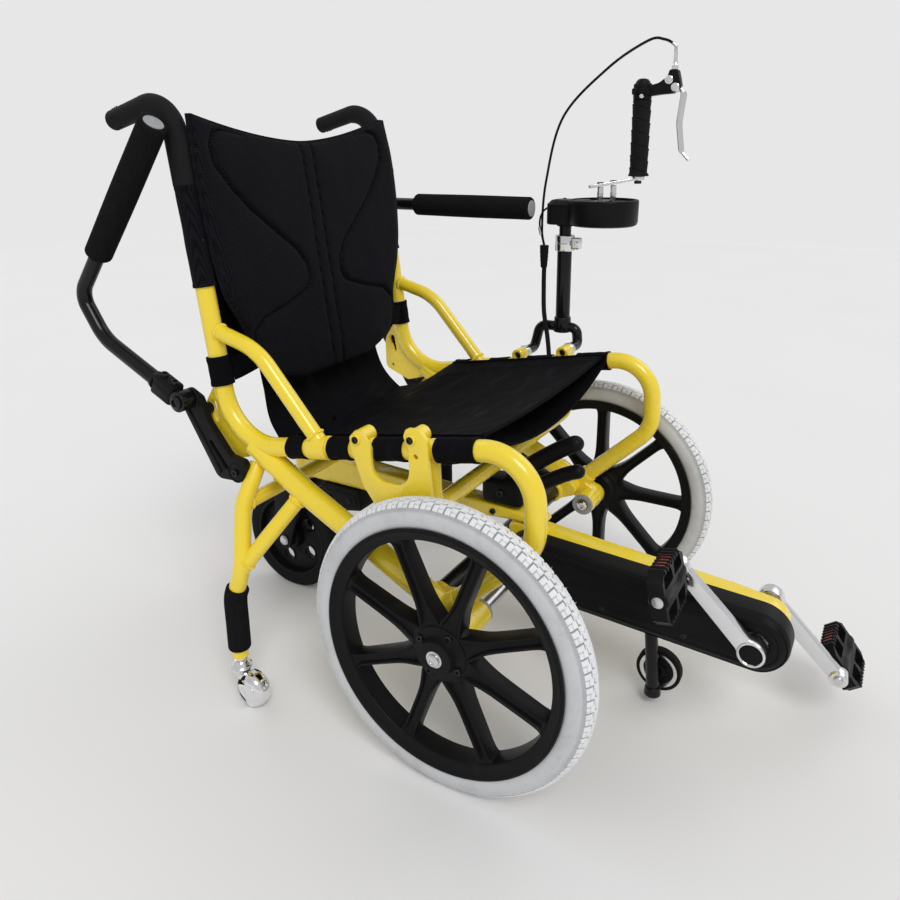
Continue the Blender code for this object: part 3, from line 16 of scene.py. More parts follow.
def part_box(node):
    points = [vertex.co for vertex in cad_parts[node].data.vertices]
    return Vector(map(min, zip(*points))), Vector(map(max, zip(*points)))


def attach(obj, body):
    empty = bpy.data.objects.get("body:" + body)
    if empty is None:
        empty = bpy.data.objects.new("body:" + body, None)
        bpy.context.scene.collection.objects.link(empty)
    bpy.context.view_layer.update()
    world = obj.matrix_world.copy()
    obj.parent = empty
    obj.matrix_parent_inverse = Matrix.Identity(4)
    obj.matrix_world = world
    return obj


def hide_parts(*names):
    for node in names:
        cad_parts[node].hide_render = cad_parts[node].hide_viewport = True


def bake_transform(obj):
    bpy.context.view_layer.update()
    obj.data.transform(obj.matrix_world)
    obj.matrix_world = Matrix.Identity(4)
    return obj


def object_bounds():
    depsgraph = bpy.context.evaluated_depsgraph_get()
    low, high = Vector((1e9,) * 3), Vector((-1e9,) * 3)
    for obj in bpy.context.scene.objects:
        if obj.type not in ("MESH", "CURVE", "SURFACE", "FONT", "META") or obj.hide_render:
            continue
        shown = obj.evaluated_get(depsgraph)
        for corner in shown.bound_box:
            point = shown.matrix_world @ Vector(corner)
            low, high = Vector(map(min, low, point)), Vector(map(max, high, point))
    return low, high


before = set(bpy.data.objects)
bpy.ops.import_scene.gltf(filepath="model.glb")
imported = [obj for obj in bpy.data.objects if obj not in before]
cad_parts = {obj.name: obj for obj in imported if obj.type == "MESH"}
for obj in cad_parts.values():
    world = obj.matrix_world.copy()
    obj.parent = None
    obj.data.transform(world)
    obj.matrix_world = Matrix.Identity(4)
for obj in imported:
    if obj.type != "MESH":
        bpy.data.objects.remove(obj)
CAD_LOW, CAD_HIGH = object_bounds()

bl_info = {
    "name": "Pedal wheelchair", "version": (1, 0, 0), "blender": (4, 5, 0),
    "location": "3D View > Sidebar > Wheelchair",
    "description": "Builds the fine surface of a pedal wheelchair with a side steering column",
    "category": "Object"}

X_AXIS = (1, 0, 0)
Z_AXIS = (0, 0, 1)

# Drive wheels
WHEEL_X = 0.282
AXLE_Z = 0.203
TYRE_RADIUS = 0.203
TYRE_SECTION = 0.0225
SPOKE_COUNT = 8
SPOKE_TURN = radians(20.5)
HUB_OUT = 0.027
AXLE_RADIUS = 0.0085

# Side frames
SIDE_X = 0.235
SIDE_TUBE = 0.014
SIDE_PATH = (
    (0.008, 0.2435), (-0.101, 0.348), (-0.097, 0.4725), (0.396, 0.383), (0.466, 0.888), (0.582, 0.858))
SIDE_BENDS = (0.06, 0.06, 0.085, 0.05)
MAIN_TUBE = 0.017
MAIN_PATH = ((0.3535, 0.395), (0.261, 0.339), (0.06, 0.2405))
BRACE_TUBE = 0.0115
BRACE_PATH = ((0.421, 0.562), (0.335, 0.54), (0.226, 0.418))
BRACE_FOOT = (0.2275, 0.4135)
LUG_STATIONS = (0.063, 0.149)
LUG_RISE = 0.02
LUG_OUT = 0.2508
OUTRIGGER_TUBE = 0.0125
OUTRIGGER_PATH = (
    (0.235, 0.35, 0.366), (0.27, 0.352, 0.312), (0.297, 0.337, 0.225), (0.3, 0.3525, 0.175),
    (0.3, 0.3525, 0.076))
DIAGONAL_TUBE = 0.0115
DIAGONAL_ENDS = ((0.235, 0.262, 0.34), (0.297, 0.3385, 0.222))
CROSS_Y = 0.05
CROSS_Z = 0.36
REAR_CROSS = (0.352, 0.312)
AXLE_TUBE = 0.015
AXLE_TUBE_AT = (0.0605, 0.213)

# Drive unit
CRANK_AT = (-0.334, 0.186)
CRANK_LENGTH = 0.138
CRANK_TURN = radians(44.1)
CASE_HALF = 0.0435
BOOM_X = (-0.016, 0.022)
SPROCKET_X = -0.037
SPROCKET_PITCH = 0.0127
SPROCKET_TEETH = 16
PEDAL_INNER = 0.0835
PEDAL_LONG = 0.09
PEDAL_DEEP = 0.074
PEDAL_THICK = 0.02
PEDAL_TILT = {"right": radians(78), "left": radians(52)}

# Rear wheel and its steering head
HEAD_Y = 0.465
REAR_Y = 0.505
REAR_RADIUS = 0.102
SPINE_HALF = 0.019

# Casters and front stand
CASTER_X = 0.3
CASTER_Y = 0.3525
CASTER_TRAIL = 0.021
CASTER_RADIUS = 0.024
CASTER_CLEAR = 0.002
STAND_WHEEL_AT = (0.0235, -0.195, 0.048)
STAND_WHEEL_RADIUS = 0.034

# Soft parts
CUSHION_Z = (0.456, 0.862)
PAD_BORDER = 0.003
PAD_CHANNEL = 0.013
PAD_FLARE = ((0.455, 0.0), (0.6, 0.0), (0.66, 0.009), (0.73, 0.015), (0.8, 0.015), (0.862, 0.008))
SEAM = [
    Vector(spot)
    for spot in (
        (0.135, 0.837), (0.172, 0.843), (0.194, 0.837), (0.203, 0.82), (0.2, 0.793), (0.176, 0.76),
        (0.146, 0.729), (0.101, 0.692), (0.06, 0.659), (0.044, 0.636), (0.0405, 0.614), (0.047, 0.6),
        (0.057, 0.592), (0.105, 0.577), (0.157, 0.565), (0.179, 0.545), (0.175, 0.5))]
SEAT_FRONT = -0.0215
SLEEVE_STATIONS = ((-0.022, 0.0345), (0.082, 0.129), (0.169, 0.2055), (0.25, 0.28))

# Armrests
ARM_X = 0.2755
ARM_PIVOT = (0.453, 0.458)
ARM_TUBE = 0.0105
ARM_PATH = ((0.453, 0.458), (0.4985, 0.632), (0.476, 0.7075), (0.16, 0.7075))
PAD_RADIUS = 0.0205
PAD_Y = (0.15, 0.392)
ARM_RAISED = {"right": radians(-50.6), "left": 0.0}

# Steering column
COLUMN_X = 0.3
COLUMN_Y = 0.094
HOUSING_Z = (0.681, 0.724)
PULLEY_Y = 0.025
PULLEY_CASE = 0.06
GRIP_AT = (0.33, -0.024)
GRIP_Z = (0.764, 0.887)

# Routes of the cables
CABLE_X = COLUMN_X + 0.004
BRAKE_CABLE = (
    (0.33, -0.075, 0.9606), (0.33, -0.0735, 0.97), (0.328, -0.056, 0.98), (0.324, -0.03, 0.979),
    (0.316, 0.034, 0.939), (0.309, 0.108, 0.863), (CABLE_X, 0.135, 0.755), (CABLE_X, 0.141, 0.672),
    (CABLE_X, 0.1355, 0.6366))
SECOND_CABLE = (
    (CABLE_X, 0.1215, 0.7065), (CABLE_X, 0.13, 0.7075), (CABLE_X, 0.14, 0.7), (CABLE_X, 0.1455, 0.686),
    (CABLE_X, 0.145, 0.67), (CABLE_X, 0.139, 0.65), (CABLE_X, 0.135, 0.634))
CONTROL_HOSE = (
    (CABLE_X, 0.135, 0.6004), (CABLE_X, 0.135, 0.57), (0.29, 0.127, 0.52), (0.281, 0.115, 0.475),
    (0.275, 0.108, 0.433), (0.262, 0.104, 0.395), (0.215, 0.104, 0.356), (0.15, 0.11, 0.336),
    (0.09, 0.13, 0.31), (0.045, 0.2, 0.294), (0.034, 0.3, 0.29), (0.032, 0.39, 0.288))

# Camera, in chair coordinates
CAMERA_AT = (-1.0173, -0.448, 0.8196)
CAMERA_YAW = 0.5368
CAMERA_PITCH = -0.2693
CAMERA_ROLL = -0.0085
CAMERA_LENS = 31.312
CAMERA_SHIFT = -0.1


class ChairSizes(bpy.types.PropertyGroup):
    """Sizes of the chair's fine forms."""
    tread_blocks: IntProperty(
        name="Tread blocks", description="Blocks round each tyre", default=72, min=40, max=96)
    tread_depth: FloatProperty(
        name="Tread depth", description="Depth of the grooves between the tyre's blocks",
        default=0.0021, min=0.0, max=0.003, unit="LENGTH", subtype="DISTANCE")
    spoke_channel: FloatProperty(
        name="Spoke channel", description="Depth of the hollow along each spoke",
        default=0.005, min=0.0, max=0.008, unit="LENGTH", subtype="DISTANCE")
    seam_depth: FloatProperty(
        name="Seam depth", description="Depth of the seams sewn into the back cushion",
        default=0.0085, min=0.0, max=0.012, unit="LENGTH", subtype="DISTANCE")
    crease_height: FloatProperty(
        name="Seat creases", description="Height of the creases in the seat's cloth",
        default=0.003, min=0.0, max=0.006, unit="LENGTH", subtype="DISTANCE")
    chain_links: IntProperty(
        name="Chain links", description="Links in the drive chain", default=68, min=60, max=76)
    tape_turns: IntProperty(
        name="Tape turns", description="Turns of tape round the handgrip", default=6, min=3, max=10)


class ChairColours(bpy.types.PropertyGroup):
    """Colours of the chair's finishes."""
    yellow: FloatVectorProperty(
        name="Frame paint", description="Yellow of the powder-coated frame",
        subtype="COLOR", size=3, min=0.0, max=1.0, default=(0.93, 0.7, 0.03))
    black: FloatVectorProperty(
        name="Black paint", description="Black of the painted tubes and mouldings",
        subtype="COLOR", size=3, min=0.0, max=1.0, default=(0.0068, 0.0068, 0.0074))
    tyre: FloatVectorProperty(
        name="Tyre rubber", description="Grey of the drive wheels' tyres",
        subtype="COLOR", size=3, min=0.0, max=1.0, default=(0.66, 0.668, 0.675))
    cloth: FloatVectorProperty(
        name="Cloth", description="Black of the seat and back cloth",
        subtype="COLOR", size=3, min=0.0, max=1.0, default=(0.006, 0.006, 0.008))
    alloy: FloatVectorProperty(
        name="Alloy", description="Tone of the polished cranks and steering parts",
        subtype="COLOR", size=3, min=0.0, max=1.0, default=(0.78, 0.78, 0.79))


def chair_shift():
    """From chair coordinates to the frame's own, found from the two drive wheels."""
    right_low, right_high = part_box("right_wheel")
    left_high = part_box("left_wheel")[1]
    return Vector(((right_low.x + left_high.x) / 2, (right_low.y + right_high.y) / 2, 0.0))


SHIFT = chair_shift()


# Finishes


class Value:
    """One number that varies over a surface; Python's operators on it add Math nodes."""

    def __init__(self, paint, socket):
        self.paint = paint
        self.socket = socket

    def worked(self, operation, *others):
        """The result of a Math node on the values given, in that order."""
        made = self.paint.node("ShaderNodeMath", {"operation": operation}, dict(enumerate(others)))
        return Value(self.paint, made.outputs[0])

    def __add__(self, other):
        return self.worked("ADD", self, other)

    def __radd__(self, other):
        return self.worked("ADD", other, self)

    def __sub__(self, other):
        return self.worked("SUBTRACT", self, other)

    def __rsub__(self, other):
        return self.worked("SUBTRACT", other, self)

    def __mul__(self, other):
        return self.worked("MULTIPLY", self, other)

    def __pow__(self, other):
        return self.worked("POWER", self, other)

    def __abs__(self):
        return self.worked("ABSOLUTE", self)

    def sine(self):
        """The sine of the value, in radians."""
        return self.worked("SINE", self)

    def between(self, low, high):
        """0 below low, 1 above high and smooth between."""
        settings = {"interpolation_type": "SMOOTHSTEP"}
        ranged = self.paint.node(
            "ShaderNodeMapRange", settings, {"Value": self, "From Min": low, "From Max": high})
        return Value(self.paint, ranged.outputs["Result"])


class Paint:
    """One finish: a Principled shader and the nodes that vary it over the surface."""

    def __init__(self, name, colour, roughness, metallic=0.0, **constants):
        self.material = bpy.data.materials.new(name)
        self.material.use_nodes = True
        self.tree = self.material.node_tree
        self.shader = self.tree.nodes["Principled BSDF"]
        self.shader.inputs["Base Color"].default_value = (*colour, 1)
        self.shader.inputs["Roughness"].default_value = roughness
        self.shader.inputs["Metallic"].default_value = metallic
        for socket, value in constants.items():
            name = "Specular IOR Level" if socket == "specular" else socket.replace("_", " ").title()
            self.shader.inputs[name].default_value = value
        self.place = self.node("ShaderNodeTexCoord", {}, {}).outputs["Object"]

    def node(self, kind, settings, inputs):
        """A node of a type, with its settings made first and then its sockets filled or linked."""
        made = self.tree.nodes.new(kind)
        for setting, value in settings.items():
            setattr(made, setting, value)
        for key, value in inputs.items():
            value = value.socket if isinstance(value, Value) else value
            if isinstance(value, bpy.types.NodeSocket):
                self.tree.links.new(value, made.inputs[key])
            else:
                made.inputs[key].default_value = value
        return made

    def link(self, value, socket):
        """Feed one of the shader's sockets."""
        self.tree.links.new(value.socket if isinstance(value, Value) else value, self.shader.inputs[socket])

    def noise(self, scale, detail=2.0, roughness=0.5, stretch=None):
        """Cloudy noise from 0 to 1; stretch multiplies each axis of the surface's place."""
        where = self.place
        if stretch:
            where = self.node(
                "ShaderNodeVectorMath", {"operation": "MULTIPLY"}, {0: where, 1: stretch}).outputs[0]
        inputs = {"Vector": where, "Scale": scale, "Detail": detail, "Roughness": roughness}
        return Value(self, self.node("ShaderNodeTexNoise", {}, inputs).outputs["Fac"])

    def cells(self, scale):
        """Distance to scattered points, for grain, pores and pebbles."""
        inputs = {"Vector": self.place, "Scale": scale}
        return Value(self, self.node("ShaderNodeTexVoronoi", {}, inputs).outputs["Distance"])

    def axes(self):
        """The surface's place as three values."""
        split = self.node("ShaderNodeSeparateXYZ", {}, {0: self.place})
        return [Value(self, output) for output in split.outputs]

    def tone(self, share, first, second):
        """Two colours mixed by a share."""
        mixed = self.node("ShaderNodeMix", {"data_type": "RGBA"}, {"Factor": share})
        for socket, value in ((mixed.inputs[6], first), (mixed.inputs[7], second)):
            if isinstance(value, bpy.types.NodeSocket):
                self.tree.links.new(value, socket)
            else:
                socket.default_value = (*value, 1)
        return mixed.outputs[2]

    def cover(self, colour, roughness):
        """Feed the shader's colour and its roughness."""
        self.link(colour, "Base Color")
        self.link(roughness, "Roughness")

    def relief(self, height, distance, strength):
        """A fine bump on the surface."""
        bump = self.node(
            "ShaderNodeBump", {}, {"Height": height, "Distance": distance, "Strength": strength})
        self.link(bump.outputs["Normal"], "Normal")


def shade(colour, factor):
    """A colour made lighter or darker."""
    return tuple(min(1.0, channel * factor) for channel in colour)


def yellow_paint(colours):
    """Powder coat: a hard yellow with orange peel and a glossy top."""
    paint = Paint("yellow_paint", colours.yellow, 0.26, coat_weight=0.55, coat_roughness=0.07)
    drift = paint.noise(7.0, 3.0)
    paint.cover(
        paint.tone(drift, shade(colours.yellow, 0.93), shade(colours.yellow, 1.05)),
        0.2 + paint.noise(60.0, 3.0) * 0.14)
    paint.relief(paint.noise(420.0, 2.0) + paint.noise(90.0, 1.0) * 0.8, 0.00022, 0.45)
    return paint


def black_paint(colours):
    """Gloss black paint on steel tube."""
    paint = Paint("black_paint", colours.black, 0.2, coat_weight=0.3, coat_roughness=0.05, specular=0.1)
    rubs = paint.noise(30.0, 4.0, 0.7).between(0.6, 0.78)
    paint.cover(
        paint.tone(rubs, colours.black, shade(colours.black, 1.9)), 0.16 + paint.noise(45.0, 3.0) * 0.16)
    paint.relief(paint.noise(500.0, 2.0), 0.0001, 0.35)
    return paint


def black_plastic(colours):
    """Moulded nylon with a fine spark-eroded grain."""
    paint = Paint("black_plastic", colours.black, 0.38, specular=0.1)
    rubs = paint.noise(22.0, 4.0, 0.65).between(0.55, 0.8)
    paint.cover(
        paint.tone(rubs, shade(colours.black, 1.1), shade(colours.black, 1.9)),
        0.3 + paint.noise(35.0, 3.0) * 0.16)
    paint.relief(paint.cells(1500.0) + paint.noise(240.0, 2.0) * 0.6, 0.00016, 0.35)
    return paint


def black_rubber(colours):
    """Matt rubber with a little bloom."""
    paint = Paint("black_rubber", colours.black, 0.62, specular=0.07)
    bloom = paint.noise(26.0, 5.0, 0.7)
    paint.cover(
        paint.tone(bloom, shade(colours.black, 1.2), shade(colours.black, 2.3)), 0.52 + bloom * 0.22)
    paint.relief(paint.cells(900.0) + paint.noise(150.0, 3.0), 0.0002, 0.4)
    return paint


def foam(colours):
    """Closed-cell foam sleeve."""
    paint = Paint("foam", colours.black, 0.93, specular=0.04)
    cells = paint.cells(620.0)
    paint.cover(
        paint.tone(cells.between(0.1, 0.7), shade(colours.black, 0.7), shade(colours.black, 1.7)),
        0.86 + paint.noise(40.0) * 0.12)
    paint.relief(cells + paint.noise(120.0, 3.0) * 0.7, 0.0005, 0.55)
    return paint


def spacer_mesh(colours):
    """Spacer fabric of the back cushion: small holes on a diamond grid."""
    paint = Paint("cloth", colours.cloth, 0.88, sheen_weight=0.025, specular=0.05)
    across, back, up = paint.axes()
    level = across + back * 0.9
    pitch = 2 * pi / 0.0062
    holes = ((level + up) * pitch).sine() * ((level - up) * pitch).sine()
    open_mesh = holes.between(0.15, 0.55)
    wear_and_sheen = paint.noise(9.0, 4.0, 0.6)
    thread = paint.tone(wear_and_sheen, shade(colours.cloth, 0.9), shade(colours.cloth, 1.9))
    paint.cover(paint.tone(open_mesh, thread, shade(colours.cloth, 0.25)), 0.78 + wear_and_sheen * 0.18)
    paint.relief(1.0 - open_mesh * 0.9 + paint.noise(700.0, 2.0) * 0.25, 0.0007, 0.75)
    return paint


def woven_cloth(colours):
    """Plain-woven nylon of the seat, a little shiny on its creases, with streaks of painted sheen
    lightening its colour.
    """
    paint = Paint("woven_cloth", colours.cloth, 0.66, sheen_weight=0.004, specular=0.05)
    across, back, up = paint.axes()
    pitch = 2 * pi / 0.0016
    warp = (across * pitch).sine()
    weft = ((back + up * 0.8) * pitch).sine()
    weave = warp * weft
    # Painted sheen: a stretched noise lightens the thread colour in streaks, where the roughness also
    # drops.
    wear_and_sheen = paint.noise(14.0, 5.0, 0.7, (1.0, 2.2, 1.0))
    lit = wear_and_sheen.between(0.52, 0.72)
    thread = paint.tone(lit, shade(colours.cloth, 0.6), shade(colours.cloth, 1.4))
    paint.cover(
        paint.tone(weave.between(-0.9, 0.9), shade(colours.cloth, 0.75), thread),
        0.72 - lit * 0.22 + weave * 0.05)
    paint.relief(weave * 0.5 + paint.noise(60.0, 4.0, 0.6), 0.0006, 0.5)
    return paint


def webbing(colours):
    """Ribbed strap webbing."""
    paint = Paint("webbing", colours.cloth, 0.7, sheen_weight=0.004, specular=0.03)
    across, back, up = paint.axes()
    ribs = ((across + back + up) * (2 * pi / 0.0024)).sine()
    fine = ((across - back + up) * (2 * pi / 0.0011)).sine()
    paint.cover(
        paint.tone(ribs.between(-1, 1), shade(colours.cloth, 0.5), shade(colours.cloth, 1.2)),
        0.62 + paint.noise(30.0) * 0.2)
    paint.relief(ribs + fine * 0.4, 0.0005, 0.6)
    return paint


def grey_tyre(colours):
    """Non-marking grey rubber: pale blocks, painted shade in the grooves, dark shoulder lines and faint
    scuffs.
    """
    paint = Paint("grey_tyre", colours.tyre, 0.62, specular=0.35)
    across, back, up = paint.axes()
    core = TYRE_RADIUS - TYRE_SECTION
    reach = ((back - SHIFT.y) ** 2 + (up - AXLE_Z) ** 2) ** 0.5 - core
    aside = abs(across - SHIFT.x) - WHEEL_X
    depth = (aside ** 2 + reach ** 2) ** 0.5
    arc = aside.worked("ARCTAN2", abs(aside), reach) * TYRE_SECTION
    wall = arc.between(0.018, 0.0188)
    # Painted shade: the grooves cut between the blocks are darkened in colour.
    groove = (1.0 - depth.between(TYRE_SECTION - 0.0015, TYRE_SECTION - 0.0003)) * (1.0 - wall)
    lines = (arc * (2 * pi / 0.0012)).sine().between(0.1, 0.9) * wall * (1.0 - arc.between(0.0226, 0.0232))
    scuffs = paint.noise(18.0, 6.0, 0.72).between(0.42, 0.75)
    side = paint.tone(scuffs, shade(colours.tyre, 0.9), shade(colours.tyre, 0.74))
    crown = paint.tone(scuffs, shade(colours.tyre, 1.26), shade(colours.tyre, 1.04))
    rubber = paint.tone(wall, crown, side)
    rubber = paint.tone(groove * 0.85, rubber, shade(colours.tyre, 0.38))
    rubber = paint.tone(lines * 0.7, rubber, shade(colours.tyre, 0.4))
    grime = paint.noise(110.0, 4.0, 0.8).between(0.62, 0.78)
    paint.cover(
        paint.tone(grime * 0.4, rubber, shade(colours.tyre, 0.5)), 0.5 + paint.noise(55.0, 4.0) * 0.24)
    paint.relief(paint.noise(260.0, 4.0, 0.65) + paint.cells(1100.0) * 0.5, 0.00022, 0.5)
    return paint


def polished_alloy(colours):
    """Bright aluminium with fine polishing lines."""
    paint = Paint("alloy", colours.alloy, 0.16, 1.0)
    lines = paint.noise(240.0, 3.0, 0.6, (1.0, 0.12, 0.12))
    haze = paint.noise(34.0, 4.0, 0.6)
    paint.cover(
        paint.tone(haze, shade(colours.alloy, 0.9), shade(colours.alloy, 1.06)),
        0.1 + haze * 0.12 + lines * 0.05)
    paint.relief(lines, 0.00004, 0.3)
    return paint


def chrome_plate(colours):
    """Bright chrome with a few smudges."""
    paint = Paint("chrome_plate", shade(colours.alloy, 1.08), 0.06, 1.0)
    smudge = paint.noise(70.0, 5.0, 0.65).between(0.45, 0.75)
    paint.cover(
        paint.tone(smudge, shade(colours.alloy, 1.12), shade(colours.alloy, 0.92)), 0.04 + smudge * 0.14)
    return paint


def zinc_steel(colours):
    """Zinc-plated steel of bolts, washers and the axle."""
    paint = Paint("steel", shade(colours.alloy, 0.82), 0.28, 1.0)
    spangle = paint.cells(260.0)
    haze = paint.noise(48.0, 4.0, 0.6)
    paint.cover(
        paint.tone(haze, shade(colours.alloy, 0.72), shade(colours.alloy, 0.98)),
        0.18 + haze * 0.16 + spangle * 0.1)
    paint.relief(paint.noise(300.0, 3.0), 0.00005, 0.4)
    return paint


def black_oxide(colours):
    """Oiled black steel of the socket screws."""
    paint = Paint("black_oxide", shade(colours.black, 2.2), 0.34, 0.55)
    haze = paint.noise(120.0, 4.0, 0.6)
    paint.cover(paint.tone(haze, shade(colours.black, 1.4), shade(colours.black, 3.4)), 0.24 + haze * 0.22)
    return paint


def grey_cap(colours):
    """Satin light-grey plastic of end discs and washers."""
    paint = Paint("grey_cap", shade(colours.tyre, 0.45), 0.4)
    haze = paint.noise(90.0, 3.0)
    paint.cover(paint.tone(haze, shade(colours.tyre, 0.38), shade(colours.tyre, 0.55)), 0.32 + haze * 0.2)
    paint.relief(paint.noise(400.0), 0.0001, 0.4)
    return paint


def reflector(colours):
    """Moulded dark red prism reflector of the pedals."""
    amber = (0.36, 0.03, 0.012)
    paint = Paint("reflector", amber, 0.12, coat_weight=1.0, coat_roughness=0.04)
    prisms = paint.cells(420.0)
    paint.cover(
        paint.tone(prisms.between(0.1, 0.6), shade(amber, 0.5), shade(amber, 1.3)), 0.08 + prisms * 0.2)
    paint.relief(prisms, 0.0004, 0.6)
    return paint


FINISHES = {
    "yellow_paint": (yellow_paint, "yellow_paint"), "black_paint": (black_paint, "black_paint"),
    "black_plastic": (black_plastic, "black_plastic"), "black_rubber": (black_rubber, "black_rubber"),
    "foam": (foam, "foam"), "cloth": (spacer_mesh, "cloth"), "woven_cloth": (woven_cloth, "cloth"),
    "webbing": (webbing, "cloth"), "grey_tyre": (grey_tyre, "grey_tyre"),
    "alloy": (polished_alloy, "alloy"), "chrome_plate": (chrome_plate, "chrome_plate"),
    "steel": (zinc_steel, "steel"), "black_oxide": (black_oxide, "steel"),
    "grey_cap": (grey_cap, "black_plastic"), "reflector": (reflector, None)}


MADE = {}


def material_of(finish):
    """The finish's material, made the first time that it is asked for."""
    if finish not in MADE:
        MADE[finish] = FINISHES[finish][0](bpy.context.scene.chair_colours).material
    return MADE[finish]


# Shapes


def mm(*lengths):
    """Lengths or rows of lengths, given in millimetres, as metres."""
    return [
        tuple(part / 1000 for part in each) if isinstance(each, tuple) else each / 1000 for each in lengths]


def turn_to(axis):
    """The rotation that takes +Z to an axis."""
    return Vector(Z_AXIS).rotation_difference(Vector(axis)).to_matrix().to_4x4()


def rounded(corners, radii, closed=False, step=radians(6)):
    """The points of a line through corners, each inner corner rounded to its radius."""
    corners = [Vector((*corner, 0)[:3]) for corner in corners]
    count = len(corners)
    inner = range(count) if closed else range(1, count - 1)
    if isinstance(radii, (int, float)):
        radii = [radii] * len(inner)
    points = [] if closed else [corners[0]]
    for index, radius in zip(inner, radii):
        corner = corners[index]
        back = (corners[index - 1] - corner).normalized()
        ahead = (corners[(index + 1) % count] - corner).normalized()
        turn = pi - back.angle(ahead)
        if radius <= 0 or turn < radians(1):
            points.append(corner)
            continue
        middle = corner + (back + ahead).normalized() * radius / cos(turn / 2)
        first = corner + back * radius * tan(turn / 2) - middle
        last = corner + ahead * radius * tan(turn / 2) - middle
        swing = first.rotation_difference(last)
        pieces = max(2, round(turn / step))
        for index in range(pieces + 1):
            points.append(middle + Quaternion().slerp(swing, index / pieces) @ first)
    if not closed:
        points.append(corners[-1])
    return points


def smooth_route(knots, count):
    """A smooth curve through its knots, as evenly numbered points."""
    knots = [Vector(knot) for knot in knots]
    padded = [2 * knots[0] - knots[1]] + knots + [2 * knots[-1] - knots[-2]]
    points = []
    for index in range(count + 1):
        place = index / count * (len(knots) - 1)
        leg = min(int(place), len(knots) - 2)
        t = place - leg
        a, b, c, d = padded[leg:leg + 4]
        points.append(0.5 * (2 * b + (c - a) * t + (2 * a - 5 * b + 4 * c - d) * t ** 2
                             + (3 * b - a - 3 * c + d) * t ** 3))
    return points


def turns(count):
    """Even angles round a circle."""
    return [2 * pi * index / count for index in range(count)]


def on_circle(centre, radius, angle):
    """A spot on a circle of a plane."""
    return centre[0] + radius * cos(angle), centre[1] + radius * sin(angle)


def loft(rings, closed=False, caps=True, open_rings=False):
    """A skin through rings of points that all have the same count."""
    shape = bmesh.new()
    loops = [[shape.verts.new(point) for point in ring] for ring in rings]
    count = len(loops[0])
    for loop, following in zip(loops, loops[1:] + loops[:1] if closed else loops[1:]):
        for index in range(count - 1 if open_rings else count):
            after = (index + 1) % count
            shape.faces.new((loop[index], loop[after], following[after], following[index]))
    if caps and not closed and not open_rings:
        shape.faces.new(loops[0][::-1])
        shape.faces.new(loops[-1])
    return shape


def stations(route):
    """Each point of a route with a side and an up direction, free of twist."""
    found = []
    for index, point in enumerate(route):
        ahead = route[min(index + 1, len(route) - 1)]
        behind = route[max(index - 1, 0)]
        way = (ahead - behind).normalized()
        if not found:
            side = way.orthogonal().normalized()
        side = (side - way * side.dot(way)).normalized()
        found.append((point, side, way.cross(side)))
    return found


def sweep(route, radius, sides=28, radii=None, edge=0.0, flat=1.0):
    """A round bar along a route, with softened ends; flat below 1 makes it an oval."""
    route = [Vector(point) for point in route]
    radii = radii or [1.0] * len(route)
    spots = [(place, side, up, radius * share) for (place, side, up), share in zip(stations(route), radii)]
    first_way = (route[1] - route[0]).normalized() * edge
    last_way = (route[-2] - route[-1]).normalized() * edge
    softening = [pi / 2 * index / 4 for index in range(4)] if edge else []
    rings = []

    def add(spot, way, inwards, cut):
        place, side, up, reach = spot
        place = place + way * inwards
        reach -= edge * cut
        rings.append([place + side * reach * cos(a) + up * reach * flat * sin(a) for a in turns(sides)])

    for angle in softening:
        add(spots[0], first_way, 1 - cos(angle), 1 - sin(angle))
    add(spots[0], first_way, 1, 0)
    for spot in spots[1:-1]:
        add(spot, last_way, 0, 0)
    add(spots[-1], last_way, 1, 0)
    for angle in reversed(softening):
        add(spots[-1], last_way, 1 - cos(angle), 1 - sin(angle))
    return loft(rings)


def rod(start, end, radius, end_radius=None, sides=32, edge=0.0006):
    """A round bar or a cone between two points, with softened edges."""
    radii = [1.0, 1.0 if end_radius is None else end_radius / radius]
    return sweep([Vector(start), Vector(end)], radius, sides, radii, edge)


def lathe(profile, place, axis, steps=64, start=0.0, sweep_angle=2 * pi):
    """A turned piece from (radius, height) points; it is closed along a bore where it has one."""
    about = Matrix.Translation(place) @ turn_to(axis)
    whole = sweep_angle == 2 * pi
    shape = bmesh.new()
    angles = [start + sweep_angle * index / steps for index in range(steps if whole else steps + 1)]
    rows = []
    for radius, height in profile:
        if radius > 1e-6:
            rows.append(
                [shape.verts.new(about @ Vector((*on_circle((0, 0), radius, a), height))) for a in angles])
        else:
            rows.append([shape.verts.new(about @ Vector((0, 0, height)))] * len(angles))
    bored = min(profile[0][0], profile[-1][0]) > 1e-6
    for row, following in zip(rows, rows[1:] + rows[:1] if bored else rows[1:]):
        for index in range(steps):
            after = (index + 1) % len(angles)
            corners = list(dict.fromkeys((row[index], row[after], following[after], following[index])))
            if len(corners) > 2:
                shape.faces.new(corners)
    if not whole:
        shape.faces.new([row[0] for row in rows])
        shape.faces.new([row[-1] for row in rows][::-1])
    return shape


def softened(profile, radius, closed=True, step=radians(22)):
    """A turned profile with its corners rounded."""
    return [(point.x, point.y) for point in rounded(profile, radius, closed, step)]


def band(outer, inner, start, end, soft):
    """The softened profile of a plain ring or, with an inner radius of 0, of a disc."""
    return softened([(outer, start), (outer, end), (inner, end), (inner, start)], soft)


def block(low, high, edge=0.001, segments=3):
    """A box between two corners with rounded edges."""
    low, high = Vector(map(min, low, high)), Vector(map(max, low, high))
    shape = bmesh.new()
    bmesh.ops.create_cube(shape, size=1.0)
    bmesh.ops.scale(shape, vec=high - low, verts=shape.verts)
    bmesh.ops.translate(shape, vec=(low + high) / 2, verts=shape.verts)
    bmesh.ops.bevel(shape, geom=shape.edges[:], offset=edge, segments=segments, affect="EDGES", profile=0.5)
    return shape


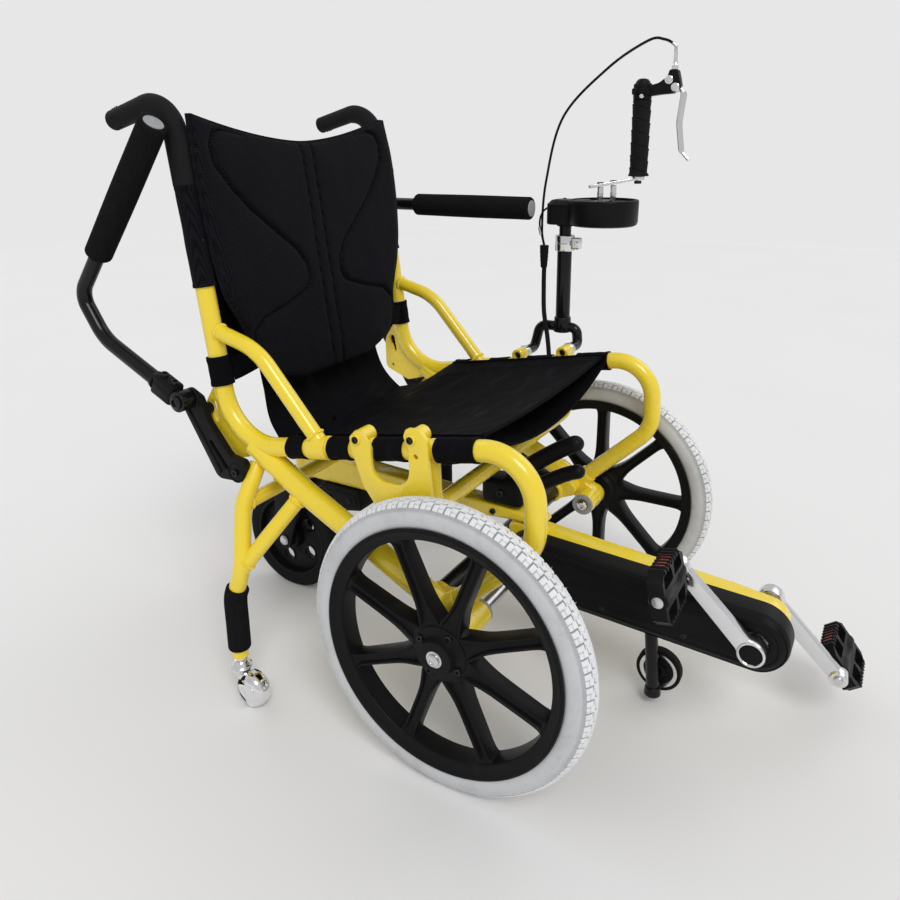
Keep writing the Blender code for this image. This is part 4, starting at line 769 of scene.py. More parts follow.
def plate(outlines, low, high, edge=0.0, segments=3):
    """A flat piece whose outlines are (y, z) points, holes after the first; it spans low to high in X."""
    low, high = sorted((low, high))
    curve = bpy.data.curves.new("plate", "CURVE")
    curve.dimensions = "2D"
    curve.fill_mode = "BOTH"
    curve.extrude = (high - low) / 2
    for outline in outlines:
        line = curve.splines.new("POLY")
        line.points.add(len(outline) - 1)
        for index, place in enumerate(outline):
            line.points[index].co = (*place[:2], 0, 1)
        line.use_cyclic_u = True
    thing = bpy.data.objects.new("plate", curve)
    bpy.context.scene.collection.objects.link(thing)
    mesh = baked(thing)
    bpy.data.objects.remove(thing, do_unlink=True)
    shape = bmesh.new()
    shape.from_mesh(mesh)
    bmesh.ops.remove_doubles(shape, verts=shape.verts, dist=0.00001)
    bmesh.ops.dissolve_limit(shape, angle_limit=radians(0.5), verts=shape.verts, edges=shape.edges)
    if edge:
        sharp = [line for line in shape.edges
                 if len(line.link_faces) == 2 and line.calc_face_angle() > radians(50)]
        bmesh.ops.bevel(shape, geom=sharp, offset=edge, segments=segments, affect="EDGES", profile=0.5,
                        clamp_overlap=True)
    swap = Matrix(((0, 0, 1, (low + high) / 2), (1, 0, 0, 0), (0, 1, 0, 0), (0, 0, 0, 1)))
    bmesh.ops.transform(shape, matrix=swap, verts=shape.verts)
    return shape


def hull_outline(first, first_radius, second, second_radius, step=radians(6)):
    """The outline round two circles of a flat link, as (y, z) points."""
    first, second = Vector(first), Vector(second)
    along = second - first
    lean = acos((first_radius - second_radius) / along.length)
    heading = atan2(along.y, along.x)
    outline = []
    for centre, radius, begin, end in (
            (first, first_radius, heading + lean, heading + 2 * pi - lean),
            (second, second_radius, heading - lean, heading + lean)):
        pieces = max(6, round((end - begin) / step))
        for index in range(pieces + 1):
            outline.append(
                centre + radius * Vector(on_circle((0, 0), 1, begin + (end - begin) * index / pieces)))
    return outline


def circle_outline(centre, radius, count=40):
    """A round outline, as (y, z) points."""
    return [on_circle(centre, radius, angle) for angle in turns(count)]


def baked(thing):
    """A thing's mesh with its modifiers applied to it."""
    bpy.context.view_layer.update()
    return bpy.data.meshes.new_from_object(thing.evaluated_get(bpy.context.evaluated_depsgraph_get()))


def merged(*shapes):
    """Several shapes as one."""
    whole = bmesh.new()
    for shape in shapes:
        mesh = bpy.data.meshes.new("part")
        shape.to_mesh(mesh)
        shape.free()
        whole.from_mesh(mesh)
        bpy.data.meshes.remove(mesh)
    return whole


def mirrored(shape):
    """The shape on the other side of the chair."""
    other = shape.copy()
    bmesh.ops.scale(other, vec=(-1, 1, 1), verts=other.verts)
    bmesh.ops.reverse_faces(other, faces=other.faces)
    return other


def placed(shape, matrix):
    """The shape moved by a matrix."""
    bmesh.ops.transform(shape, matrix=matrix, verts=shape.verts)
    return shape


def spun(shape, place, angle):
    """The shape turned about an X axis through a place."""
    about = Matrix.Translation((0, *place))
    return placed(shape, about @ Matrix.Rotation(angle, 4, "X") @ about.inverted())


def piece(name, shape, finish, body, nodes=(), crease=38):
    """Turn a finished shape into a named piece that rides on a body and stands for its CAD nodes."""
    bmesh.ops.recalc_face_normals(shape, faces=shape.faces)
    bmesh.ops.translate(shape, vec=SHIFT, verts=shape.verts)
    mesh = bpy.data.meshes.new(name)
    shape.to_mesh(mesh)
    shape.free()
    mesh.materials.append(material_of(finish))
    mesh.shade_smooth()
    mesh.set_sharp_from_angle(angle=radians(crease))
    thing = bpy.data.objects.new(name, mesh)
    bpy.context.scene.collection.objects.link(thing)
    if body:
        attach(thing, body)
    if nodes:
        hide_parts(*nodes)
    return thing


def pair(name, shape, finish, body, nodes=(), crease=38):
    """A left-hand shape and its mirror image; a body's name with a leading underscore has two sides."""
    made = []
    for side, form in (("right", mirrored(shape)), ("left", shape)):
        sided = side + body if body.startswith("_") else body
        made.append(
            piece(side + "_" + name, form, finish, sided, [side + "_" + node for node in nodes], crease))
    return made


def weld(place, axis, radius, bead=0.0021, ripples=30):
    """A rippled weld bead round a tube."""
    turned_to = Matrix.Translation(place) @ turn_to(axis)
    rings = []
    for angle in turns(ripples * 5):
        size = bead * (1 + 0.16 * cos(angle * ripples))
        section = [on_circle((radius, 0), size, turn) for turn in turns(8)]
        rings.append(
            [turned_to @ Vector((*on_circle((0, 0), reach, angle), height)) for reach, height in section])
    return loft(rings, closed=True)


def socket_screw(place, axis, radius, height, domed=False):
    """A screw head with a hexagon socket in its face."""
    rim = radius * (0.62 if domed else 0.92)
    profile = [(0, height * 0.35), (radius * 0.48, height * 0.35), (radius * 0.52, height), (rim, height),
               (radius, height * (0.45 if domed else 0.86)), (radius, 0), (0, 0)]
    return lathe(profile, place, axis, 24)


def hex_head(place, axis, radius, height):
    """A hexagon head with a washer face and a chamfered top."""
    washer = lathe([(0, 0.0012), (radius * 1.15, 0.0012), (radius * 1.15, 0), (0, 0)], place, axis, 28)
    head = lathe(
        [(0, height), (radius * 0.86, height), (radius, height * 0.84), (radius, 0.001), (0, 0.001)], place,
        axis, 6)
    return merged(washer, head)


def side_point(y, z, x=SIDE_X):
    """A place in the plane of a side frame."""
    return Vector((x, y, z))


def rail_height(y):
    """The height of a seat rail's centre line."""
    (front_y, front_z), (rear_y, rear_z) = SIDE_PATH[2], SIDE_PATH[3]
    return front_z + (rear_z - front_z) * (y - front_y) / (rear_y - front_y)


def post_depth(z):
    """How far back a back post's centre line is at a height."""
    (low_y, low_z), (top_y, top_z) = SIDE_PATH[3], SIDE_PATH[4]
    return low_y + (top_y - low_y) * (z - low_z) / (top_z - low_z)


def rail_point(y):
    """A place on the left seat rail's centre line."""
    return side_point(y, rail_height(y))


RAIL = (rail_point(0.5) - rail_point(0.0)).normalized()


def pull_point(points, place):
    """The value of a table of (place, value...) rows at a place, smoothly interpolated."""
    rows = [Vector(row[1:]) if len(row) > 2 else row[1] for row in points]
    places = [row[0] for row in points]
    if place <= places[0]:
        return rows[0]
    for index in range(len(places) - 1):
        if place <= places[index + 1]:
            t = (place - places[index]) / (places[index + 1] - places[index])
            before = rows[max(index - 1, 0)]
            after = rows[min(index + 2, len(rows) - 1)]
            a, b, c, d = before, rows[index], rows[index + 1], after
            return 0.5 * (2 * b + (c - a) * t + (2 * a - 5 * b + 4 * c - d) * t ** 2
                          + (3 * b - a - 3 * c + d) * t ** 3)
    return rows[-1]


# Frame


def build_side_frames():
    """The bent side tubes with their lugs and corner plates."""
    route = rounded([side_point(*place) for place in SIDE_PATH], SIDE_BENDS, step=radians(4))
    shapes = [sweep(route, SIDE_TUBE, 36, edge=0.001)]
    for y in LUG_STATIONS:
        rail = rail_point(y)
        z = rail.z + LUG_RISE
        half = RAIL * 0.0145
        shapes.append(rod(rail - half, rail + half, SIDE_TUBE + 0.0014, sides=40, edge=0.001))
        recess = mm(
            (0, -21.5), (6.4, -21.5), (6.8, -26.2), (10, -26.3), (11.2, -25.2), (11.2, -1), (10.4, 0),
            (0, 0))
        shapes.append(lathe(recess, (LUG_OUT, y, z), X_AXIS, 40))
        shapes.append(block((0.229, y - 0.0085, rail.z - 0.001), (0.244, y + 0.0085, z - 0.001), 0.003))
    outline = rounded(
        mm((408, 476.5), (424, 476.5), (445, 445), (444, 386), (392, 366), (345, 380), (345, 392),
        (376, 408)),
        mm(0, 4, 30, 14, 12, 4, 0, 40), closed=True, step=radians(8))
    slot = hull_outline((0.429, 0.447), 0.0068, (0.4235, 0.424), 0.0052, radians(15))
    hole = circle_outline((0.428, 0.392), 0.0032, 20)
    shapes.append(plate([outline, slot, hole], 0.23, 0.24, 0.0012))
    pair("bent_side_tube", merged(*shapes), "yellow_paint", "frame", ["side_tube"])
    strut_route = rounded([side_point(*place) for place in BRACE_PATH], 0.1, step=radians(4))
    foot = rail_point(BRACE_FOOT[0])
    start_way = (strut_route[1] - strut_route[0]).normalized()
    end_way = (strut_route[-2] - strut_route[-1]).normalized()
    brace = merged(
        sweep(strut_route, BRACE_TUBE, 30),
        rod(foot - RAIL * 0.017, foot + RAIL * 0.017, SIDE_TUBE + 0.0028, sides=40, edge=0.0012),
        weld(strut_route[0] + start_way * 0.015, start_way, BRACE_TUBE, 0.0024),
        weld(strut_route[-1] + end_way * 0.0165, end_way, BRACE_TUBE, 0.0022))
    pair("curved_brace", brace, "yellow_paint", "frame", ["brace_tube"])


def build_lower_frame():
    """The lower tubes, axle lugs, caster legs and cross tubes."""
    main_route = rounded([side_point(*place) for place in MAIN_PATH], 0.12, step=radians(4))
    crotch = (0.03, 0.2222)
    leg_end = side_point(*SIDE_PATH[0])
    leg_way = (side_point(*SIDE_PATH[1]) - leg_end).normalized()
    main_end = side_point(*MAIN_PATH[2])
    main_way = (side_point(*MAIN_PATH[1]) - main_end).normalized()
    shapes = [
        sweep(main_route, MAIN_TUBE, 40),
        plate([hull_outline((0, AXLE_Z), 0.0195, crotch, 0.0175)], 0.2215, 0.2485, 0.0035, 4),
        rod((0.192, 0, AXLE_Z), (0.25, 0, AXLE_Z), 0.019, sides=48, edge=0.0015),
        rod(side_point(*crotch), leg_end + leg_way * 0.001, 0.0158, sides=40, edge=0.001),
        rod(side_point(*crotch), main_end + main_way * 0.004, 0.0184, sides=40, edge=0.001),
        plate([hull_outline(crotch, 0.013, AXLE_TUBE_AT, 0.0165)], 0.196, 0.228, 0.003, 4),
        rod((0.19, *AXLE_TUBE_AT), (0.218, *AXLE_TUBE_AT), 0.0192, sides=48, edge=0.0015),
        weld(leg_end + leg_way * 0.0015, leg_way, SIDE_TUBE, 0.0018),
        weld(main_end + main_way * 0.0045, main_way, MAIN_TUBE, 0.0018)]
    pair("lower_tube", merged(*shapes), "yellow_paint", "frame", ["main_tube"])
    leg_route = rounded(OUTRIGGER_PATH, mm(50, 50, 30), step=radians(4))
    stay_start, stay_end = (Vector(end) for end in DIAGONAL_ENDS)
    stay_way = (stay_end - stay_start).normalized()
    leg = merged(
        sweep(leg_route, OUTRIGGER_TUBE, 32, edge=0.0008), rod(stay_start, stay_end, DIAGONAL_TUBE),
        weld(stay_start + stay_way * 0.0185, stay_way, DIAGONAL_TUBE),
        weld(stay_end - stay_way * 0.015, stay_way, DIAGONAL_TUBE))
    pair("caster_leg", leg, "yellow_paint", "frame", ["outrigger"])
    rail = rail_height(CROSS_Y)
    half = [(0.233, CROSS_Y - 0.002, rail - 0.002), (0.224, CROSS_Y, CROSS_Z)]
    route = [(-x, y, z) for x, y, z in half] + half[::-1]
    front = [sweep(rounded(route, 0.03, step=radians(5)), 0.012, 30)]
    rear = [rod((-0.268, *REAR_CROSS), (0.268, *REAR_CROSS), 0.011)]
    for side in (-1, 1):
        front.append(weld((side * 0.2318, CROSS_Y - 0.0015, rail - 0.015), (side * 0.15, 0, 1), 0.012))
        front.append(
            lathe(mm((11.9, -0.6), (12.4, 0), (11.9, 0.6)), (side * 0.15, CROSS_Y, CROSS_Z), X_AXIS, 32))
        rear.append(weld((side * 0.2575, *REAR_CROSS), X_AXIS, 0.011))
    piece("front_cross_bar", merged(*front), "yellow_paint", "frame", ["front_cross_tube"])
    piece("rear_cross_bar", merged(*rear), "yellow_paint", "frame", ["rear_cross_tube"])
    piece("lower_cross_bar", rod((-0.207, *AXLE_TUBE_AT), (0.207, *AXLE_TUBE_AT), AXLE_TUBE, sides=40),
          "black_paint", "frame", ["axle_cross_tube"])


def build_lug_plate():
    """The U-shaped plate on the right seat rail, with its two bolts."""
    outline = rounded(
        mm((50, 479), (38.5, 466), (37.5, 438), (33.5, 396), (34.5, 344), (72, 333), (108, 344), (140, 385),
        (158.5, 435), (160, 450), (150, 460), (137, 457), (126.2, 440), (125.6, 397.2), (66.5, 397.2),
        (66.8, 450), (74.5, 466), (70, 478)),
        mm(12, 10, 20, 30, 10, 30, 20, 30, 20, 6, 6, 6, 12, 22, 22, 12, 7, 7), closed=True, step=radians(8))
    hole = circle_outline((0.0565, 0.442), 0.0036, 24)
    shapes = [plate([outline, hole], -0.2563, -0.2511, 0.0012)]
    screws = []
    for y in LUG_STATIONS:
        z = rail_height(y) + LUG_RISE
        shapes.append(rod((-0.255, y, z), (-0.259, y, z), 0.0078, 0.007, edge=0.0008))
        screws.append(socket_screw((-0.2588, y, z), (-1, 0, 0), 0.005, 0.0022, domed=True))
    piece("seat_lug_plate", merged(*shapes), "yellow_paint", "frame", ["lug_plate"])
    piece("lug_plate_screws", merged(*screws), "black_oxide", "frame")


def build_boom_and_spine():
    """The boom ahead of the axle and the spine beam with its steering head."""
    outline = rounded(
        mm((44, 190), (44, 254), (-20, 247), (-107, 239.5), (-290, 226), (-366, 216), (-372, 156),
        (-290, 150), (-20, 166)),
        mm(4, 12, 0, 0, 0, 30, 28, 0, 0), closed=True, step=radians(6))
    shell = mm(
        (18, -22.5), (20.5, -21.8), (20.5, -14), (19.5, -13.5), (19.5, 13.5), (20.5, 14), (20.5, 21.8),
        (18, 22.5), (12.5, 22.5), (12.5, -22.5))
    middle = sum(BOOM_X) / 2
    boom = merged(plate([outline], *BOOM_X, 0.004, 4), lathe(shell, (middle, *CRANK_AT), X_AXIS, 56))
    piece("boom", boom, "yellow_paint", "frame", ["front_boom"])
    cups = []
    for side in (-1, 1):
        face = middle + side * 0.0225
        cups.append(
            lathe(
                mm((11.8, 4.5), (15, 5.5), (17.2, 5), (18, 2), (18, -4), (11.8, -4)), (face, *CRANK_AT),
                (side, 0, 0), 48))
    piece("crank_bearing_cups", merged(*cups), "black_oxide", "frame")
    outline = rounded(
        mm((-15, 254.5), (44, 254.5), (200, 240), (459, 238), (459, 290), (220, 280), (30, 272),
        (-15, 264)),
        mm(0, 0, 200, 0, 0, 300, 100, 0), closed=True)
    head = band(0.021, 0.0128, 0.034, -0.034, 0.0012)
    spine = merged(
        plate([outline], -SPINE_HALF, SPINE_HALF, 0.005, 4), lathe(head, (0, HEAD_Y, 0.266), Z_AXIS, 56),
        weld((0, HEAD_Y - 0.0005, 0.2915), Z_AXIS, 0.0208, 0.0014, 36))
    piece("spine", spine, "yellow_paint", "frame", ["spine_beam"])
    outline = rounded(
        mm((414, 199), (410, 237), (330, 237.5), (320, 204), (360, 196)), mm(8, 3, 3, 8, 20), closed=True)
    inset = rounded(mm((405, 205), (402, 230), (336, 230), (329, 208), (360, 203)), 0.005, closed=True)
    guard = merged(plate([outline], -0.028, 0.028, 0.004, 4), plate([inset], -0.0292, 0.0292, 0.001))
    piece("spine_wedge_guard", guard, "black_plastic", "frame", ["spine_guard"])
    screws = [socket_screw((side * (SPINE_HALF + 0.0005), y, z), (side, 0, 0), 0.0048, 0.003)
              for side in (-1, 1) for y, z in ((0.2844, 0.2604), (0.07, 0.263))]
    screws += [socket_screw((side * 0.029, y, 0.218), (side, 0, 0), 0.004, 0.0022)
               for side in (-1, 1) for y in (0.348, 0.392)]
    piece("spine_screws", merged(*screws), "black_oxide", "frame")


# Drive wheels


def tread_cut(turn, across, sizes):
    """How far the tyre's surface is cut in at a share of a block's pitch and a distance from the middle."""
    reach = abs(across)
    phase = (turn + (0.5 if across > 0 else 0.0)) % 1.0
    zigzag = 0.007 + 0.0013 * (1 if phase < 0.5 else -1)
    deep = sizes.tread_depth
    if reach > 0.0187:
        return deep * 0.75
    if abs(reach - zigzag) < 0.0007:
        return deep * 0.9
    if reach > zigzag:
        if phase < 0.08 or phase > 0.97:
            return deep
        if 0.47 < phase < 0.56 and reach > 0.0105:
            return deep * 0.55
        if abs(reach - 0.0132) < 0.0006 and phase > 0.5:
            return deep * 0.45
        return deep * 0.12 * max(0.0, reach - 0.015) / 0.004
    lean = (phase + reach * 40) % 1.0
    if lean < 0.09:
        return deep * 0.9
    if abs(lean - 0.5) < 0.05 and reach > 0.002:
        return deep * 0.45
    return 0.0


def tyre_shape(sizes):
    """The tyre about the X axis, with blocks, ribs and vent nibs."""
    middle = TYRE_RADIUS - TYRE_SECTION
    steps = sizes.tread_blocks * 10
    inner = [0.0013 * index for index in range(15)]
    outer = [
        0.0191, 0.0197, 0.0203, 0.0209, 0.0215, 0.0221, 0.0227, 0.0233, 0.0239, 0.0245, 0.0255, 0.0285,
        0.0325, 0.0375, 0.043, 0.05, 0.057, 0.064]
    ribs = {0.0197: 0.00045, 0.0209: 0.00045, 0.0221: 0.00045, 0.0233: 0.00045}
    right = inner + outer
    arcs = [-arc for arc in reversed(right[1:])] + right
    rings = []
    for step in range(steps):
        turn = 2 * pi * step / steps
        ring = []
        for arc in arcs:
            cut = tread_cut(step / 10 % 1.0, arc, sizes) - ribs.get(abs(arc), 0.0)
            section = TYRE_SECTION - cut
            angle = arc / TYRE_SECTION
            radius = middle + section * cos(angle)
            ring.append(Vector((section * sin(angle), radius * cos(turn), radius * sin(turn))))
        rings.append(ring)
    shapes = [loft(rings, closed=True)]
    scatter = random.Random(11)
    for side in (-1, 1):
        for count, arc, length, thick in ((30, 0.033, 0.0012, 0.00035), (54, 0.0184, 0.0026, 0.00028)):
            for index in range(count):
                turn = 2 * pi * (index + scatter.uniform(-0.2, 0.2)) / count
                angle = side * arc / TYRE_SECTION
                out = Vector((sin(angle), cos(angle) * cos(turn), cos(angle) * sin(turn)))
                core = Vector((0, middle * cos(turn), middle * sin(turn)))
                start = core + out * (TYRE_SECTION - 0.0018)
                reach = length * scatter.uniform(0.5, 1.0) + 0.0018
                shapes.append(sweep([start, start + out * reach], thick, 5))
    return merged(*shapes)


def spoke_shape(turn, sizes):
    """One moulded spoke, a channel on both faces that flares into the hub and the rim."""
    rings = []
    for step in range(33):
        radius = 0.027 + (0.1545 - 0.027) * step / 32
        share = (radius - 0.031) / (0.1545 - 0.031)
        half = 0.0084 + 0.0078 * exp(-((radius - 0.03) / 0.027) ** 2)
        half += 0.005 * exp(-(0.1545 - radius) / 0.0045)
        deep = 0.0138 - 0.002 * share + 0.0016 * exp(-(0.1545 - radius) / 0.004)
        lip = 0.0036
        fade = min(1.0, max(0.0, (radius - 0.036) / 0.01)) * min(1.0, max(0.0, (0.151 - radius) / 0.006))
        cut = sizes.spoke_channel * fade + 0.0002
        quarter = [
            (half, 0.0), (half, deep - 0.0016), (half - 0.0005, deep - 0.0005), (half - 0.0014, deep),
            (half - lip + 0.0008, deep), (half - lip, deep - 0.0008), (half - lip - 0.0012, deep - cut),
            (0.0, deep - cut - 0.0003)]
        top = quarter + [(-across, depth) for across, depth in reversed(quarter[:-1])]
        outline = top + [(across, -depth) for across, depth in reversed(top[1:-1])]
        rings.append([Vector((depth, across, radius)) for across, depth in outline])
    return spun(loft(rings), (0, 0), turn)


def wheel_shape(sizes):
    """The moulded wheel about the X axis with its outer side at +X."""
    middle = TYRE_RADIUS - TYRE_SECTION
    bed = [(middle - (TYRE_SECTION + 0.0002) * cos(a), (TYRE_SECTION + 0.0002) * sin(a))
           for a in (radians(62 - 124 * index / 16) for index in range(17))]
    side = mm(
        (171.2, 21.2), (169.8, 22.2), (168.2, 22.1), (167.2, 21), (165, 19.2), (160, 17.2), (156.2, 16.2),
        (154.2, 15.6), (153.2, 14.6), (152.8, 13))
    profile = bed + [(radius, -height) for radius, height in side] + [(0.1522, 0.0)] + side[::-1]
    hub = [
        (0, HUB_OUT), (0.0215, HUB_OUT), (0.023, HUB_OUT - 0.0012), (0.0243, 0.0205), (0.0262, 0.0168),
        (0.03, 0.0156), (0.0366, 0.0154), (0.0376, 0.0144), (0.038, 0.012), (0.0372, 0.01), (0.0372, -0.01),
        (0.038, -0.013), (0.0366, -0.0146), (0.03, -0.015), (0.0245, -0.02), (0.023, -0.0262), (0, -0.0262)]
    shapes = [lathe(profile, (0, 0, 0), X_AXIS, 160), lathe(hub, (0, 0, 0), X_AXIS, 72)]
    shapes += [spoke_shape(turn, sizes) for turn in turns(SPOKE_COUNT)]
    for index in range(SPOKE_COUNT):
        web = []
        for share in (step / 8 for step in range(9)):
            deep = 0.0128 * (1 - share ** 2 * 0.75)
            half = 0.0075 * (1 - share * 0.35)
            web.append([Vector((depth, across, 0.035 + 0.0115 * share)) for across, depth in
                        ((-half, -deep), (half, -deep), (half, deep), (-half, deep))])
        shapes.append(spun(loft(web), (0, 0), 2 * pi * (index + 0.5) / SPOKE_COUNT))
    return merged(*shapes)


def build_tyres(sizes):
    """Both grey tyres."""
    shape = placed(tyre_shape(sizes), Matrix.Translation((WHEEL_X, 0, AXLE_Z)))
    pair("block_tyre", shape, "grey_tyre", "_drive", ["tyre"], 30)


def build_wheels(sizes):
    """Both moulded wheels with their hub screws."""
    wheel = placed(wheel_shape(sizes), Matrix.Translation((WHEEL_X, 0, AXLE_Z)))
    turned = spun(mirrored(wheel), (0, AXLE_Z), SPOKE_TURN)
    piece("right_moulded_wheel", turned, "black_plastic", "right_drive", ["right_wheel"], 32)
    piece("left_moulded_wheel", wheel, "black_plastic", "left_drive", ["left_wheel"], 32)
    screws = []
    for turn in turns(4):
        place = (WHEEL_X + 0.0154, *on_circle((0, AXLE_Z), 0.0312, radians(28) + turn))
        screws.append(socket_screw(place, X_AXIS, 0.0046, 0.0034))
    pair("hub_screws", merged(*screws), "black_oxide", "_drive")


def build_axles():
    """The driven axle with its sprocket and the fixed stub of the left wheel."""
    at = (0, AXLE_Z)
    outer = WHEEL_X + HUB_OUT
    nose = mm(
        (0, 4.6), (3.6, 4.6), (4, 6.2), (6.2, 6), (8.4, 4.2), (8.6, 1.4), (11.2, 1), (11.2, 0), (0, 0))
    shaft = merged(
        rod((-outer, *at), (-0.0185, *at), AXLE_RADIUS, sides=40),
        lathe(nose, (-outer - 0.0003, *at), (-1, 0, 0), 36), sprocket_shape(at),
        rod((SPROCKET_X - 0.006, *at), (SPROCKET_X + 0.006, *at), 0.016))
    piece("driven_axle", shaft, "steel", "right_drive", ["drive_axle"])
    washer = band(0.0185, 0.011, 0.005, 0, 0.001)
    ring = lathe(washer, (-0.1917, *at), X_AXIS, 48)
    piece("driven_axle_washer", ring, "grey_cap", "right_drive")
    stub = merged(
        rod((0.185, *at), (outer, *at), AXLE_RADIUS, sides=40),
        lathe(nose, (outer + 0.0003, *at), X_AXIS, 36),
        socket_screw((0.1872, *at), (-1, 0, 0), 0.0092, 0.005, domed=True))
    piece("stub_axle", stub, "chrome_plate", "frame", ["left_axle"])
    piece("stub_axle_washer", lathe(washer, (0.1867, *at), X_AXIS, 48), "grey_cap", "frame")


# Drive unit


def sprocket_shape(centre):
    """A toothed wheel that runs inside the chain."""
    pitch_radius = SPROCKET_PITCH / (2 * sin(pi / SPROCKET_TEETH))
    tip = pitch_radius - 0.0048
    outline = []
    for tooth in range(SPROCKET_TEETH):
        for share, cut in (
                (0.0, 0.0), (0.18, 0.0004), (0.34, 0.003), (0.5, 0.0042), (0.66, 0.003), (0.82, 0.0004)):
            outline.append(on_circle(centre, tip - cut, 2 * pi * (tooth + share) / SPROCKET_TEETH))
    holes = [circle_outline(on_circle(centre, 0.0175, turn), 0.003, 14) for turn in turns(5)]
    return plate([outline, *holes], SPROCKET_X - 0.0015, SPROCKET_X + 0.0015, 0.0003, 1)


def chain_place(distance, radius):
    """The point and heading at a distance along the chain's loop."""
    front, rear = Vector(CRANK_AT), Vector((0, AXLE_Z))
    along = (rear - front).normalized()
    span = (rear - front).length
    up = Vector((-along.y, along.x))
    loop = 2 * span + 2 * pi * radius
    distance %= loop
    if distance < span:
        return front + along * distance + up * radius, atan2(along.y, along.x)
    distance -= span
    if distance < pi * radius:
        turn = distance / radius
        spot = rear + radius * (up * cos(turn) + along * sin(turn))
        return spot, atan2(along.y, along.x) - turn
    distance -= pi * radius
    if distance < span:
        return rear - along * distance - up * radius, atan2(-along.y, -along.x)
    turn = (distance - span) / radius
    spot = front - radius * (up * cos(turn) + along * sin(turn))
    return spot, atan2(-along.y, -along.x) - turn


def build_chain(sizes):
    """The roller chain, link by link."""
    radius = SPROCKET_PITCH / (2 * sin(pi / SPROCKET_TEETH))
    span = (Vector(CRANK_AT) - Vector((0, AXLE_Z))).length
    pitch = (2 * span + 2 * pi * radius) / sizes.chain_links
    shapes = []
    for link in range(sizes.chain_links):
        first = chain_place(link * pitch, radius)[0]
        second = chain_place((link + 1) * pitch, radius)[0]
        out = 0.003 if link % 2 else 0.0021
        outline = waisted(first, second, 0.0036, 0.0024)
        for side in (-1, 1):
            faces = sorted((SPROCKET_X + side * out, SPROCKET_X + side * (out + 0.0008)))
            shapes.append(loft([[Vector((x, *point)) for point in outline] for x in faces]))
        for half, thick, sides in ((0.0041, 0.0017, 10), (0.002, 0.0033, 12)):
            shapes.append(sweep([(SPROCKET_X - half, *first), (SPROCKET_X + half, *first)], thick, sides))
    piece("roller_chain", merged(*shapes), "steel", "frame", ["drive_chain"])


def waisted(first, second, end_radius, waist, count=9):
    """The outline of a link plate that narrows between its two ends."""
    along = second - first
    heading = atan2(along.y, along.x)
    outline = []
    for centre, facing in ((first, heading + pi), (second, heading)):
        for index in range(count):
            angle = facing - radians(100) + radians(200) * index / (count - 1)
            outline.append(centre + end_radius * Vector((cos(angle), sin(angle))))
        side = Vector((-sin(facing), cos(facing)))
        outline.append((first + second) / 2 + side * waist)
    return outline


def build_chain_case():
    """The black chain case with its broad rounded edge and raised border."""
    front, rear = CRANK_AT, (0, AXLE_Z)

    def border(inset):
        return hull_outline(front, CASE_HALF - inset, rear, CASE_HALF - inset)

    rings = []
    for inset, x in (
            (0.0, -0.0165), (0.0, -0.0438), (0.0006, -0.047), (0.0022, -0.0502), (0.005, -0.0532),
            (0.0082, -0.0554), (0.0104, -0.0565), (0.012, -0.057), (0.0132, -0.0568), (0.0138, -0.056),
            (0.0146, -0.0557)):
        rings.append([Vector((x, *point)) for point in border(inset)])
    wall = [[Vector((x, *point)) for point in border(0.003)] for x in (-0.0165, -0.053)]
    shell = merged(loft(rings, caps=False), loft(wall, caps=False))
    holes = [circle_outline(front, 0.0185, 48), circle_outline(rear, 0.0125, 40)]
    face = plate([border(0.014), *holes], -0.0562, -0.0535, 0.0004, 2)
    lip = plate([border(0), border(0.003)], -0.018, -0.0165, 0.0003, 1)
    collar = lathe(
        mm((18.5, 0.5), (20, 1.2), (22.2, 0.8), (22.8, -1), (18.5, -3)), (-0.056, *front), (-1, 0, 0), 56)
    piece("chain_cover", merged(shell, face, lip, collar), "black_plastic", "frame", ["chain_case"])
    screws = []
    for share in (0.27, 0.62):
        spot = Vector(front).lerp(Vector(rear), share) + Vector((0, -0.022))
        screws.append(socket_screw((-0.0562, *spot), (-1, 0, 0), 0.0038, 0.0016, domed=True))
    piece("chain_cover_screws", merged(*screws), "black_oxide", "frame")


def crank_outline(hub, tip):
    """The outline of a crank arm: round at both ends, with a slim waist."""
    hub, tip = Vector(hub), Vector(tip)
    along = (tip - hub).normalized()
    side = Vector((-along.y, along.x))
    length = (tip - hub).length
    hub_radius, tip_radius = 0.0172, 0.0122
    upper = []
    for index in range(81):
        turn = pi * index / 80
        place = -hub_radius + (length + hub_radius + tip_radius) * (1 - cos(turn)) / 2
        round_hub = sqrt(max(0.0, hub_radius ** 2 - place ** 2))
        round_tip = sqrt(max(0.0, tip_radius ** 2 - (place - length) ** 2))
        arm = 0.0126 - 0.0026 * place / length if 0 < place < length else 0.0
        taper = (round_hub ** 5 + round_tip ** 5 + arm ** 5) ** 0.2
        upper.append((place, taper))
    points = [hub + along * place + side * half for place, half in upper]
    points += [hub + along * place - side * half for place, half in reversed(upper[1:-1])]
    return points


def crank_sides():
    """Each crank's side, name and the place of its end."""
    return [(side, name, on_circle(CRANK_AT, CRANK_LENGTH, turn))
            for side, name, turn in ((-1, "right", CRANK_TURN), (1, "left", CRANK_TURN + pi))]


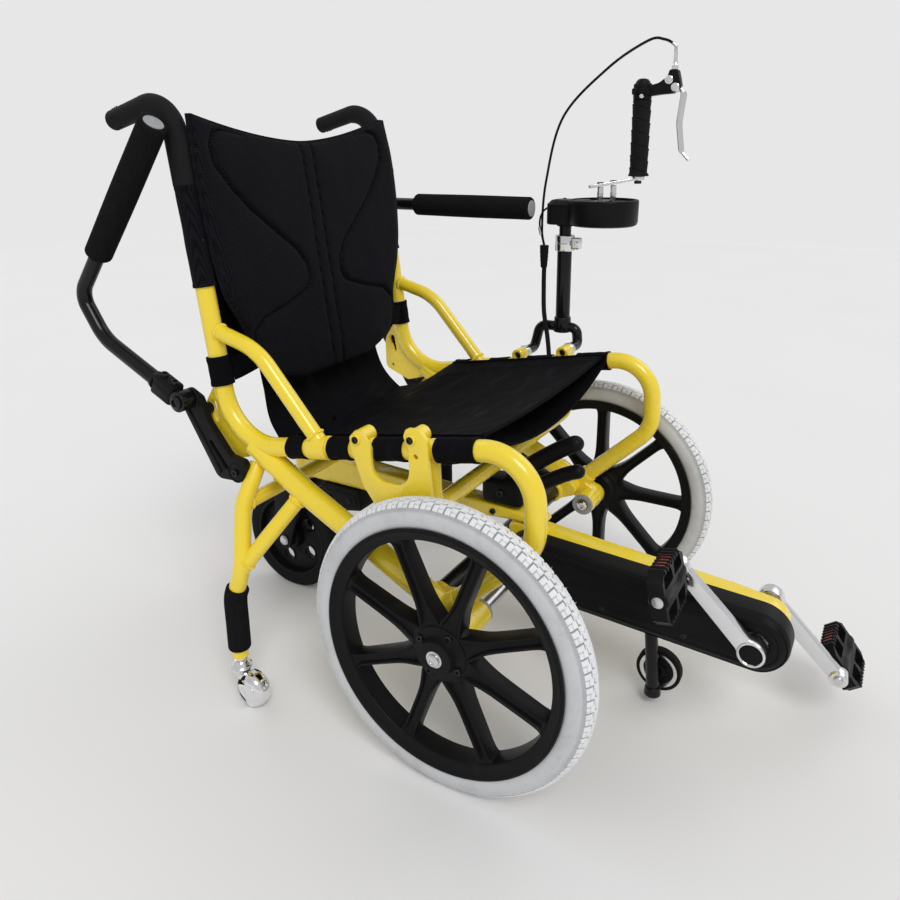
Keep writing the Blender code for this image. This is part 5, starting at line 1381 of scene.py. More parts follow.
def build_cranks():
    """The spindle with its sprocket and the two polished cranks."""
    at = CRANK_AT
    spindle = merged(
        rod((-0.0665, *at), (0.0665, *at), 0.0095), sprocket_shape(at),
        rod((SPROCKET_X - 0.006, *at), (SPROCKET_X + 0.006, *at), 0.016))
    piece("spindle", spindle, "steel", "cranks", ["crank_spindle"])
    for side, name, tip in crank_sides():
        boss = softened(
            mm((17.8, 60), (17.8, 80.6), (15, 81.4), (14, 80), (0, 80), (0, 60)), mm(0.8, 1, 0.4, 0, 0, 0))
        end = mm(
            (0, 83.5), (5.8, 83.5), (6.2, 82.8), (11.8, 82.4), (12.6, 81.2), (12.6, 66), (10.8, 64),
            (0, 64))
        arm = merged(
            plate([crank_outline(at, tip)], side * 0.0668, side * 0.08, 0.0026, 4),
            lathe(boss, (0, *at), (side, 0, 0), 56), lathe(end, (0, *tip), (side, 0, 0), 48),
            rod((side * 0.07, *tip), (side * 0.0935, *tip), 0.0078, 0.007),
            rod((side * 0.09, *tip), (side * (PEDAL_INNER + PEDAL_LONG - 0.008), *tip), 0.006))
        piece(name + "_crank_arm", arm, "alloy", "cranks", [name + "_crank"])
        cap = lathe(mm((0, 80.8), (11.6, 80.7), (13, 80.3), (13.8, 79.6), (13.8, 77), (0, 77)),
                    (0, *at), (side, 0, 0), 48)
        piece(name + "_crank_cap", cap, "black_rubber", "cranks")
        mark = Vector(at).lerp(Vector(tip), 0.87)
        pin = merged(
            lathe(mm((0, 0.8), (1.6, 0.6), (2, 0), (0, 0)), (side * 0.08, *mark), (side, 0, 0), 20),
            lathe(
                mm((6.4, 0.8), (7.8, 0.4), (7.8, -0.6), (6.4, -0.6)), (side * 0.066, *tip), (-side, 0, 0),
                32),
            rod((side * 0.064, *tip), (side * 0.06, *tip), 0.0066, 0.0058))
        piece(name + "_crank_fittings", pin, "steel", "cranks")


def toothed(start, end, along_y, teeth, height):
    """Points of a serrated edge between two ends, at a constant depth."""
    points = []
    for index in range(teeth):
        for share, rise in ((0.05, 0.0), (0.25, height), (0.55, height), (0.75, 0.0)):
            points.append((start + (end - start) * (index + share) / teeth, along_y + rise))
    return points


def build_pedals():
    """The resin platform pedals with serrated cages, barrels and reflectors."""
    inner, outer = PEDAL_INNER, PEDAL_INNER + PEDAL_LONG
    half = PEDAL_DEEP / 2
    for side, name, tip in crank_sides():
        upper = toothed(inner + 0.014, outer - 0.01, half - 0.0025, 8, 0.0025)
        lower = [(x, -depth) for x, depth in reversed(upper)]
        cage = [
            (inner, -half + 0.012), (inner, half - 0.012), *upper, (outer, half - 0.012),
            (outer, -half + 0.012), *lower]
        holes = []
        for sign in (-1, 1):
            for start, finish in ((inner + 0.008, inner + 0.042), (inner + 0.047, outer - 0.006)):
                holes.append(
                    rounded(
                        [(start, sign * 0.013), (finish, sign * 0.013),
                         (finish - 0.002, sign * (half - 0.0062)), (start + 0.005, sign * (half - 0.0062))],
                        0.0035, closed=True, step=radians(20)))
        shapes = [plate([cage, *holes], -PEDAL_THICK / 2, PEDAL_THICK / 2, 0.0009, 2)]
        for sign in (-1, 1):
            for index in range(7):
                x = inner + 0.0165 + 0.01 * index
                for face in (-1, 1):
                    tooth = block((face * 0.0095, x - 0.0018, half - 0.0062),
                                  (face * 0.0112, x + 0.0018, half - 0.0028), 0.0005, 2)
                    shapes.append(placed(tooth, Matrix.Scale(sign, 4, Z_AXIS)))
        lay = Matrix(((0, side, 0, 0), (0, 0, 1, 0), (1, 0, 0, 0), (0, 0, 0, 1)))
        body = placed(merged(*shapes), lay)
        barrel = [(0, 0.0006), (0.011, 0.0006), (0.0128, 0.002), (0.0128, PEDAL_LONG * 0.3),
                  (0.0112, PEDAL_LONG * 0.34), (0.0112, PEDAL_LONG * 0.66), (0.0128, PEDAL_LONG * 0.7),
                  (0.0128, PEDAL_LONG - 0.003), (0.0105, PEDAL_LONG - 0.0005), (0, PEDAL_LONG - 0.0005)]
        body = merged(body, lathe(barrel, (side * inner, 0, 0), (side, 0, 0), 40))
        seat = Matrix.Translation((0, *tip)) @ Matrix.Rotation(PEDAL_TILT[name], 4, "X")
        carrier = name + "_pedal_body"
        piece(name + "_cage_pedal", placed(body, seat), "black_plastic", carrier, [name + "_pedal"], 30)
        trim = merged(
            lathe(
                mm((0, 2.2), (5.2, 2), (7.4, 0.6), (7.8, -1.2), (0, -1.2)), (side * outer, 0, 0),
                (side, 0, 0), 32),
            lathe(mm((7, 0.8), (8.8, 0.6), (8.8, -1), (7, -1)), (side * inner, 0, 0), (-side, 0, 0), 32))
        piece(name + "_pedal_trim", placed(trim, seat), "steel", carrier)
        glass = [
            block(
                (side * (inner + 0.03), face * (half - 0.0048), -0.0062),
                (side * (inner + 0.062), face * (half - 0.0014), 0.0062), 0.0007, 2)
            for face in (-1, 1)]
        piece(name + "_pedal_reflectors", placed(merged(*glass), seat), "reflector", carrier)


# Rear wheel, casters and stand


def build_rear_fork():
    """The black fork with its stem, rounded crown and wheel pin."""
    outline = rounded(
        mm((448, 220), (524, 220), (526, 120), (516, 85), (494, 85), (484, 120)), mm(8, 14, 20, 11, 11, 30),
        closed=True)
    inner = rounded(mm((464, 208), (514, 208), (516, 128), (494, 130)), 0.006, closed=True)
    blades = []
    for side in (-1, 1):
        blades.append(plate([outline], side * 0.0245, side * 0.031, 0.002))
        blades.append(plate([inner], side * 0.03, side * 0.0322, 0.001))
    crown = block((-0.033, 0.44, 0.208), (0.033, 0.525, 0.2315), 0.0085, 5)
    fork = merged(
        crown, *blades, rod((0, HEAD_Y, 0.224), (0, HEAD_Y, 0.3), 0.0118),
        lathe(band(0.02, 0, 0.2318, 0.2255, mm(2, 2, 0, 0)), (0, HEAD_Y, 0), Z_AXIS, 48))
    piece("steering_fork", fork, "black_plastic", "fork", ["rear_fork"])
    stack = merged(
        lathe(mm((0, 309.5), (6, 309.5), (7, 308.5), (7.8, 304), (0, 304)), (0, HEAD_Y, 0), Z_AXIS, 32),
        lathe(mm((7, 307.8), (15, 307.8), (16.5, 306.6), (16.5, 303), (7, 303)), (0, HEAD_Y, 0), Z_AXIS, 6),
        lathe(
            mm((11.8, 303), (19.2, 303), (19.6, 302.2), (19.6, 300.8), (11.8, 300.8)), (0, HEAD_Y, 0),
            Z_AXIS, 48),
        rod((-0.033, REAR_Y, REAR_RADIUS), (0.033, REAR_Y, REAR_RADIUS), 0.006),
        hex_head((0.0322, REAR_Y, REAR_RADIUS), X_AXIS, 0.008, 0.0045),
        hex_head((-0.0322, REAR_Y, REAR_RADIUS), (-1, 0, 0), 0.008, 0.0045))
    piece("fork_fittings", stack, "steel", "fork")


def build_rear_wheel():
    """The small steered wheel: a rubber tyre on a disc with five round holes."""
    place = (0, REAR_Y, REAR_RADIUS)
    tread = [(0.079, 0.015), (0.085, 0.0164)]
    crown = [(REAR_RADIUS - 0.006 + 0.006 * cos(a), 0.0105 + 0.0058 * sin(a))
             for a in (radians(80 - 80 * index / 6) for index in range(7))]
    grooves = [(REAR_RADIUS, 0.006), (REAR_RADIUS - 0.0014, 0.0056), (REAR_RADIUS - 0.0014, 0.0044),
               (REAR_RADIUS, 0.004)]
    half = tread + crown + grooves
    profile = half + [(radius, -height) for radius, height in reversed(half)]
    tyre = lathe(profile, place, X_AXIS, 96)
    piece("steered_tyre", tyre, "black_rubber", "steered_wheel", ["rear_wheel"])
    spots = [on_circle(place[1:], 0.047, turn) for turn in turns(5)]
    holes = [circle_outline(spot, 0.013, 28) for spot in spots]
    disc = plate([circle_outline(place[1:], 0.077, 96), *holes], -0.005, 0.005, 0.001, 2)
    rim = softened(
        mm((79.5, 15.8), (79.5, -15.8), (74.5, -15.8), (72.5, -6), (72.5, 6), (74.5, 15.8)), 0.0012)
    hub = softened(mm((22.5, 20), (25, 5), (25, -5), (22.5, -20), (7, -20), (7, 20)), 0.0012)
    lips = [lathe(mm((13, 6.6), (14.8, 6.2), (15.2, 4.6), (13, 4.6)), (0, *spot), (side, 0, 0), 28)
            for spot in spots for side in (-1, 1)]
    piece(
        "steered_wheel_disc",
        merged(disc, lathe(rim, place, X_AXIS, 96), lathe(hub, place, X_AXIS, 56), *lips), "black_plastic",
        "steered_wheel")


def build_casters():
    """The small chrome-hooded casters at the rear corners."""
    wheel_y = CASTER_Y - CASTER_TRAIL
    wheel_z = CASTER_RADIUS + CASTER_CLEAR
    swivel = lathe(
        softened(
            mm((6, 70), (9.2, 69), (15, 60), (15.5, 54), (12, 50), (10, 45), (0, 43), (0, 70)),
            mm(1, 1, 2, 2, 1, 1, 0, 0)),
        (CASTER_X, CASTER_Y, 0), Z_AXIS, 48)
    ring = lathe(mm((12.8, 62.5), (16, 60.5), (17.2, 58), (16, 55.6), (12.8, 54.5)),
                 (CASTER_X, CASTER_Y, 0), Z_AXIS, 48)
    outer = mm(
        (3.5, 16.6), (11, 16.4), (17, 15.6), (21.5, 14.2), (25, 11.8), (27.2, 8.5), (28.4, 4.5), (28.7, 0))
    outer += [(radius, -height) for radius, height in outer[-2::-1]]
    inner = [(radius - 0.0012, height * 0.91) for radius, height in reversed(outer)]
    hood = lathe(outer + inner, (CASTER_X, wheel_y, wheel_z), X_AXIS, 40, radians(-185), radians(186))
    cheeks = []
    outline = rounded(
        [(wheel_y - 0.018, wheel_z + 0.008), (wheel_y - 0.003, wheel_z - 0.015),
         (wheel_y + 0.013, wheel_z - 0.002), (wheel_y + 0.017, wheel_z + 0.01),
         (wheel_y - 0.008, wheel_z + 0.016)],
        mm(4, 4, 10, 4, 6), closed=True, step=radians(12))
    for side in (-1, 1):
        cheeks.append(plate([outline], CASTER_X + side * 0.0146, CASTER_X + side * 0.0164, 0.0008, 2))
        cheeks.append(lathe(mm((0, 1.4), (2.8, 1.1), (3.6, 0), (0, 0)),
                            (CASTER_X + side * 0.0163, wheel_y, wheel_z), (side, 0, 0), 24))
    neck = sweep(
        [(CASTER_X, CASTER_Y, 0.052), (CASTER_X, CASTER_Y - 0.004, 0.043),
         (CASTER_X, wheel_y + 0.006, 0.038)],
        0.0105, 24)
    stem = rod((CASTER_X, CASTER_Y, 0.06), (CASTER_X, CASTER_Y, 0.0757), 0.0075)
    pair("caster_shell", merged(swivel, ring, hood, *cheeks, neck, stem), "chrome_plate", "_caster",
         ["caster_hood"], 40)
    profile = softened(
        [(CASTER_RADIUS, 0.0105), (CASTER_RADIUS, -0.0105), (0.018, -0.0105), (0.0165, -0.007),
         (0.007, -0.007), (0.004, -0.0105), (0.004, 0.0105), (0.007, 0.007), (0.0165, 0.007),
         (0.018, 0.0105)],
        mm(3, 3, 1, 1, 1, 0, 0, 1, 1, 1))
    pair("caster_roller_wheel", lathe(profile, (CASTER_X, wheel_y, wheel_z), X_AXIS, 56), "black_rubber",
         "_caster_roller", ["caster_wheel"])


def build_front_stand():
    """The stand under the boom with its foot and small side wheel."""
    route = rounded(mm((3, -181, 154), (3, -186, 100), (3, -192, 22)), 0.05)
    wheel_x, wheel_y, wheel_z = STAND_WHEEL_AT
    stand = merged(
        sweep(route, 0.0095, 28),
        lathe(
            softened(mm((11.2, 30), (12.8, 16), (10, 14), (0, 14), (0, 30)), mm(2, 2, 1, 0, 0)),
            (0.003, -0.192, 0), Z_AXIS, 32),
        block((-0.014, -0.21, 0.149), (0.02, -0.156, 0.1543), 0.0015),
        rod((0.003, wheel_y, wheel_z), (0.0335, wheel_y, wheel_z), 0.004))
    piece("stand_post", stand, "black_paint", "frame", ["front_stand"])
    tyre = band(STAND_WHEEL_RADIUS, 0.0285, 0.0082, -0.0082, mm(3, 3, 1, 1))
    disc = softened(
        mm((23, 5), (23, -5), (12, -4), (11, -9), (5, -9.5), (5, 9.5), (11, 9), (12, 4)), 0.0008)
    place = STAND_WHEEL_AT
    spokes = [spun(block((wheel_x - 0.0045, wheel_y - 0.0025, wheel_z + 0.01),
                         (wheel_x + 0.0045, wheel_y + 0.0025, wheel_z + 0.026), 0.001), place[1:], turn)
              for turn in turns(6)]
    piece(
        "stand_wheel_core", merged(lathe(disc, place, X_AXIS, 48), *spokes), "black_plastic",
        "stand_roller", ["stand_wheel"])
    piece("stand_wheel_tyre", lathe(tyre, place, X_AXIS, 64), "black_rubber", "stand_roller")
    rim = softened(mm((29.2, 7.2), (29.2, -7.2), (22.2, -6.2), (22.2, 6.2)), 0.001)
    nut = lathe(mm((0, 2.2), (4, 2), (5.4, 0.6), (5.6, 0), (0, 0)),
                (wheel_x + 0.0098, wheel_y, wheel_z), X_AXIS, 24)
    piece("stand_wheel_rim", merged(lathe(rim, place, X_AXIS, 64), nut), "alloy", "stand_roller")


# Soft parts

# Rows of share, y, lift over the rail, half width and sag, then of share, y and z behind the cushion
SEAT_ROWS = (
    (0.0, -0.0105, 0.011, 0.2262, 0.01), (0.1, 0.04, 0.0115, 0.2262, 0.022),
    (0.22, 0.11, 0.0115, 0.2262, 0.03), (0.34, 0.18, 0.0115, 0.2262, 0.034),
    (0.45, 0.245, 0.0115, 0.2262, 0.036), (0.52, 0.279, 0.0115, 0.224, 0.034),
    (0.6, 0.325, -0.012, 0.186, 0.014), (0.7, 0.368, -0.0165, 0.166, 0.006))
SEAT_RISE = ((0.7, 0.368, 0.3715), (0.76, 0.396, 0.402), (0.82, 0.411, 0.446), (1.0, 0.427, 0.54))


def seat_place(share, across):
    """A point of the seat's cloth: share runs from the front hem to the top edge behind the cushion."""
    crown = 1 - across ** 2
    if share <= 0.7:
        y, lift, half, sag = pull_point(SEAT_ROWS, share)
        return Vector((half * across, y, rail_height(y) + lift - sag * crown))
    y, z = pull_point(SEAT_RISE, share)
    half = 0.165 - 0.015 * min(1.0, (share - 0.7) / 0.12)
    return Vector((half * across, y + 0.008 * crown * min(1.0, (share - 0.7) / 0.1), z))


def seat_crease(share, across, height):
    """How far a crease lifts the seat's cloth."""
    lift = 0.0
    folds = (
        (0.5, 0.3, 0.9, 0.03), (0.56, -0.35, -0.8, 0.026), (0.61, 0.1, 0.5, 0.024),
        (0.66, -0.15, -0.4, 0.022), (0.44, -0.6, 1.1, 0.022), (0.4, 0.62, -1.2, 0.024),
        (0.3, 0.15, 0.2, 0.03), (0.58, 0.62, -1.0, 0.02), (0.62, -0.66, 0.9, 0.02),
        (0.53, 0.02, 0.25, 0.018))
    for place, middle, slant, width in folds:
        line = share - place - slant * 0.08 * (across - middle) - 0.012 * sin(9 * across + 5 * place)
        lift += exp(-(line / (0.8 * width)) ** 2) * exp(-((across - middle) / 0.42) ** 2)
    ripple = noise.noise(Vector((across * 5.0, share * 16.0, 3.0)))
    edge = 0.86 - 0.3 * max(0.0, (share - 0.3) / 0.34) ** 2
    ridge = 0.0022 / (1 + exp((edge - abs(across)) / 0.006)) if share < 0.62 else 0.0
    fade = min(1.0, max(0.0, (0.62 - share) / 0.1))
    return height * (0.8 * lift + 0.9 * ripple) * (1 - across ** 6) + ridge * fade


def build_seat(sizes):
    """The sling seat of woven cloth, its rail sleeves and the layer under its front."""
    rows, columns = 150, 96
    grid = []
    for row in range(rows + 1):
        share = row / rows
        line = []
        for column in range(columns + 1):
            across = 2 * column / columns - 1
            place = seat_place(share, across)
            step = 0.004
            along = seat_place(min(1, share + step), across) - seat_place(max(0, share - step), across)
            wide = seat_place(share, min(1, across + step)) - seat_place(share, max(-1, across - step))
            normal = wide.cross(along).normalized()
            line.append(place + normal * seat_crease(share, across, sizes.crease_height))
        grid.append(line)
    cloth = loft(grid, open_rings=True)
    area = sum(face.calc_area() for face in cloth.faces)
    sheet = piece("seat_cloth", cloth, "woven_cloth", "frame", ["seat_sling"], 180)
    thicken(sheet, 0.0022)
    lining = []
    for row in range(25):
        y = -0.018 + 0.118 * row / 24
        line = []
        for column in range(61):
            across = column / 30 - 1
            wave = 0.0012 * noise.noise(Vector((across * 6, y * 40, 9.0)))
            line.append(Vector((0.2203 * across, y, rail_height(y) - 0.042 * (1 - across ** 2) + wave)))
        lining.append(line)
    under = loft(lining, open_rings=True)
    under_area = sum(face.calc_area() for face in under.faces)
    under = piece("seat_lining", under, "woven_cloth", "frame", (), 180)
    thicken(under, 0.0018)
    hem = sweep(
        [seat_place(0.0, 2 * index / 60 - 1) + Vector((0, -0.0005, -0.0006)) for index in range(61)],
        0.0024, 12, flat=0.8)
    low_hem = sweep([(0.2203 * across, -0.018, rail_height(-0.018) - 0.042 * (1 - across ** 2))
                     for across in (index / 30 - 1 for index in range(61))], 0.002, 10)
    fold = sweep([Vector((0.2195, y, rail_height(y) + 0.0145)) for y in
                  (SEAT_FRONT + 0.303 * index / 20 for index in range(21))], 0.0022, 10, flat=0.6)
    piece("seat_hems", merged(hem, low_hem, mirrored(fold), fold), "webbing", "frame")
    sleeves = [cloth_sleeve(rail_point(start), rail_point(finish), SIDE_TUBE + 0.002, start)
               for start, finish in SLEEVE_STATIONS]
    pair("seat_sleeves", merged(*sleeves), "woven_cloth", "frame", (), 60)


def cloth_sleeve(start, finish, radius, seed):
    """A cloth sleeve round a tube, a little slack, with a hem at each end."""
    count = max(8, round((finish - start).length / 0.0015))
    route = [start.lerp(finish, index / count) for index in range(count + 1)]
    rings = []
    for index, (place, side, up) in enumerate(stations(route)):
        share = index / count
        hem = 0.0006 if min(share, 1 - share) * (finish - start).length < 0.006 else 0.0
        ring = []
        for turn in turns(40):
            slack = 0.0007 * noise.noise(Vector((cos(turn) * 2 + seed * 70, sin(turn) * 2, share * 4)))
            reach = radius + hem + slack
            ring.append(place + side * reach * cos(turn) + up * reach * sin(turn))
        rings.append(ring)
    return loft(rings)


def thicken(thing, thickness):
    """Give a sheet its cloth's thickness."""
    thick = thing.modifiers.new("thickness", "SOLIDIFY")
    thick.thickness = thickness
    thick.offset = 0.0


def back_half_width(z):
    """Half the back's width at a height: wide at the shoulders, drawn in at the base."""
    knots = ((0.455, 0.085), (0.47, 0.135), (0.487, 0.165), (0.52, 0.186), (0.552, 0.192), (0.58, 0.205),
             (0.607, 0.219), (0.65, 0.227), (0.72, 0.231), (0.8, 0.2315), (0.862, 0.229))
    return pull_point(knots, z)


def back_spot(across, up, inset):
    """The x and z of a spot on the back; inset draws its outline in from the edge."""
    low, high = CUSHION_Z
    z = low + inset * 0.4 + (high - low - inset * 0.9) * up
    flare = pull_point(PAD_FLARE, z) if across > 0 else 0.0
    x = (back_half_width(z) - inset + flare) * across
    return x, z - 0.0375 * (1 - min(1.0, abs(x) / 0.222) ** 1.7) * up


def seam_gap(x, z):
    """How far a spot of the back is from the curved seam on its side."""
    spot = Vector((abs(x), z))
    gap = 1.0
    for first, second in zip(SEAM, SEAM[1:]):
        along = second - first
        share = min(1.0, max(0.0, (spot - first).dot(along) / along.length_squared))
        gap = min(gap, (spot - first - along * share).length)
    return gap


def pad_shape():
    """The cushion before it is blown up: a crowned body with thick rounded edges."""
    size = 90
    faces = []
    for front in (True, False):
        grid = []
        for row in range(size + 1):
            up = (1 - cos(pi * row / size)) / 2
            line = []
            for column in range(size + 1):
                span = 2 * column / size - 1
                across = sin(pi * span / 2) * 0.55 + span * 0.45
                x, z = back_spot(across, up, PAD_BORDER)
                edge = max(0.0, (1 - abs(across) ** 7) * (1 - abs(2 * up - 1) ** 13)) ** 0.7
                behind = max(0.0, (1 - abs(across) ** 5) * (1 - abs(2 * up - 1) ** 13)) ** 1.3
                fall = 0.0165 + 0.0085 * min(1.0, max(0.0, (z - 0.47) / 0.13))
                depth = 0.0265 + 0.0055 * edge if front else 0.0182 - fall * behind
                line.append(Vector((x, post_depth(z) - depth, z)))
            grid.append(line)
        faces.append(grid)
    shape = merged(*[loft(grid, open_rings=True) for grid in faces])
    bmesh.ops.bridge_loops(shape, edges=[edge for edge in shape.edges if edge.is_boundary])
    bmesh.ops.recalc_face_normals(shape, faces=shape.faces)
    return shape


def pad_hold(place):
    """How firmly the cloth is held at a place: at the seams, at the rim and behind."""
    line = place.y - post_depth(place.z)
    if line > -0.02:
        return 1.0
    near = min(seam_gap(place.x, place.z), abs(abs(place.x) - PAD_CHANNEL) + 0.002)
    return exp(-(near / 0.006) ** 2)


def puffed(shape, hold, cap, voxel=0.004):
    """A pad blown up as cloth and made finer; hold is how firmly a place is kept, cap its farthest move."""
    mesh = bpy.data.meshes.new("pad")
    shape.to_mesh(mesh)
    shape.free()
    thing = bpy.data.objects.new("pad", mesh)
    bpy.context.scene.collection.objects.link(thing)
    even = thing.modifiers.new("even", "REMESH")
    even.mode = "VOXEL"
    even.voxel_size = voxel
    thing.data = baked(thing)
    thing.modifiers.clear()
    group = thing.vertex_groups.new(name="held")
    for vertex in thing.data.vertices:
        group.add([vertex.index], hold(vertex.co), "REPLACE")
    cloth = thing.modifiers.new("air", "CLOTH")
    cloth.settings.quality = 5
    cloth.settings.mass = 0.3
    cloth.settings.use_pressure = True
    cloth.settings.uniform_pressure_force = 4.0
    cloth.settings.effector_weights.gravity = 0.0
    cloth.settings.vertex_group_mass = "held"
    for step in range(1, 21):
        bpy.context.scene.frame_set(step)
    blown = baked(thing)
    for vertex, first in zip(blown.vertices, thing.data.vertices):
        move = vertex.co - first.co
        if move.length > cap:
            vertex.co = first.co + move * cap / move.length
    thing.modifiers.clear()
    thing.data = blown
    bpy.context.scene.frame_set(1)
    thing.modifiers.new("fine", "SUBSURF").levels = 1
    fine = bmesh.new()
    fine.from_mesh(baked(thing))
    bpy.data.objects.remove(thing, do_unlink=True)
    return fine


def sewn(shape, sizes):
    """Press the seams and channels into the front of the cushion."""
    shape.normal_update()
    for vertex in shape.verts:
        x, z = vertex.co.xz
        if vertex.normal.y > -0.2:
            continue
        groove = sizes.seam_depth * exp(-(seam_gap(x, z) / 0.0032) ** 1.3)
        groove += 0.6 * sizes.seam_depth * exp(-(abs(abs(x) - PAD_CHANNEL) / 0.0026) ** 1.3)
        soft = 0.0011 * noise.noise(
            Vector((x * 22, z * 22, 1.7))) + 0.0005 * noise.noise(Vector((x * 60, z * 60, 4.1)))
        vertex.co.y += min(groove, sizes.seam_depth) - soft
    return shape


def build_back(sizes):
    """The padded back with its crown, curved seams and flat border, and the sling behind it."""
    cushion = piece(
        "back_pad", sewn(puffed(pad_shape(), pad_hold, 0.024), sizes), "cloth", "frame", ["back_cushion"],
        180)
    around = [(-1, step / 40) for step in range(40)] + [(step / 30 - 1, 1) for step in range(60)]
    around += [(1, 1 - step / 40) for step in range(40)] + [(1 - step / 30, 0) for step in range(60)]
    rings = []
    rim = []
    for across, up in around:
        ring = []
        for inset, depth in (
                (-0.0006, 0.0196), (-0.0006, 0.0216), (0.006, 0.024), (0.012, 0.024), (0.012, 0.0186),
                (0.006, 0.0186)):
            x, z = back_spot(across, up, inset)
            ring.append(Vector((x, post_depth(z) - depth, z)))
        rings.append(ring)
        rim.append((ring[0] + ring[1]) / 2)
    border = loft(rings, closed=True)
    piece("back_pad_border", merged(border, sweep(rim + rim[:2], 0.0018, 10)), "cloth", "frame")
    build_back_sling()


def build_back_sling():
    """The cloth behind the cushion, its sleeves on the posts and the straps at its lower corners."""
    low, high = 0.48, 0.762
    grid = []
    for row in range(61):
        z = low + (high - low) * row / 60
        line = []
        for column in range(81):
            across = column / 40 - 1
            wave = 0.0012 * noise.noise(Vector((across * 4, z * 25, 6.0)))
            line.append(
                Vector((0.2213 * across, post_depth(z) + 0.006 + (0.024 + wave) * (1 - across ** 2), z)))
        grid.append(line)
    sheet = loft(grid, open_rings=True)
    area = sum(face.calc_area() for face in sheet.faces)
    sheet = piece("back_cloth", sheet, "woven_cloth", "frame", ["back_sling"], 180)
    thicken(sheet, 0.0022)
    sleeve = cloth_sleeve(
        side_point(post_depth(0.6235), 0.6235), side_point(post_depth(0.7665), 0.7665), SIDE_TUBE + 0.0021,
        0.5)
    pair("back_sleeve", sleeve, "cloth", "frame", (), 60)
    band = cloth_sleeve(
        side_point(post_depth(0.479), 0.479), side_point(post_depth(0.522), 0.522), SIDE_TUBE + 0.0028, 0.9)
    strap = strap_shape(
        [(0.22, post_depth(0.5) - 0.01, 0.5), (0.2, 0.4, 0.503), (0.165, 0.404, 0.506)], 0.036, 0.0022)
    pair("back_strap", merged(band, strap), "webbing", "frame", (), 60)
    screw = socket_screw(
        side_point(post_depth(0.69) - 0.0145, 0.69), (0, -1, 0.1), 0.0034, 0.0022, domed=True)
    pair("back_sleeve_screw", screw, "black_oxide", "frame")


def strap_shape(knots, width, thickness, up=Z_AXIS):
    """A flat strap along a route; its width lies along the up direction."""
    route = smooth_route(knots, 14)
    rings = []
    for index, place in enumerate(route):
        ahead = route[min(index + 1, len(route) - 1)] - route[max(index - 1, 0)]
        wide = Vector(up) - ahead.normalized() * ahead.normalized().dot(Vector(up))
        wide = wide.normalized() * width / 2
        thick = ahead.cross(wide).normalized() * thickness / 2
        rings.append(
            [place + wide - thick, place + wide + thick, place - wide + thick, place - wide - thick])
    return loft(rings)


def build_push_grips():
    """The rubber grips on the ends of the back posts."""
    start = side_point(post_depth(0.7655), 0.7655)
    route = rounded([start, side_point(*SIDE_PATH[4]), side_point(0.5885, 0.8565)], 0.05, step=radians(4))
    shares = [index / (len(route) - 1) for index in range(len(route))]
    radii = [1.0 - 0.1 * max(0.0, share - 0.8) / 0.2 + (0.035 if share < 0.04 else 0.0) for share in shares]
    grip = merged(
        sweep(route, 0.0166, 36, radii, edge=0.002),
        *[weld(place, way, 0.016 * scale, 0.001, 1) for place, way, scale in grip_rings(route)])
    pair("push_handle_grip", grip, "black_rubber", "frame", ["push_grip"])


def grip_rings(route):
    """Places of the raised rings near a push grip's end."""
    end, before = route[-1], route[-2]
    way = (end - before).normalized()
    return [(end - way * distance, way, 0.93 + distance * 2) for distance in (0.01, 0.015, 0.02)]


def build_foam_sleeves():
    """The foam sleeves round the caster legs."""
    route = smooth_route(
        [(CASTER_X, CASTER_Y, 0.089), (CASTER_X, CASTER_Y, 0.13), (CASTER_X, 0.3522, 0.172),
         (0.2988, 0.3467, 0.192)],
        30)
    made = pair("leg_foam", sweep(route, 0.017, 40, edge=0.004), "foam", "frame", ["foam_sleeve"])


# Armrests


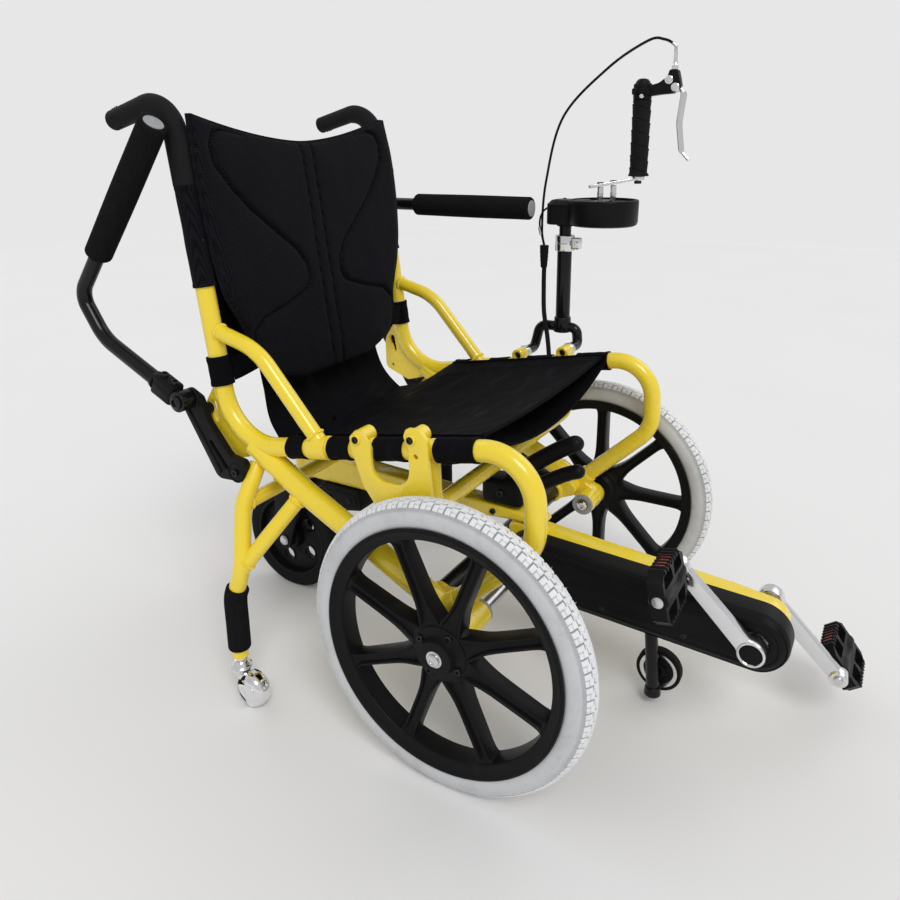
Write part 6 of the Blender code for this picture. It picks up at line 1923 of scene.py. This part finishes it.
def build_armrests():
    """The swing-up armrests with their foam pads."""
    top = ARM_PATH[-1][1]
    front, rear = PAD_Y
    for side, name in ((-1, "right"), (1, "left")):

        def part(kind, shape, finish, nodes=()):
            shape = spun(shape, ARM_PIVOT, ARM_RAISED[name])
            return piece(name + kind, shape, finish, name + "_armrest", nodes)

        x = side * ARM_X
        route = rounded([(x, y, z) for y, z in ARM_PATH], mm(80, 30), step=radians(4))
        hub = band(0.0155, 0.0066, 0.0115, -0.0115, 0.0012)
        arm = merged(
            sweep(route, ARM_TUBE + 0.0009, 32, edge=0.0008), lathe(hub, (x, *ARM_PIVOT), X_AXIS, 44))
        part("_arm_tube", arm, "black_paint", [name + "_armrest_tube"])
        lean = Matrix.Translation(route[0]) @ turn_to((route[1] - route[0]).normalized())
        socket = block((-0.0128, -0.0165, 0.013), (0.0128, 0.0165, 0.056), 0.005, 4)
        rib = block((-0.0134, -0.006, 0.018), (0.0134, 0.006, 0.052), 0.002)
        collar = lathe(
            softened(mm((13, 62), (15, 54.5), (0, 54.5), (0, 62)), mm(1, 1, 0, 0)), (0, 0, 0), Z_AXIS, 36)
        part("_arm_socket", placed(merged(socket, rib, collar), lean), "black_plastic")
        bolts = [socket_screw((0, face * 0.016, height), (0, face, 0), 0.0058, 0.0046)
                 for face in (-1, 1) for height in (0.023, 0.045)]
        part("_arm_socket_bolts", placed(merged(*bolts), lean), "black_oxide")
        pad = [(x, rear + (front - rear) * (index / 60), top) for index in range(61)]
        swell = [1.0 - 0.012 * cos(2 * pi * index / 60) for index in range(61)]
        pad = part(
            "_arm_pad", sweep(pad, PAD_RADIUS, 44, swell, edge=0.004), "foam", [name + "_armrest_pad"])
        disc = softened(mm((0, 1.6), (13, 1.6), (14.2, 0.6), (14.2, -2), (0, -2)), mm(0, 1, 1, 0, 0))
        part("_arm_pad_disc", lathe(disc, (x, front, top), (0, -1, 0), 44), "grey_cap")
        collar = band(0.0128, ARM_TUBE, 0.006, -0.002, 0.001)
        part("_arm_collar", lathe(collar, (x, rear, top), (0, 1, 0), 36), "black_plastic")
    outline = rounded(
        mm((464, 476), (473.5, 450), (406, 340), (356, 344), (348, 376), (380, 380), (418, 425),
        (433, 462)),
        mm(12, 16, 16, 10, 8, 12, 20, 10), closed=True)
    slot = hull_outline((0.415, 0.395), 0.004, (0.388, 0.362), 0.004, radians(15))
    cheek = plate([outline, slot], 0.2515, 0.263, 0.0025, 4)
    rib = rounded(mm((456, 442), (462, 438), (403, 348), (397, 352)), 0.0028, closed=True)
    parts = [
        cheek, plate([rib], 0.262, 0.265, 0.001), rod((0.259, *ARM_PIVOT), (0.288, *ARM_PIVOT), 0.006),
        rod((0.2403, 0.4355, 0.44), (0.256, 0.4355, 0.44), 0.009, edge=0.001),
        rod((0.2403, 0.434, 0.402), (0.256, 0.434, 0.402), 0.0075, edge=0.001),
        lathe(band(0.016, 0, 0.004, -0.002, mm(2, 1, 0, 0)), (0.26, 0.369, 0.356), X_AXIS, 40),
        lathe(band(0.0145, 0, 0.004, -0.002, mm(2, 1, 0, 0)), (0.26, 0.449, 0.46), X_AXIS, 40)]
    pair("arm_bracket", merged(*parts), "black_plastic", "frame", ["armrest_bracket"])
    screws = [
        socket_screw((0.2878, *ARM_PIVOT), X_AXIS, 0.0105, 0.0042, domed=True),
        socket_screw((0.264, 0.369, 0.356), X_AXIS, 0.0052, 0.003),
        socket_screw((0.2404, 0.4355, 0.44), (-1, 0, 0), 0.0068, 0.004, domed=True),
        socket_screw((0.2404, 0.434, 0.402), (-1, 0, 0), 0.0068, 0.004, domed=True)]
    pair("arm_bracket_screws", merged(*screws), "black_oxide", "frame")


# Steering column


def build_column_base():
    """The arched legs, foot, sleeve and silver clamp that hold the column."""
    front_y, rear_y = LUG_STATIONS
    rear_z = rail_height(rear_y) + LUG_RISE
    front_z = rail_height(front_y) + LUG_RISE
    low = LUG_OUT + 0.006
    arch = sweep(rounded([(low, rear_y, rear_z), (COLUMN_X, rear_y, rear_z), (COLUMN_X, 0.138, 0.493),
                          (COLUMN_X, 0.066, 0.493), (COLUMN_X, front_y, front_z), (low, front_y, front_z)],
                         mm(10, 18, 12, 10), step=radians(6)), 0.0092, 28)
    foot = lathe(softened(mm((16.5, 484), (15, 512), (0, 512), (0, 484)), mm(2, 2, 0, 0)),
                 (COLUMN_X, COLUMN_Y, 0), Z_AXIS, 44)
    sleeve = lathe(band(0.013, 0.011, 0.5, 0.64, 0.0006), (COLUMN_X, COLUMN_Y, 0), Z_AXIS, 44)
    piece("column_legs", merged(arch, foot, sleeve), "black_paint", "frame", ["steering_base"])
    rings = []
    for y, z in ((front_y, front_z), (rear_y, rear_z)):
        rings.append(lathe(band(0.0112, 0, 0.0002, 0.012, mm(1, 1, 0, 0)), (LUG_OUT, y, z), X_AXIS, 40))
        rings.append(
            lathe(mm((11.2, 5.2), (11.8, 5.6), (11.8, 6.6), (11.2, 7)), (LUG_OUT, y, z), X_AXIS, 40))
    piece("column_leg_rings", merged(*rings), "alloy", "frame")
    split = radians(9)
    ring = lathe(band(0.0172, 0.0131, 0.014, -0.014, 0.0012),
                 (COLUMN_X, COLUMN_Y, 0.647), Z_AXIS, 60, -pi / 2 + split, 2 * pi - 2 * split)
    ears = []
    for side in (-1, 1):
        ears.append(block((COLUMN_X + side * 0.0014, COLUMN_Y - 0.03, 0.637),
                          (COLUMN_X + side * 0.0082, COLUMN_Y - 0.014, 0.657), 0.0018))
    bolt = merged(
        rod((COLUMN_X - 0.01, COLUMN_Y - 0.024, 0.647), (COLUMN_X + 0.01, COLUMN_Y - 0.024, 0.647), 0.0028),
        socket_screw((COLUMN_X - 0.008, COLUMN_Y - 0.024, 0.647), (-1, 0, 0), 0.0046, 0.004),
        hex_head((COLUMN_X + 0.008, COLUMN_Y - 0.024, 0.647), X_AXIS, 0.0046, 0.0036))
    groove = lathe(
        mm((17.2, 1.2), (17.8, 0.6), (17.8, -0.6), (17.2, -1.2)), (COLUMN_X, COLUMN_Y, 0.647), Z_AXIS, 60,
        -pi / 2 + 0.9, 2 * pi - 1.8)
    piece("column_clamp", merged(ring, *ears, bolt, groove), "alloy", "frame")


def build_column():
    """The sliding column and the black housing with its open drum recess."""
    bottom, top = HOUSING_Z
    piece("column_tube", rod((COLUMN_X, COLUMN_Y, 0.5285), (COLUMN_X, COLUMN_Y, bottom), 0.0106, sides=40),
          "black_paint", "column", ["steering_column"])
    puck = lathe(
        [(0.0, top - 0.0118), (0.054, top - 0.0118), (0.0545, top - 0.0108), (0.0548, top + 0.0004),
         (0.0556, top + 0.0012), (0.0584, top + 0.001), (PULLEY_CASE - 0.0002, top - 0.0006),
         (PULLEY_CASE, top - 0.003), (PULLEY_CASE - 0.0004, bottom + 0.007),
         (PULLEY_CASE - 0.0022, bottom + 0.0022), (PULLEY_CASE - 0.006, bottom), (0, bottom)],
        (COLUMN_X, PULLEY_Y, 0), Z_AXIS, 96)
    half = 0.03
    outline = rounded([(COLUMN_X - half, 0.05), (COLUMN_X + half, 0.05), (COLUMN_X + half, 0.122),
                       (COLUMN_X - half, 0.122)], mm(4, 4, 14, 14), closed=True, step=radians(9))
    rings = []
    for inset, z in (
            (0.0016, bottom), (0.0, bottom + 0.0016), (0.0, 0.713), (0.0009, 0.7132), (0.0009, 0.7138),
            (0.0, 0.714), (0.0, 0.716), (0.006, top - 0.0014), (0.0074, top - 0.0006)):
        centre = Vector((COLUMN_X, 0.086))
        rings.append(
            [Vector((centre.x + (point.x - centre.x) * (1 - inset / half),
            centre.y + (point.y - centre.y) * (1 - inset / 0.036), z))
             for point in outline])
    case = merged(
        puck, loft(rings),
        rod((COLUMN_X, COLUMN_Y, bottom - 0.004), (COLUMN_X, COLUMN_Y, bottom + 0.002), 0.015))
    piece("housing", case, "black_plastic", "column", ["steering_housing"])
    screws = [
        socket_screw((COLUMN_X + side * 0.018, 0.104, top - 0.001), Z_AXIS, 0.0036, 0.0018, domed=True)
        for side in (-1, 1)]
    piece("housing_screws", merged(*screws), "black_oxide", "column")


def build_handgrip(sizes):
    """The cable drum, its standoffs, the link bar and the taped handgrip."""
    top = HOUSING_Z[1]
    drum = merged(
        lathe(
            softened(
                mm((52.5, -11.5), (52.5, -4.2), (49, -3), (44, -3), (42, -5), (20, -5), (18, -3), (0, -3),
                (0, -11.5)),
                mm(1, 1, 1, 1, 1, 1, 1, 0, 0)),
            (COLUMN_X, PULLEY_Y, top), Z_AXIS, 96),
        block(
            (COLUMN_X - 0.03, PULLEY_Y - 0.01, top - 0.005),
            (COLUMN_X + 0.03, PULLEY_Y + 0.016, top - 0.0006), 0.0014))
    piece("cable_drum", drum, "black_oxide", "steering", ["steering_arm"])
    link_start = Vector((0.292, 0.04, top + 0.024))
    link_end = Vector((*GRIP_AT, 0.7595))
    length = (link_end - link_start).length
    outline = rounded(
        [(-length - 0.01, -0.009), (-length - 0.01, 0.009), (0.01, 0.009), (0.01, -0.009)], mm(7, 7, 4, 4),
        closed=True)
    bar = plate([outline], -0.0024, 0.0024, 0.0008, 2)
    flat = Matrix(((0, 0, 1, 0), (0, 1, 0, 0), (-1, 0, 0, 0), (0, 0, 0, 1)))
    lean = Vector((0, -1, 0)).rotation_difference((link_end - link_start).normalized()).to_matrix().to_4x4()
    bar = placed(bar, Matrix.Translation(link_start) @ lean @ flat)
    posts = []
    screws = []
    for x, y, z in ((0.2955, 0.03, top + 0.0245), (0.3075, 0.011, top + 0.0275)):
        posts.append(
            lathe(
                softened(
                    [(0.0052, top - 0.004), (0.0052, z - 0.003), (0.004, z - 0.0022), (0.0, z - 0.0022),
                     (0, top - 0.004)],
                    mm(0.6, 0.6, 0, 0, 0)),
                (x, y, 0), Z_AXIS, 32))
        posts.append(
            lathe(
                [(0.0052, top + 0.01), (0.0057, top + 0.0106), (0.0057, top + 0.0122),
                 (0.0052, top + 0.0128)],
                (x, y, 0), Z_AXIS, 32))
        screws.append(socket_screw((x, y, z + 0.0008), Z_AXIS, 0.006, 0.005))
    screws.append(socket_screw((*GRIP_AT, 0.7562), (0, 0, -1), 0.0062, 0.005))
    piece("link_bar", merged(bar, *posts), "alloy", "steering")
    piece("link_bar_screws", merged(*screws), "black_oxide", "steering")
    stem = merged(
        rod((*GRIP_AT, 0.76), (*GRIP_AT, 0.889), 0.008),
        lathe(band(0.011, 0, 0.757, 0.764, mm(1, 1, 0, 0)), (*GRIP_AT, 0), Z_AXIS, 36))
    piece("grip_stem", stem, "alloy", "steering")
    rings = []
    rows, sides = 150, 48
    low, high = GRIP_Z
    for row in range(rows + 1):
        share = row / rows
        z = low + (high - low) * share
        flare = 0.0022 * exp(-(share / 0.035) ** 2) + 0.0006 * exp(-((1 - share) / 0.03) ** 2)
        ring = []
        for index, turn in enumerate(turns(sides)):
            wrap = (share * sizes.tape_turns + index / sides) % 1.0
            edge = 0.0011 * wrap - 0.0011 * exp(-(wrap / 0.05) ** 2)
            edge += 0.0004 * exp(-((wrap - 0.93) / 0.04) ** 2)
            soft = 0.00025 * noise.noise(Vector((cos(turn) * 3, sin(turn) * 3, share * 30)))
            ring.append(Vector((*on_circle(GRIP_AT, 0.0144 + edge + flare + soft, turn), z)))
        rings.append(ring)
    piece("taped_grip", loft(rings), "black_rubber", "steering", ["steering_grip"], 50)


def build_brake():
    """The brake lever's clamp, body, adjuster and silver blade."""
    x = GRIP_AT[0]
    bottom = GRIP_Z[1] + 0.0003
    knurl = [on_circle((0, 0), 0.0148 + 0.0004 * (index % 2), turn) for index, turn in enumerate(turns(48))]
    clamp = loft(
        [[Vector((x + a * scale, GRIP_AT[1] + b * scale, z)) for a, b in knurl]
         for scale, z in (
             (0.92, bottom), (0.99, bottom + 0.0012), (1.0, bottom + 0.004), (1.0, 0.899), (0.965, 0.8996),
             (0.965, 0.9012), (1.0, 0.9018), (1.0, 0.911), (0.97, 0.9128), (0.86, 0.914))])
    cap = lathe(mm((0, 921.8), (5, 921.4), (8.6, 920), (11.8, 916), (12.4, 912), (0, 912)),
                (*GRIP_AT, 0), Z_AXIS, 36)
    wedge = rounded(
        mm((-33, 892.5), (-33, 909), (-52, 913), (-66, 923), (-69, 933), (-82, 933), (-86, 918), (-89, 903),
        (-76, 896), (-56, 895)),
        mm(0, 0, 20, 10, 3, 4, 20, 5, 10, 20), closed=True)
    body = plate([wedge], x - 0.0092, x + 0.0092, 0.0022, 4)
    ridge = lathe(band(0.0172, 0.014, 0.896, 0.906, 0.0012), (*GRIP_AT, 0), Z_AXIS, 48)
    lugs = [
        block(
            (x - 0.02, GRIP_AT[1] + y - 0.0045, 0.8965), (x - 0.012, GRIP_AT[1] + y + 0.0045, 0.9055),
            0.0016)
        for y in (-0.006, 0.008)]
    piece(
        "brake_body", merged(clamp, cap, body, ridge, *lugs), "black_plastic", "steering", ["brake_clamp"])
    barrel = lathe(
        mm((3, 923.5), (5.6, 923.5), (5.6, 926.2), (4.8, 926.8), (4.8, 933), (5.4, 933.4), (5.4, 939.2),
        (4.8, 939.8), (4, 945), (3.2, 945.6), (3.2, 960.2), (2.6, 960.6), (2.2, 960.6), (2.2, 923.5)),
        (x, -0.0755, 0), Z_AXIS, 32)
    discs = [
        lathe(
            mm((0, 1.8), (3, 1.8), (3.4, 1.2), (6, 1.2), (7, 0.4), (7, -1), (0, -1)),
            (x + side * 0.0098, y, z), (side, 0, 0), 32)
        for side in (-1, 1) for y, z in ((-0.08, 0.905), (-0.069, 0.917))]
    screw = socket_screw((x - 0.0155, GRIP_AT[1] - 0.004, 0.893), (-1, 0, 0), 0.0036, 0.0028)
    piece("brake_fittings", merged(barrel, *discs, screw), "chrome_plate", "steering")
    route = rounded([(x, -0.08, 0.909), (x, -0.093, 0.898), (x, -0.088, 0.85), (x, -0.0945, 0.805),
                     (x, -0.108, 0.7905)], mm(12, 60, 12), step=radians(4))
    route = smooth_route(route, 60)
    shares = [index / (len(route) - 1) for index in range(len(route))]
    radii = [
        0.8 + 0.25 * sin(pi * min(1, share * 1.1)) + (0.22 if share > 0.95 else 0.0) for share in shares]
    blade = sweep(route, 0.0052, 24, radii, edge=0.0008, flat=0.6)
    boss = lathe(band(0.0078, 0, 0.0044, -0.0044, mm(1, 1, 0, 0)), (x, -0.08, 0.905), X_AXIS, 36)
    piece("lever_blade", merged(blade, boss), "alloy", "lever", ["brake_lever"])


def build_cables():
    """The brake cable, a second cable, their joiner and the hose behind the seat rail."""
    route = smooth_route(BRAKE_CABLE, 90)
    cable = piece("brake_hose", sweep(route, 0.0022, 14), "black_rubber", None, ["brake_cable"])
    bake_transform(cable)
    silver = piece("brake_hose_end", sweep(route[:16], 0.0027, 14, edge=0.0004), "steel", None)
    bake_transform(silver)
    second = sweep(smooth_route(SECOND_CABLE, 40), 0.0017, 12)
    piece("drum_cable", second, "black_rubber", "column")
    ferrules = merged(
        rod((CABLE_X, 0.1462, 0.672), (CABLE_X, 0.1428, 0.6585), 0.0029, edge=0.0005),
        rod((CABLE_X, 0.12, 0.7062), (CABLE_X, 0.1262, 0.7074), 0.0031, edge=0.0005))
    piece("cable_ferrules", ferrules, "steel", "column")
    joiner = []
    for step in range(19):
        share = step / 18
        z = 0.64 - 0.041 * share
        half = 0.0068 - 0.0016 * share
        deep = 0.008 - 0.0024 * share
        soft = 0.92 if step in (0, 18) else 1.0
        ring = []
        for turn in turns(28):
            across = copysign(abs(cos(turn)) ** 0.7, cos(turn))
            back = copysign(abs(sin(turn)) ** 0.7, sin(turn))
            rib = 0.0005 if 3 < step < 15 and step % 3 == 0 else 0.0
            ring.append(
                Vector((CABLE_X + (half + rib) * soft * across, 0.1356 + (deep + rib) * soft * back, z)))
        joiner.append(ring)
    piece("cable_boot", loft(joiner), "black_rubber", "column", ["cable_joiner"])
    route = smooth_route(CONTROL_HOSE, 110)
    hose = piece("cable_hose", sweep(route, 0.0042, 18), "black_rubber", None, ["control_hose"])
    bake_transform(hose)


def build_lever_bracket():
    """The black moulded bracket over the boom with its two padded arms."""
    body = block((-0.023, 0.02, 0.2768), (0.023, 0.09, 0.318), 0.009, 5)
    arms = []
    for knots, radius in (
            ([(0.004, 0.06, 0.3), (0.004, 0.02, 0.34), (0.004, -0.03, 0.378), (0.004, -0.066, 0.398)],
             0.014),
            ([(0.004, 0.05, 0.285), (0.004, 0.0, 0.315), (0.004, -0.04, 0.34), (0.004, -0.07, 0.353)],
             0.012)):
        route = smooth_route(knots, 40)
        radii = []
        for index in range(41):
            share = index / 40
            tip = max(0.0, (share - 0.88) / 0.12)
            radii.append(sqrt(max(0.04, 1 - tip ** 2)) * (1 - 0.1 * share))
        arms.append(sweep(route, radius, 32, radii))
    piece("lever_moulding", merged(body, *arms), "black_plastic", "frame", ["lever_bracket"])
    screws = [socket_screw((side * 0.0228, 0.055, 0.298), (side, 0, 0), 0.0058, 0.0034) for side in (-1, 1)]
    piece("lever_moulding_screws", merged(*screws), "black_oxide", "frame")


def build_fasteners():
    """The screws in the rail lugs."""
    screws = []
    for y in LUG_STATIONS:
        z = rail_height(y) + LUG_RISE
        screws.append(socket_screw((LUG_OUT - 0.0213, y, z), (-1, 0, 0), 0.0052, 0.003, domed=True))
    pair("rail_lug_screws", merged(*screws), "black_oxide", "frame")


# Stage


def build_stage():
    """The pale floor and backdrop, the soft lamps and the camera."""
    scene = bpy.context.scene
    scene.view_settings.view_transform = "Standard"
    world = bpy.data.worlds.new("studio")
    world.use_nodes = True
    scene.world = world
    tree = world.node_tree
    rays = tree.nodes.new("ShaderNodeLightPath")
    seen = tree.nodes.new("ShaderNodeMath")
    seen.operation = "MAXIMUM"
    tree.links.new(rays.outputs["Is Camera Ray"], seen.inputs[0])
    tree.links.new(rays.outputs["Is Transmission Ray"], seen.inputs[1])
    glow = tree.nodes["Background"]
    glow.inputs["Color"].default_value = (0.97, 0.98, 1.0, 1)
    glow.inputs["Strength"].default_value = 0.6
    wall = tree.nodes.new("ShaderNodeBackground")
    wall.inputs["Color"].default_value = (0.8, 0.8, 0.8, 1)
    blend = tree.nodes.new("ShaderNodeMixShader")
    tree.links.new(seen.outputs[0], blend.inputs[0])
    tree.links.new(glow.outputs[0], blend.inputs[1])
    tree.links.new(wall.outputs[0], blend.inputs[2])
    tree.links.new(blend.outputs[0], tree.nodes["World Output"].inputs["Surface"])
    centre = (CAD_LOW + CAD_HIGH) / 2
    floor_shape = bmesh.new()
    bmesh.ops.create_grid(floor_shape, x_segments=2, y_segments=2, size=6.0)
    floor_mesh = bpy.data.meshes.new("floor")
    floor_shape.to_mesh(floor_mesh)
    floor_shape.free()
    floor = bpy.data.objects.new("floor", floor_mesh)
    floor.location = (centre.x, centre.y, CAD_LOW.z)
    scene.collection.objects.link(floor)
    tile = Paint("floor", (0.84, 0.83, 0.81), 0.6, specular=0.2)
    tile.link(tile.tone(tile.noise(1.4, 3.0), (0.82, 0.81, 0.8), (0.86, 0.85, 0.84)), "Base Color")
    floor_mesh.materials.append(tile.material)
    for name, place, softness, strength in (
            ("key", (-1.5, -1.6, 2.4), 24.0, 1.15), ("fill", (1.9, -1.0, 1.7), 40.0, 0.35),
            ("rear", (0.3, 2.2, 1.9), 40.0, 0.3)):
        lamp = bpy.data.lights.new(name, "SUN")
        lamp.angle = radians(softness)
        lamp.energy = strength
        light = bpy.data.objects.new(name, lamp)
        light.rotation_mode = "QUATERNION"
        light.rotation_quaternion = (-Vector(place)).to_track_quat("-Z", "Y")
        scene.collection.objects.link(light)
    lens = bpy.data.cameras.new("camera")
    lens.lens = CAMERA_LENS
    lens.sensor_width = 36.0
    lens.shift_y = CAMERA_SHIFT
    lens.clip_start = 0.05
    lens.clip_end = 50.0
    camera = bpy.data.objects.new("camera", lens)
    yaw, pitch, roll = CAMERA_YAW, CAMERA_PITCH, CAMERA_ROLL
    ahead = Vector((cos(pitch) * cos(yaw), cos(pitch) * sin(yaw), sin(pitch)))
    level = ahead.cross(Vector(Z_AXIS)).normalized()
    upright = level.cross(ahead)
    across = cos(roll) * level + sin(roll) * upright
    above = cos(roll) * upright - sin(roll) * level
    turn = Matrix((across, above, -ahead)).transposed()
    camera.matrix_world = Matrix.Translation(Vector(CAMERA_AT) + SHIFT) @ turn.to_4x4()
    scene.collection.objects.link(camera)
    scene.camera = camera


# Operators and panel


class CHAIR_OT_side_frames(bpy.types.Operator):
    """Bend both side tubes with their lugs and braces"""
    bl_idname = "chair.side_frames"
    bl_label = "Side frames"

    def execute(self, context):
        build_side_frames()
        return {"FINISHED"}


class CHAIR_OT_lower_frame(bpy.types.Operator):
    """Build the lower tubes, caster legs and cross bars"""
    bl_idname = "chair.lower_frame"
    bl_label = "Lower frame"

    def execute(self, context):
        build_lower_frame()
        return {"FINISHED"}


class CHAIR_OT_lug_plate(bpy.types.Operator):
    """Cut the plate on the right seat rail"""
    bl_idname = "chair.lug_plate"
    bl_label = "Lug plate"

    def execute(self, context):
        build_lug_plate()
        return {"FINISHED"}


class CHAIR_OT_boom_and_spine(bpy.types.Operator):
    """Build the boom, the spine and its steering head"""
    bl_idname = "chair.boom_and_spine"
    bl_label = "Boom and spine"

    def execute(self, context):
        build_boom_and_spine()
        return {"FINISHED"}


class CHAIR_OT_tyres(bpy.types.Operator):
    """Build both grey tyres with their blocks"""
    bl_idname = "chair.tyres"
    bl_label = "Tyres"

    def execute(self, context):
        build_tyres(context.scene.chair_sizes)
        return {"FINISHED"}


class CHAIR_OT_wheels(bpy.types.Operator):
    """Mould both spoked wheels"""
    bl_idname = "chair.wheels"
    bl_label = "Wheels"

    def execute(self, context):
        build_wheels(context.scene.chair_sizes)
        return {"FINISHED"}


class CHAIR_OT_axles(bpy.types.Operator):
    """Turn the driven axle and the stub axle"""
    bl_idname = "chair.axles"
    bl_label = "Axles"

    def execute(self, context):
        build_axles()
        return {"FINISHED"}


class CHAIR_OT_chain(bpy.types.Operator):
    """Link the drive chain"""
    bl_idname = "chair.chain"
    bl_label = "Chain"

    def execute(self, context):
        build_chain(context.scene.chair_sizes)
        return {"FINISHED"}


class CHAIR_OT_chain_case(bpy.types.Operator):
    """Mould the case over the chain"""
    bl_idname = "chair.chain_case"
    bl_label = "Chain case"

    def execute(self, context):
        build_chain_case()
        return {"FINISHED"}


class CHAIR_OT_cranks(bpy.types.Operator):
    """Forge both cranks on their spindle"""
    bl_idname = "chair.cranks"
    bl_label = "Cranks"

    def execute(self, context):
        build_cranks()
        return {"FINISHED"}


class CHAIR_OT_pedals(bpy.types.Operator):
    """Mould both pedals"""
    bl_idname = "chair.pedals"
    bl_label = "Pedals"

    def execute(self, context):
        build_pedals()
        return {"FINISHED"}


class CHAIR_OT_rear_fork(bpy.types.Operator):
    """Build the steered fork"""
    bl_idname = "chair.rear_fork"
    bl_label = "Rear fork"

    def execute(self, context):
        build_rear_fork()
        return {"FINISHED"}


class CHAIR_OT_rear_wheel(bpy.types.Operator):
    """Build the steered wheel"""
    bl_idname = "chair.rear_wheel"
    bl_label = "Rear wheel"

    def execute(self, context):
        build_rear_wheel()
        return {"FINISHED"}


class CHAIR_OT_casters(bpy.types.Operator):
    """Build both hooded casters"""
    bl_idname = "chair.casters"
    bl_label = "Casters"

    def execute(self, context):
        build_casters()
        return {"FINISHED"}


class CHAIR_OT_front_stand(bpy.types.Operator):
    """Build the stand and its small wheel"""
    bl_idname = "chair.front_stand"
    bl_label = "Front stand"

    def execute(self, context):
        build_front_stand()
        return {"FINISHED"}


class CHAIR_OT_seat(bpy.types.Operator):
    """Sew the sling seat"""
    bl_idname = "chair.seat"
    bl_label = "Seat"

    def execute(self, context):
        build_seat(context.scene.chair_sizes)
        return {"FINISHED"}


class CHAIR_OT_back(bpy.types.Operator):
    """Sew the back cushion and its sling"""
    bl_idname = "chair.back"
    bl_label = "Back"

    def execute(self, context):
        build_back(context.scene.chair_sizes)
        return {"FINISHED"}


class CHAIR_OT_push_grips(bpy.types.Operator):
    """Fit the grips on the push handles"""
    bl_idname = "chair.push_grips"
    bl_label = "Push grips"

    def execute(self, context):
        build_push_grips()
        return {"FINISHED"}


class CHAIR_OT_foam_sleeves(bpy.types.Operator):
    """Fit the foam round the caster legs"""
    bl_idname = "chair.foam_sleeves"
    bl_label = "Foam sleeves"

    def execute(self, context):
        build_foam_sleeves()
        return {"FINISHED"}


class CHAIR_OT_armrests(bpy.types.Operator):
    """Build both armrests and their brackets"""
    bl_idname = "chair.armrests"
    bl_label = "Armrests"

    def execute(self, context):
        build_armrests()
        return {"FINISHED"}


class CHAIR_OT_column_base(bpy.types.Operator):
    """Build the legs and clamp that hold the column"""
    bl_idname = "chair.column_base"
    bl_label = "Column base"

    def execute(self, context):
        build_column_base()
        return {"FINISHED"}


class CHAIR_OT_column(bpy.types.Operator):
    """Build the sliding column and its housing"""
    bl_idname = "chair.column"
    bl_label = "Column"

    def execute(self, context):
        build_column()
        return {"FINISHED"}


class CHAIR_OT_handgrip(bpy.types.Operator):
    """Build the drum, the link bar and the taped grip"""
    bl_idname = "chair.handgrip"
    bl_label = "Handgrip"

    def execute(self, context):
        build_handgrip(context.scene.chair_sizes)
        return {"FINISHED"}


class CHAIR_OT_brake(bpy.types.Operator):
    """Build the brake lever with its clamp"""
    bl_idname = "chair.brake"
    bl_label = "Brake lever"

    def execute(self, context):
        build_brake()
        return {"FINISHED"}


class CHAIR_OT_cables(bpy.types.Operator):
    """Run the cables and the hose"""
    bl_idname = "chair.cables"
    bl_label = "Cables"

    def execute(self, context):
        build_cables()
        return {"FINISHED"}


class CHAIR_OT_lever_bracket(bpy.types.Operator):
    """Mould the padded bracket over the boom"""
    bl_idname = "chair.lever_bracket"
    bl_label = "Lever bracket"

    def execute(self, context):
        build_lever_bracket()
        return {"FINISHED"}


class CHAIR_OT_fasteners(bpy.types.Operator):
    """Fit the screws in the rail lugs"""
    bl_idname = "chair.fasteners"
    bl_label = "Fasteners"

    def execute(self, context):
        build_fasteners()
        return {"FINISHED"}


class CHAIR_OT_stage(bpy.types.Operator):
    """Set the floor, the lamps and the camera"""
    bl_idname = "chair.stage"
    bl_label = "Stage"

    def execute(self, context):
        build_stage()
        return {"FINISHED"}


STEPS = (
    CHAIR_OT_side_frames, CHAIR_OT_lower_frame, CHAIR_OT_lug_plate, CHAIR_OT_boom_and_spine, CHAIR_OT_tyres,
    CHAIR_OT_wheels, CHAIR_OT_axles, CHAIR_OT_chain, CHAIR_OT_chain_case, CHAIR_OT_cranks, CHAIR_OT_pedals,
    CHAIR_OT_rear_fork, CHAIR_OT_rear_wheel, CHAIR_OT_casters, CHAIR_OT_front_stand, CHAIR_OT_seat,
    CHAIR_OT_back, CHAIR_OT_push_grips, CHAIR_OT_foam_sleeves, CHAIR_OT_armrests, CHAIR_OT_column_base,
    CHAIR_OT_column, CHAIR_OT_handgrip, CHAIR_OT_brake, CHAIR_OT_cables, CHAIR_OT_lever_bracket,
    CHAIR_OT_fasteners, CHAIR_OT_stage)


class CHAIR_PT_steps(bpy.types.Panel):
    """The chair's sizes, colours and building steps"""
    bl_idname = "CHAIR_PT_steps"
    bl_label = "Pedal wheelchair"
    bl_space_type = "VIEW_3D"
    bl_region_type = "UI"
    bl_category = "Wheelchair"

    def draw(self, context):
        for group in (context.scene.chair_sizes, context.scene.chair_colours):
            for setting in group.__annotations__:
                self.layout.prop(group, setting)
        for step in STEPS:
            self.layout.operator(step.bl_idname)


CLASSES = (ChairSizes, ChairColours, *STEPS, CHAIR_PT_steps)


def register():
    for made in CLASSES:
        bpy.utils.register_class(made)
    bpy.types.Scene.chair_sizes = PointerProperty(type=ChairSizes)
    bpy.types.Scene.chair_colours = PointerProperty(type=ChairColours)


def unregister():
    del bpy.types.Scene.chair_colours
    del bpy.types.Scene.chair_sizes
    for made in reversed(CLASSES):
        bpy.utils.unregister_class(made)


def main():
    """Build the chair."""
    register()
    for step in STEPS:
        getattr(bpy.ops.chair, step.bl_idname.split(".")[1])()


if __name__ == "__main__":
    main()
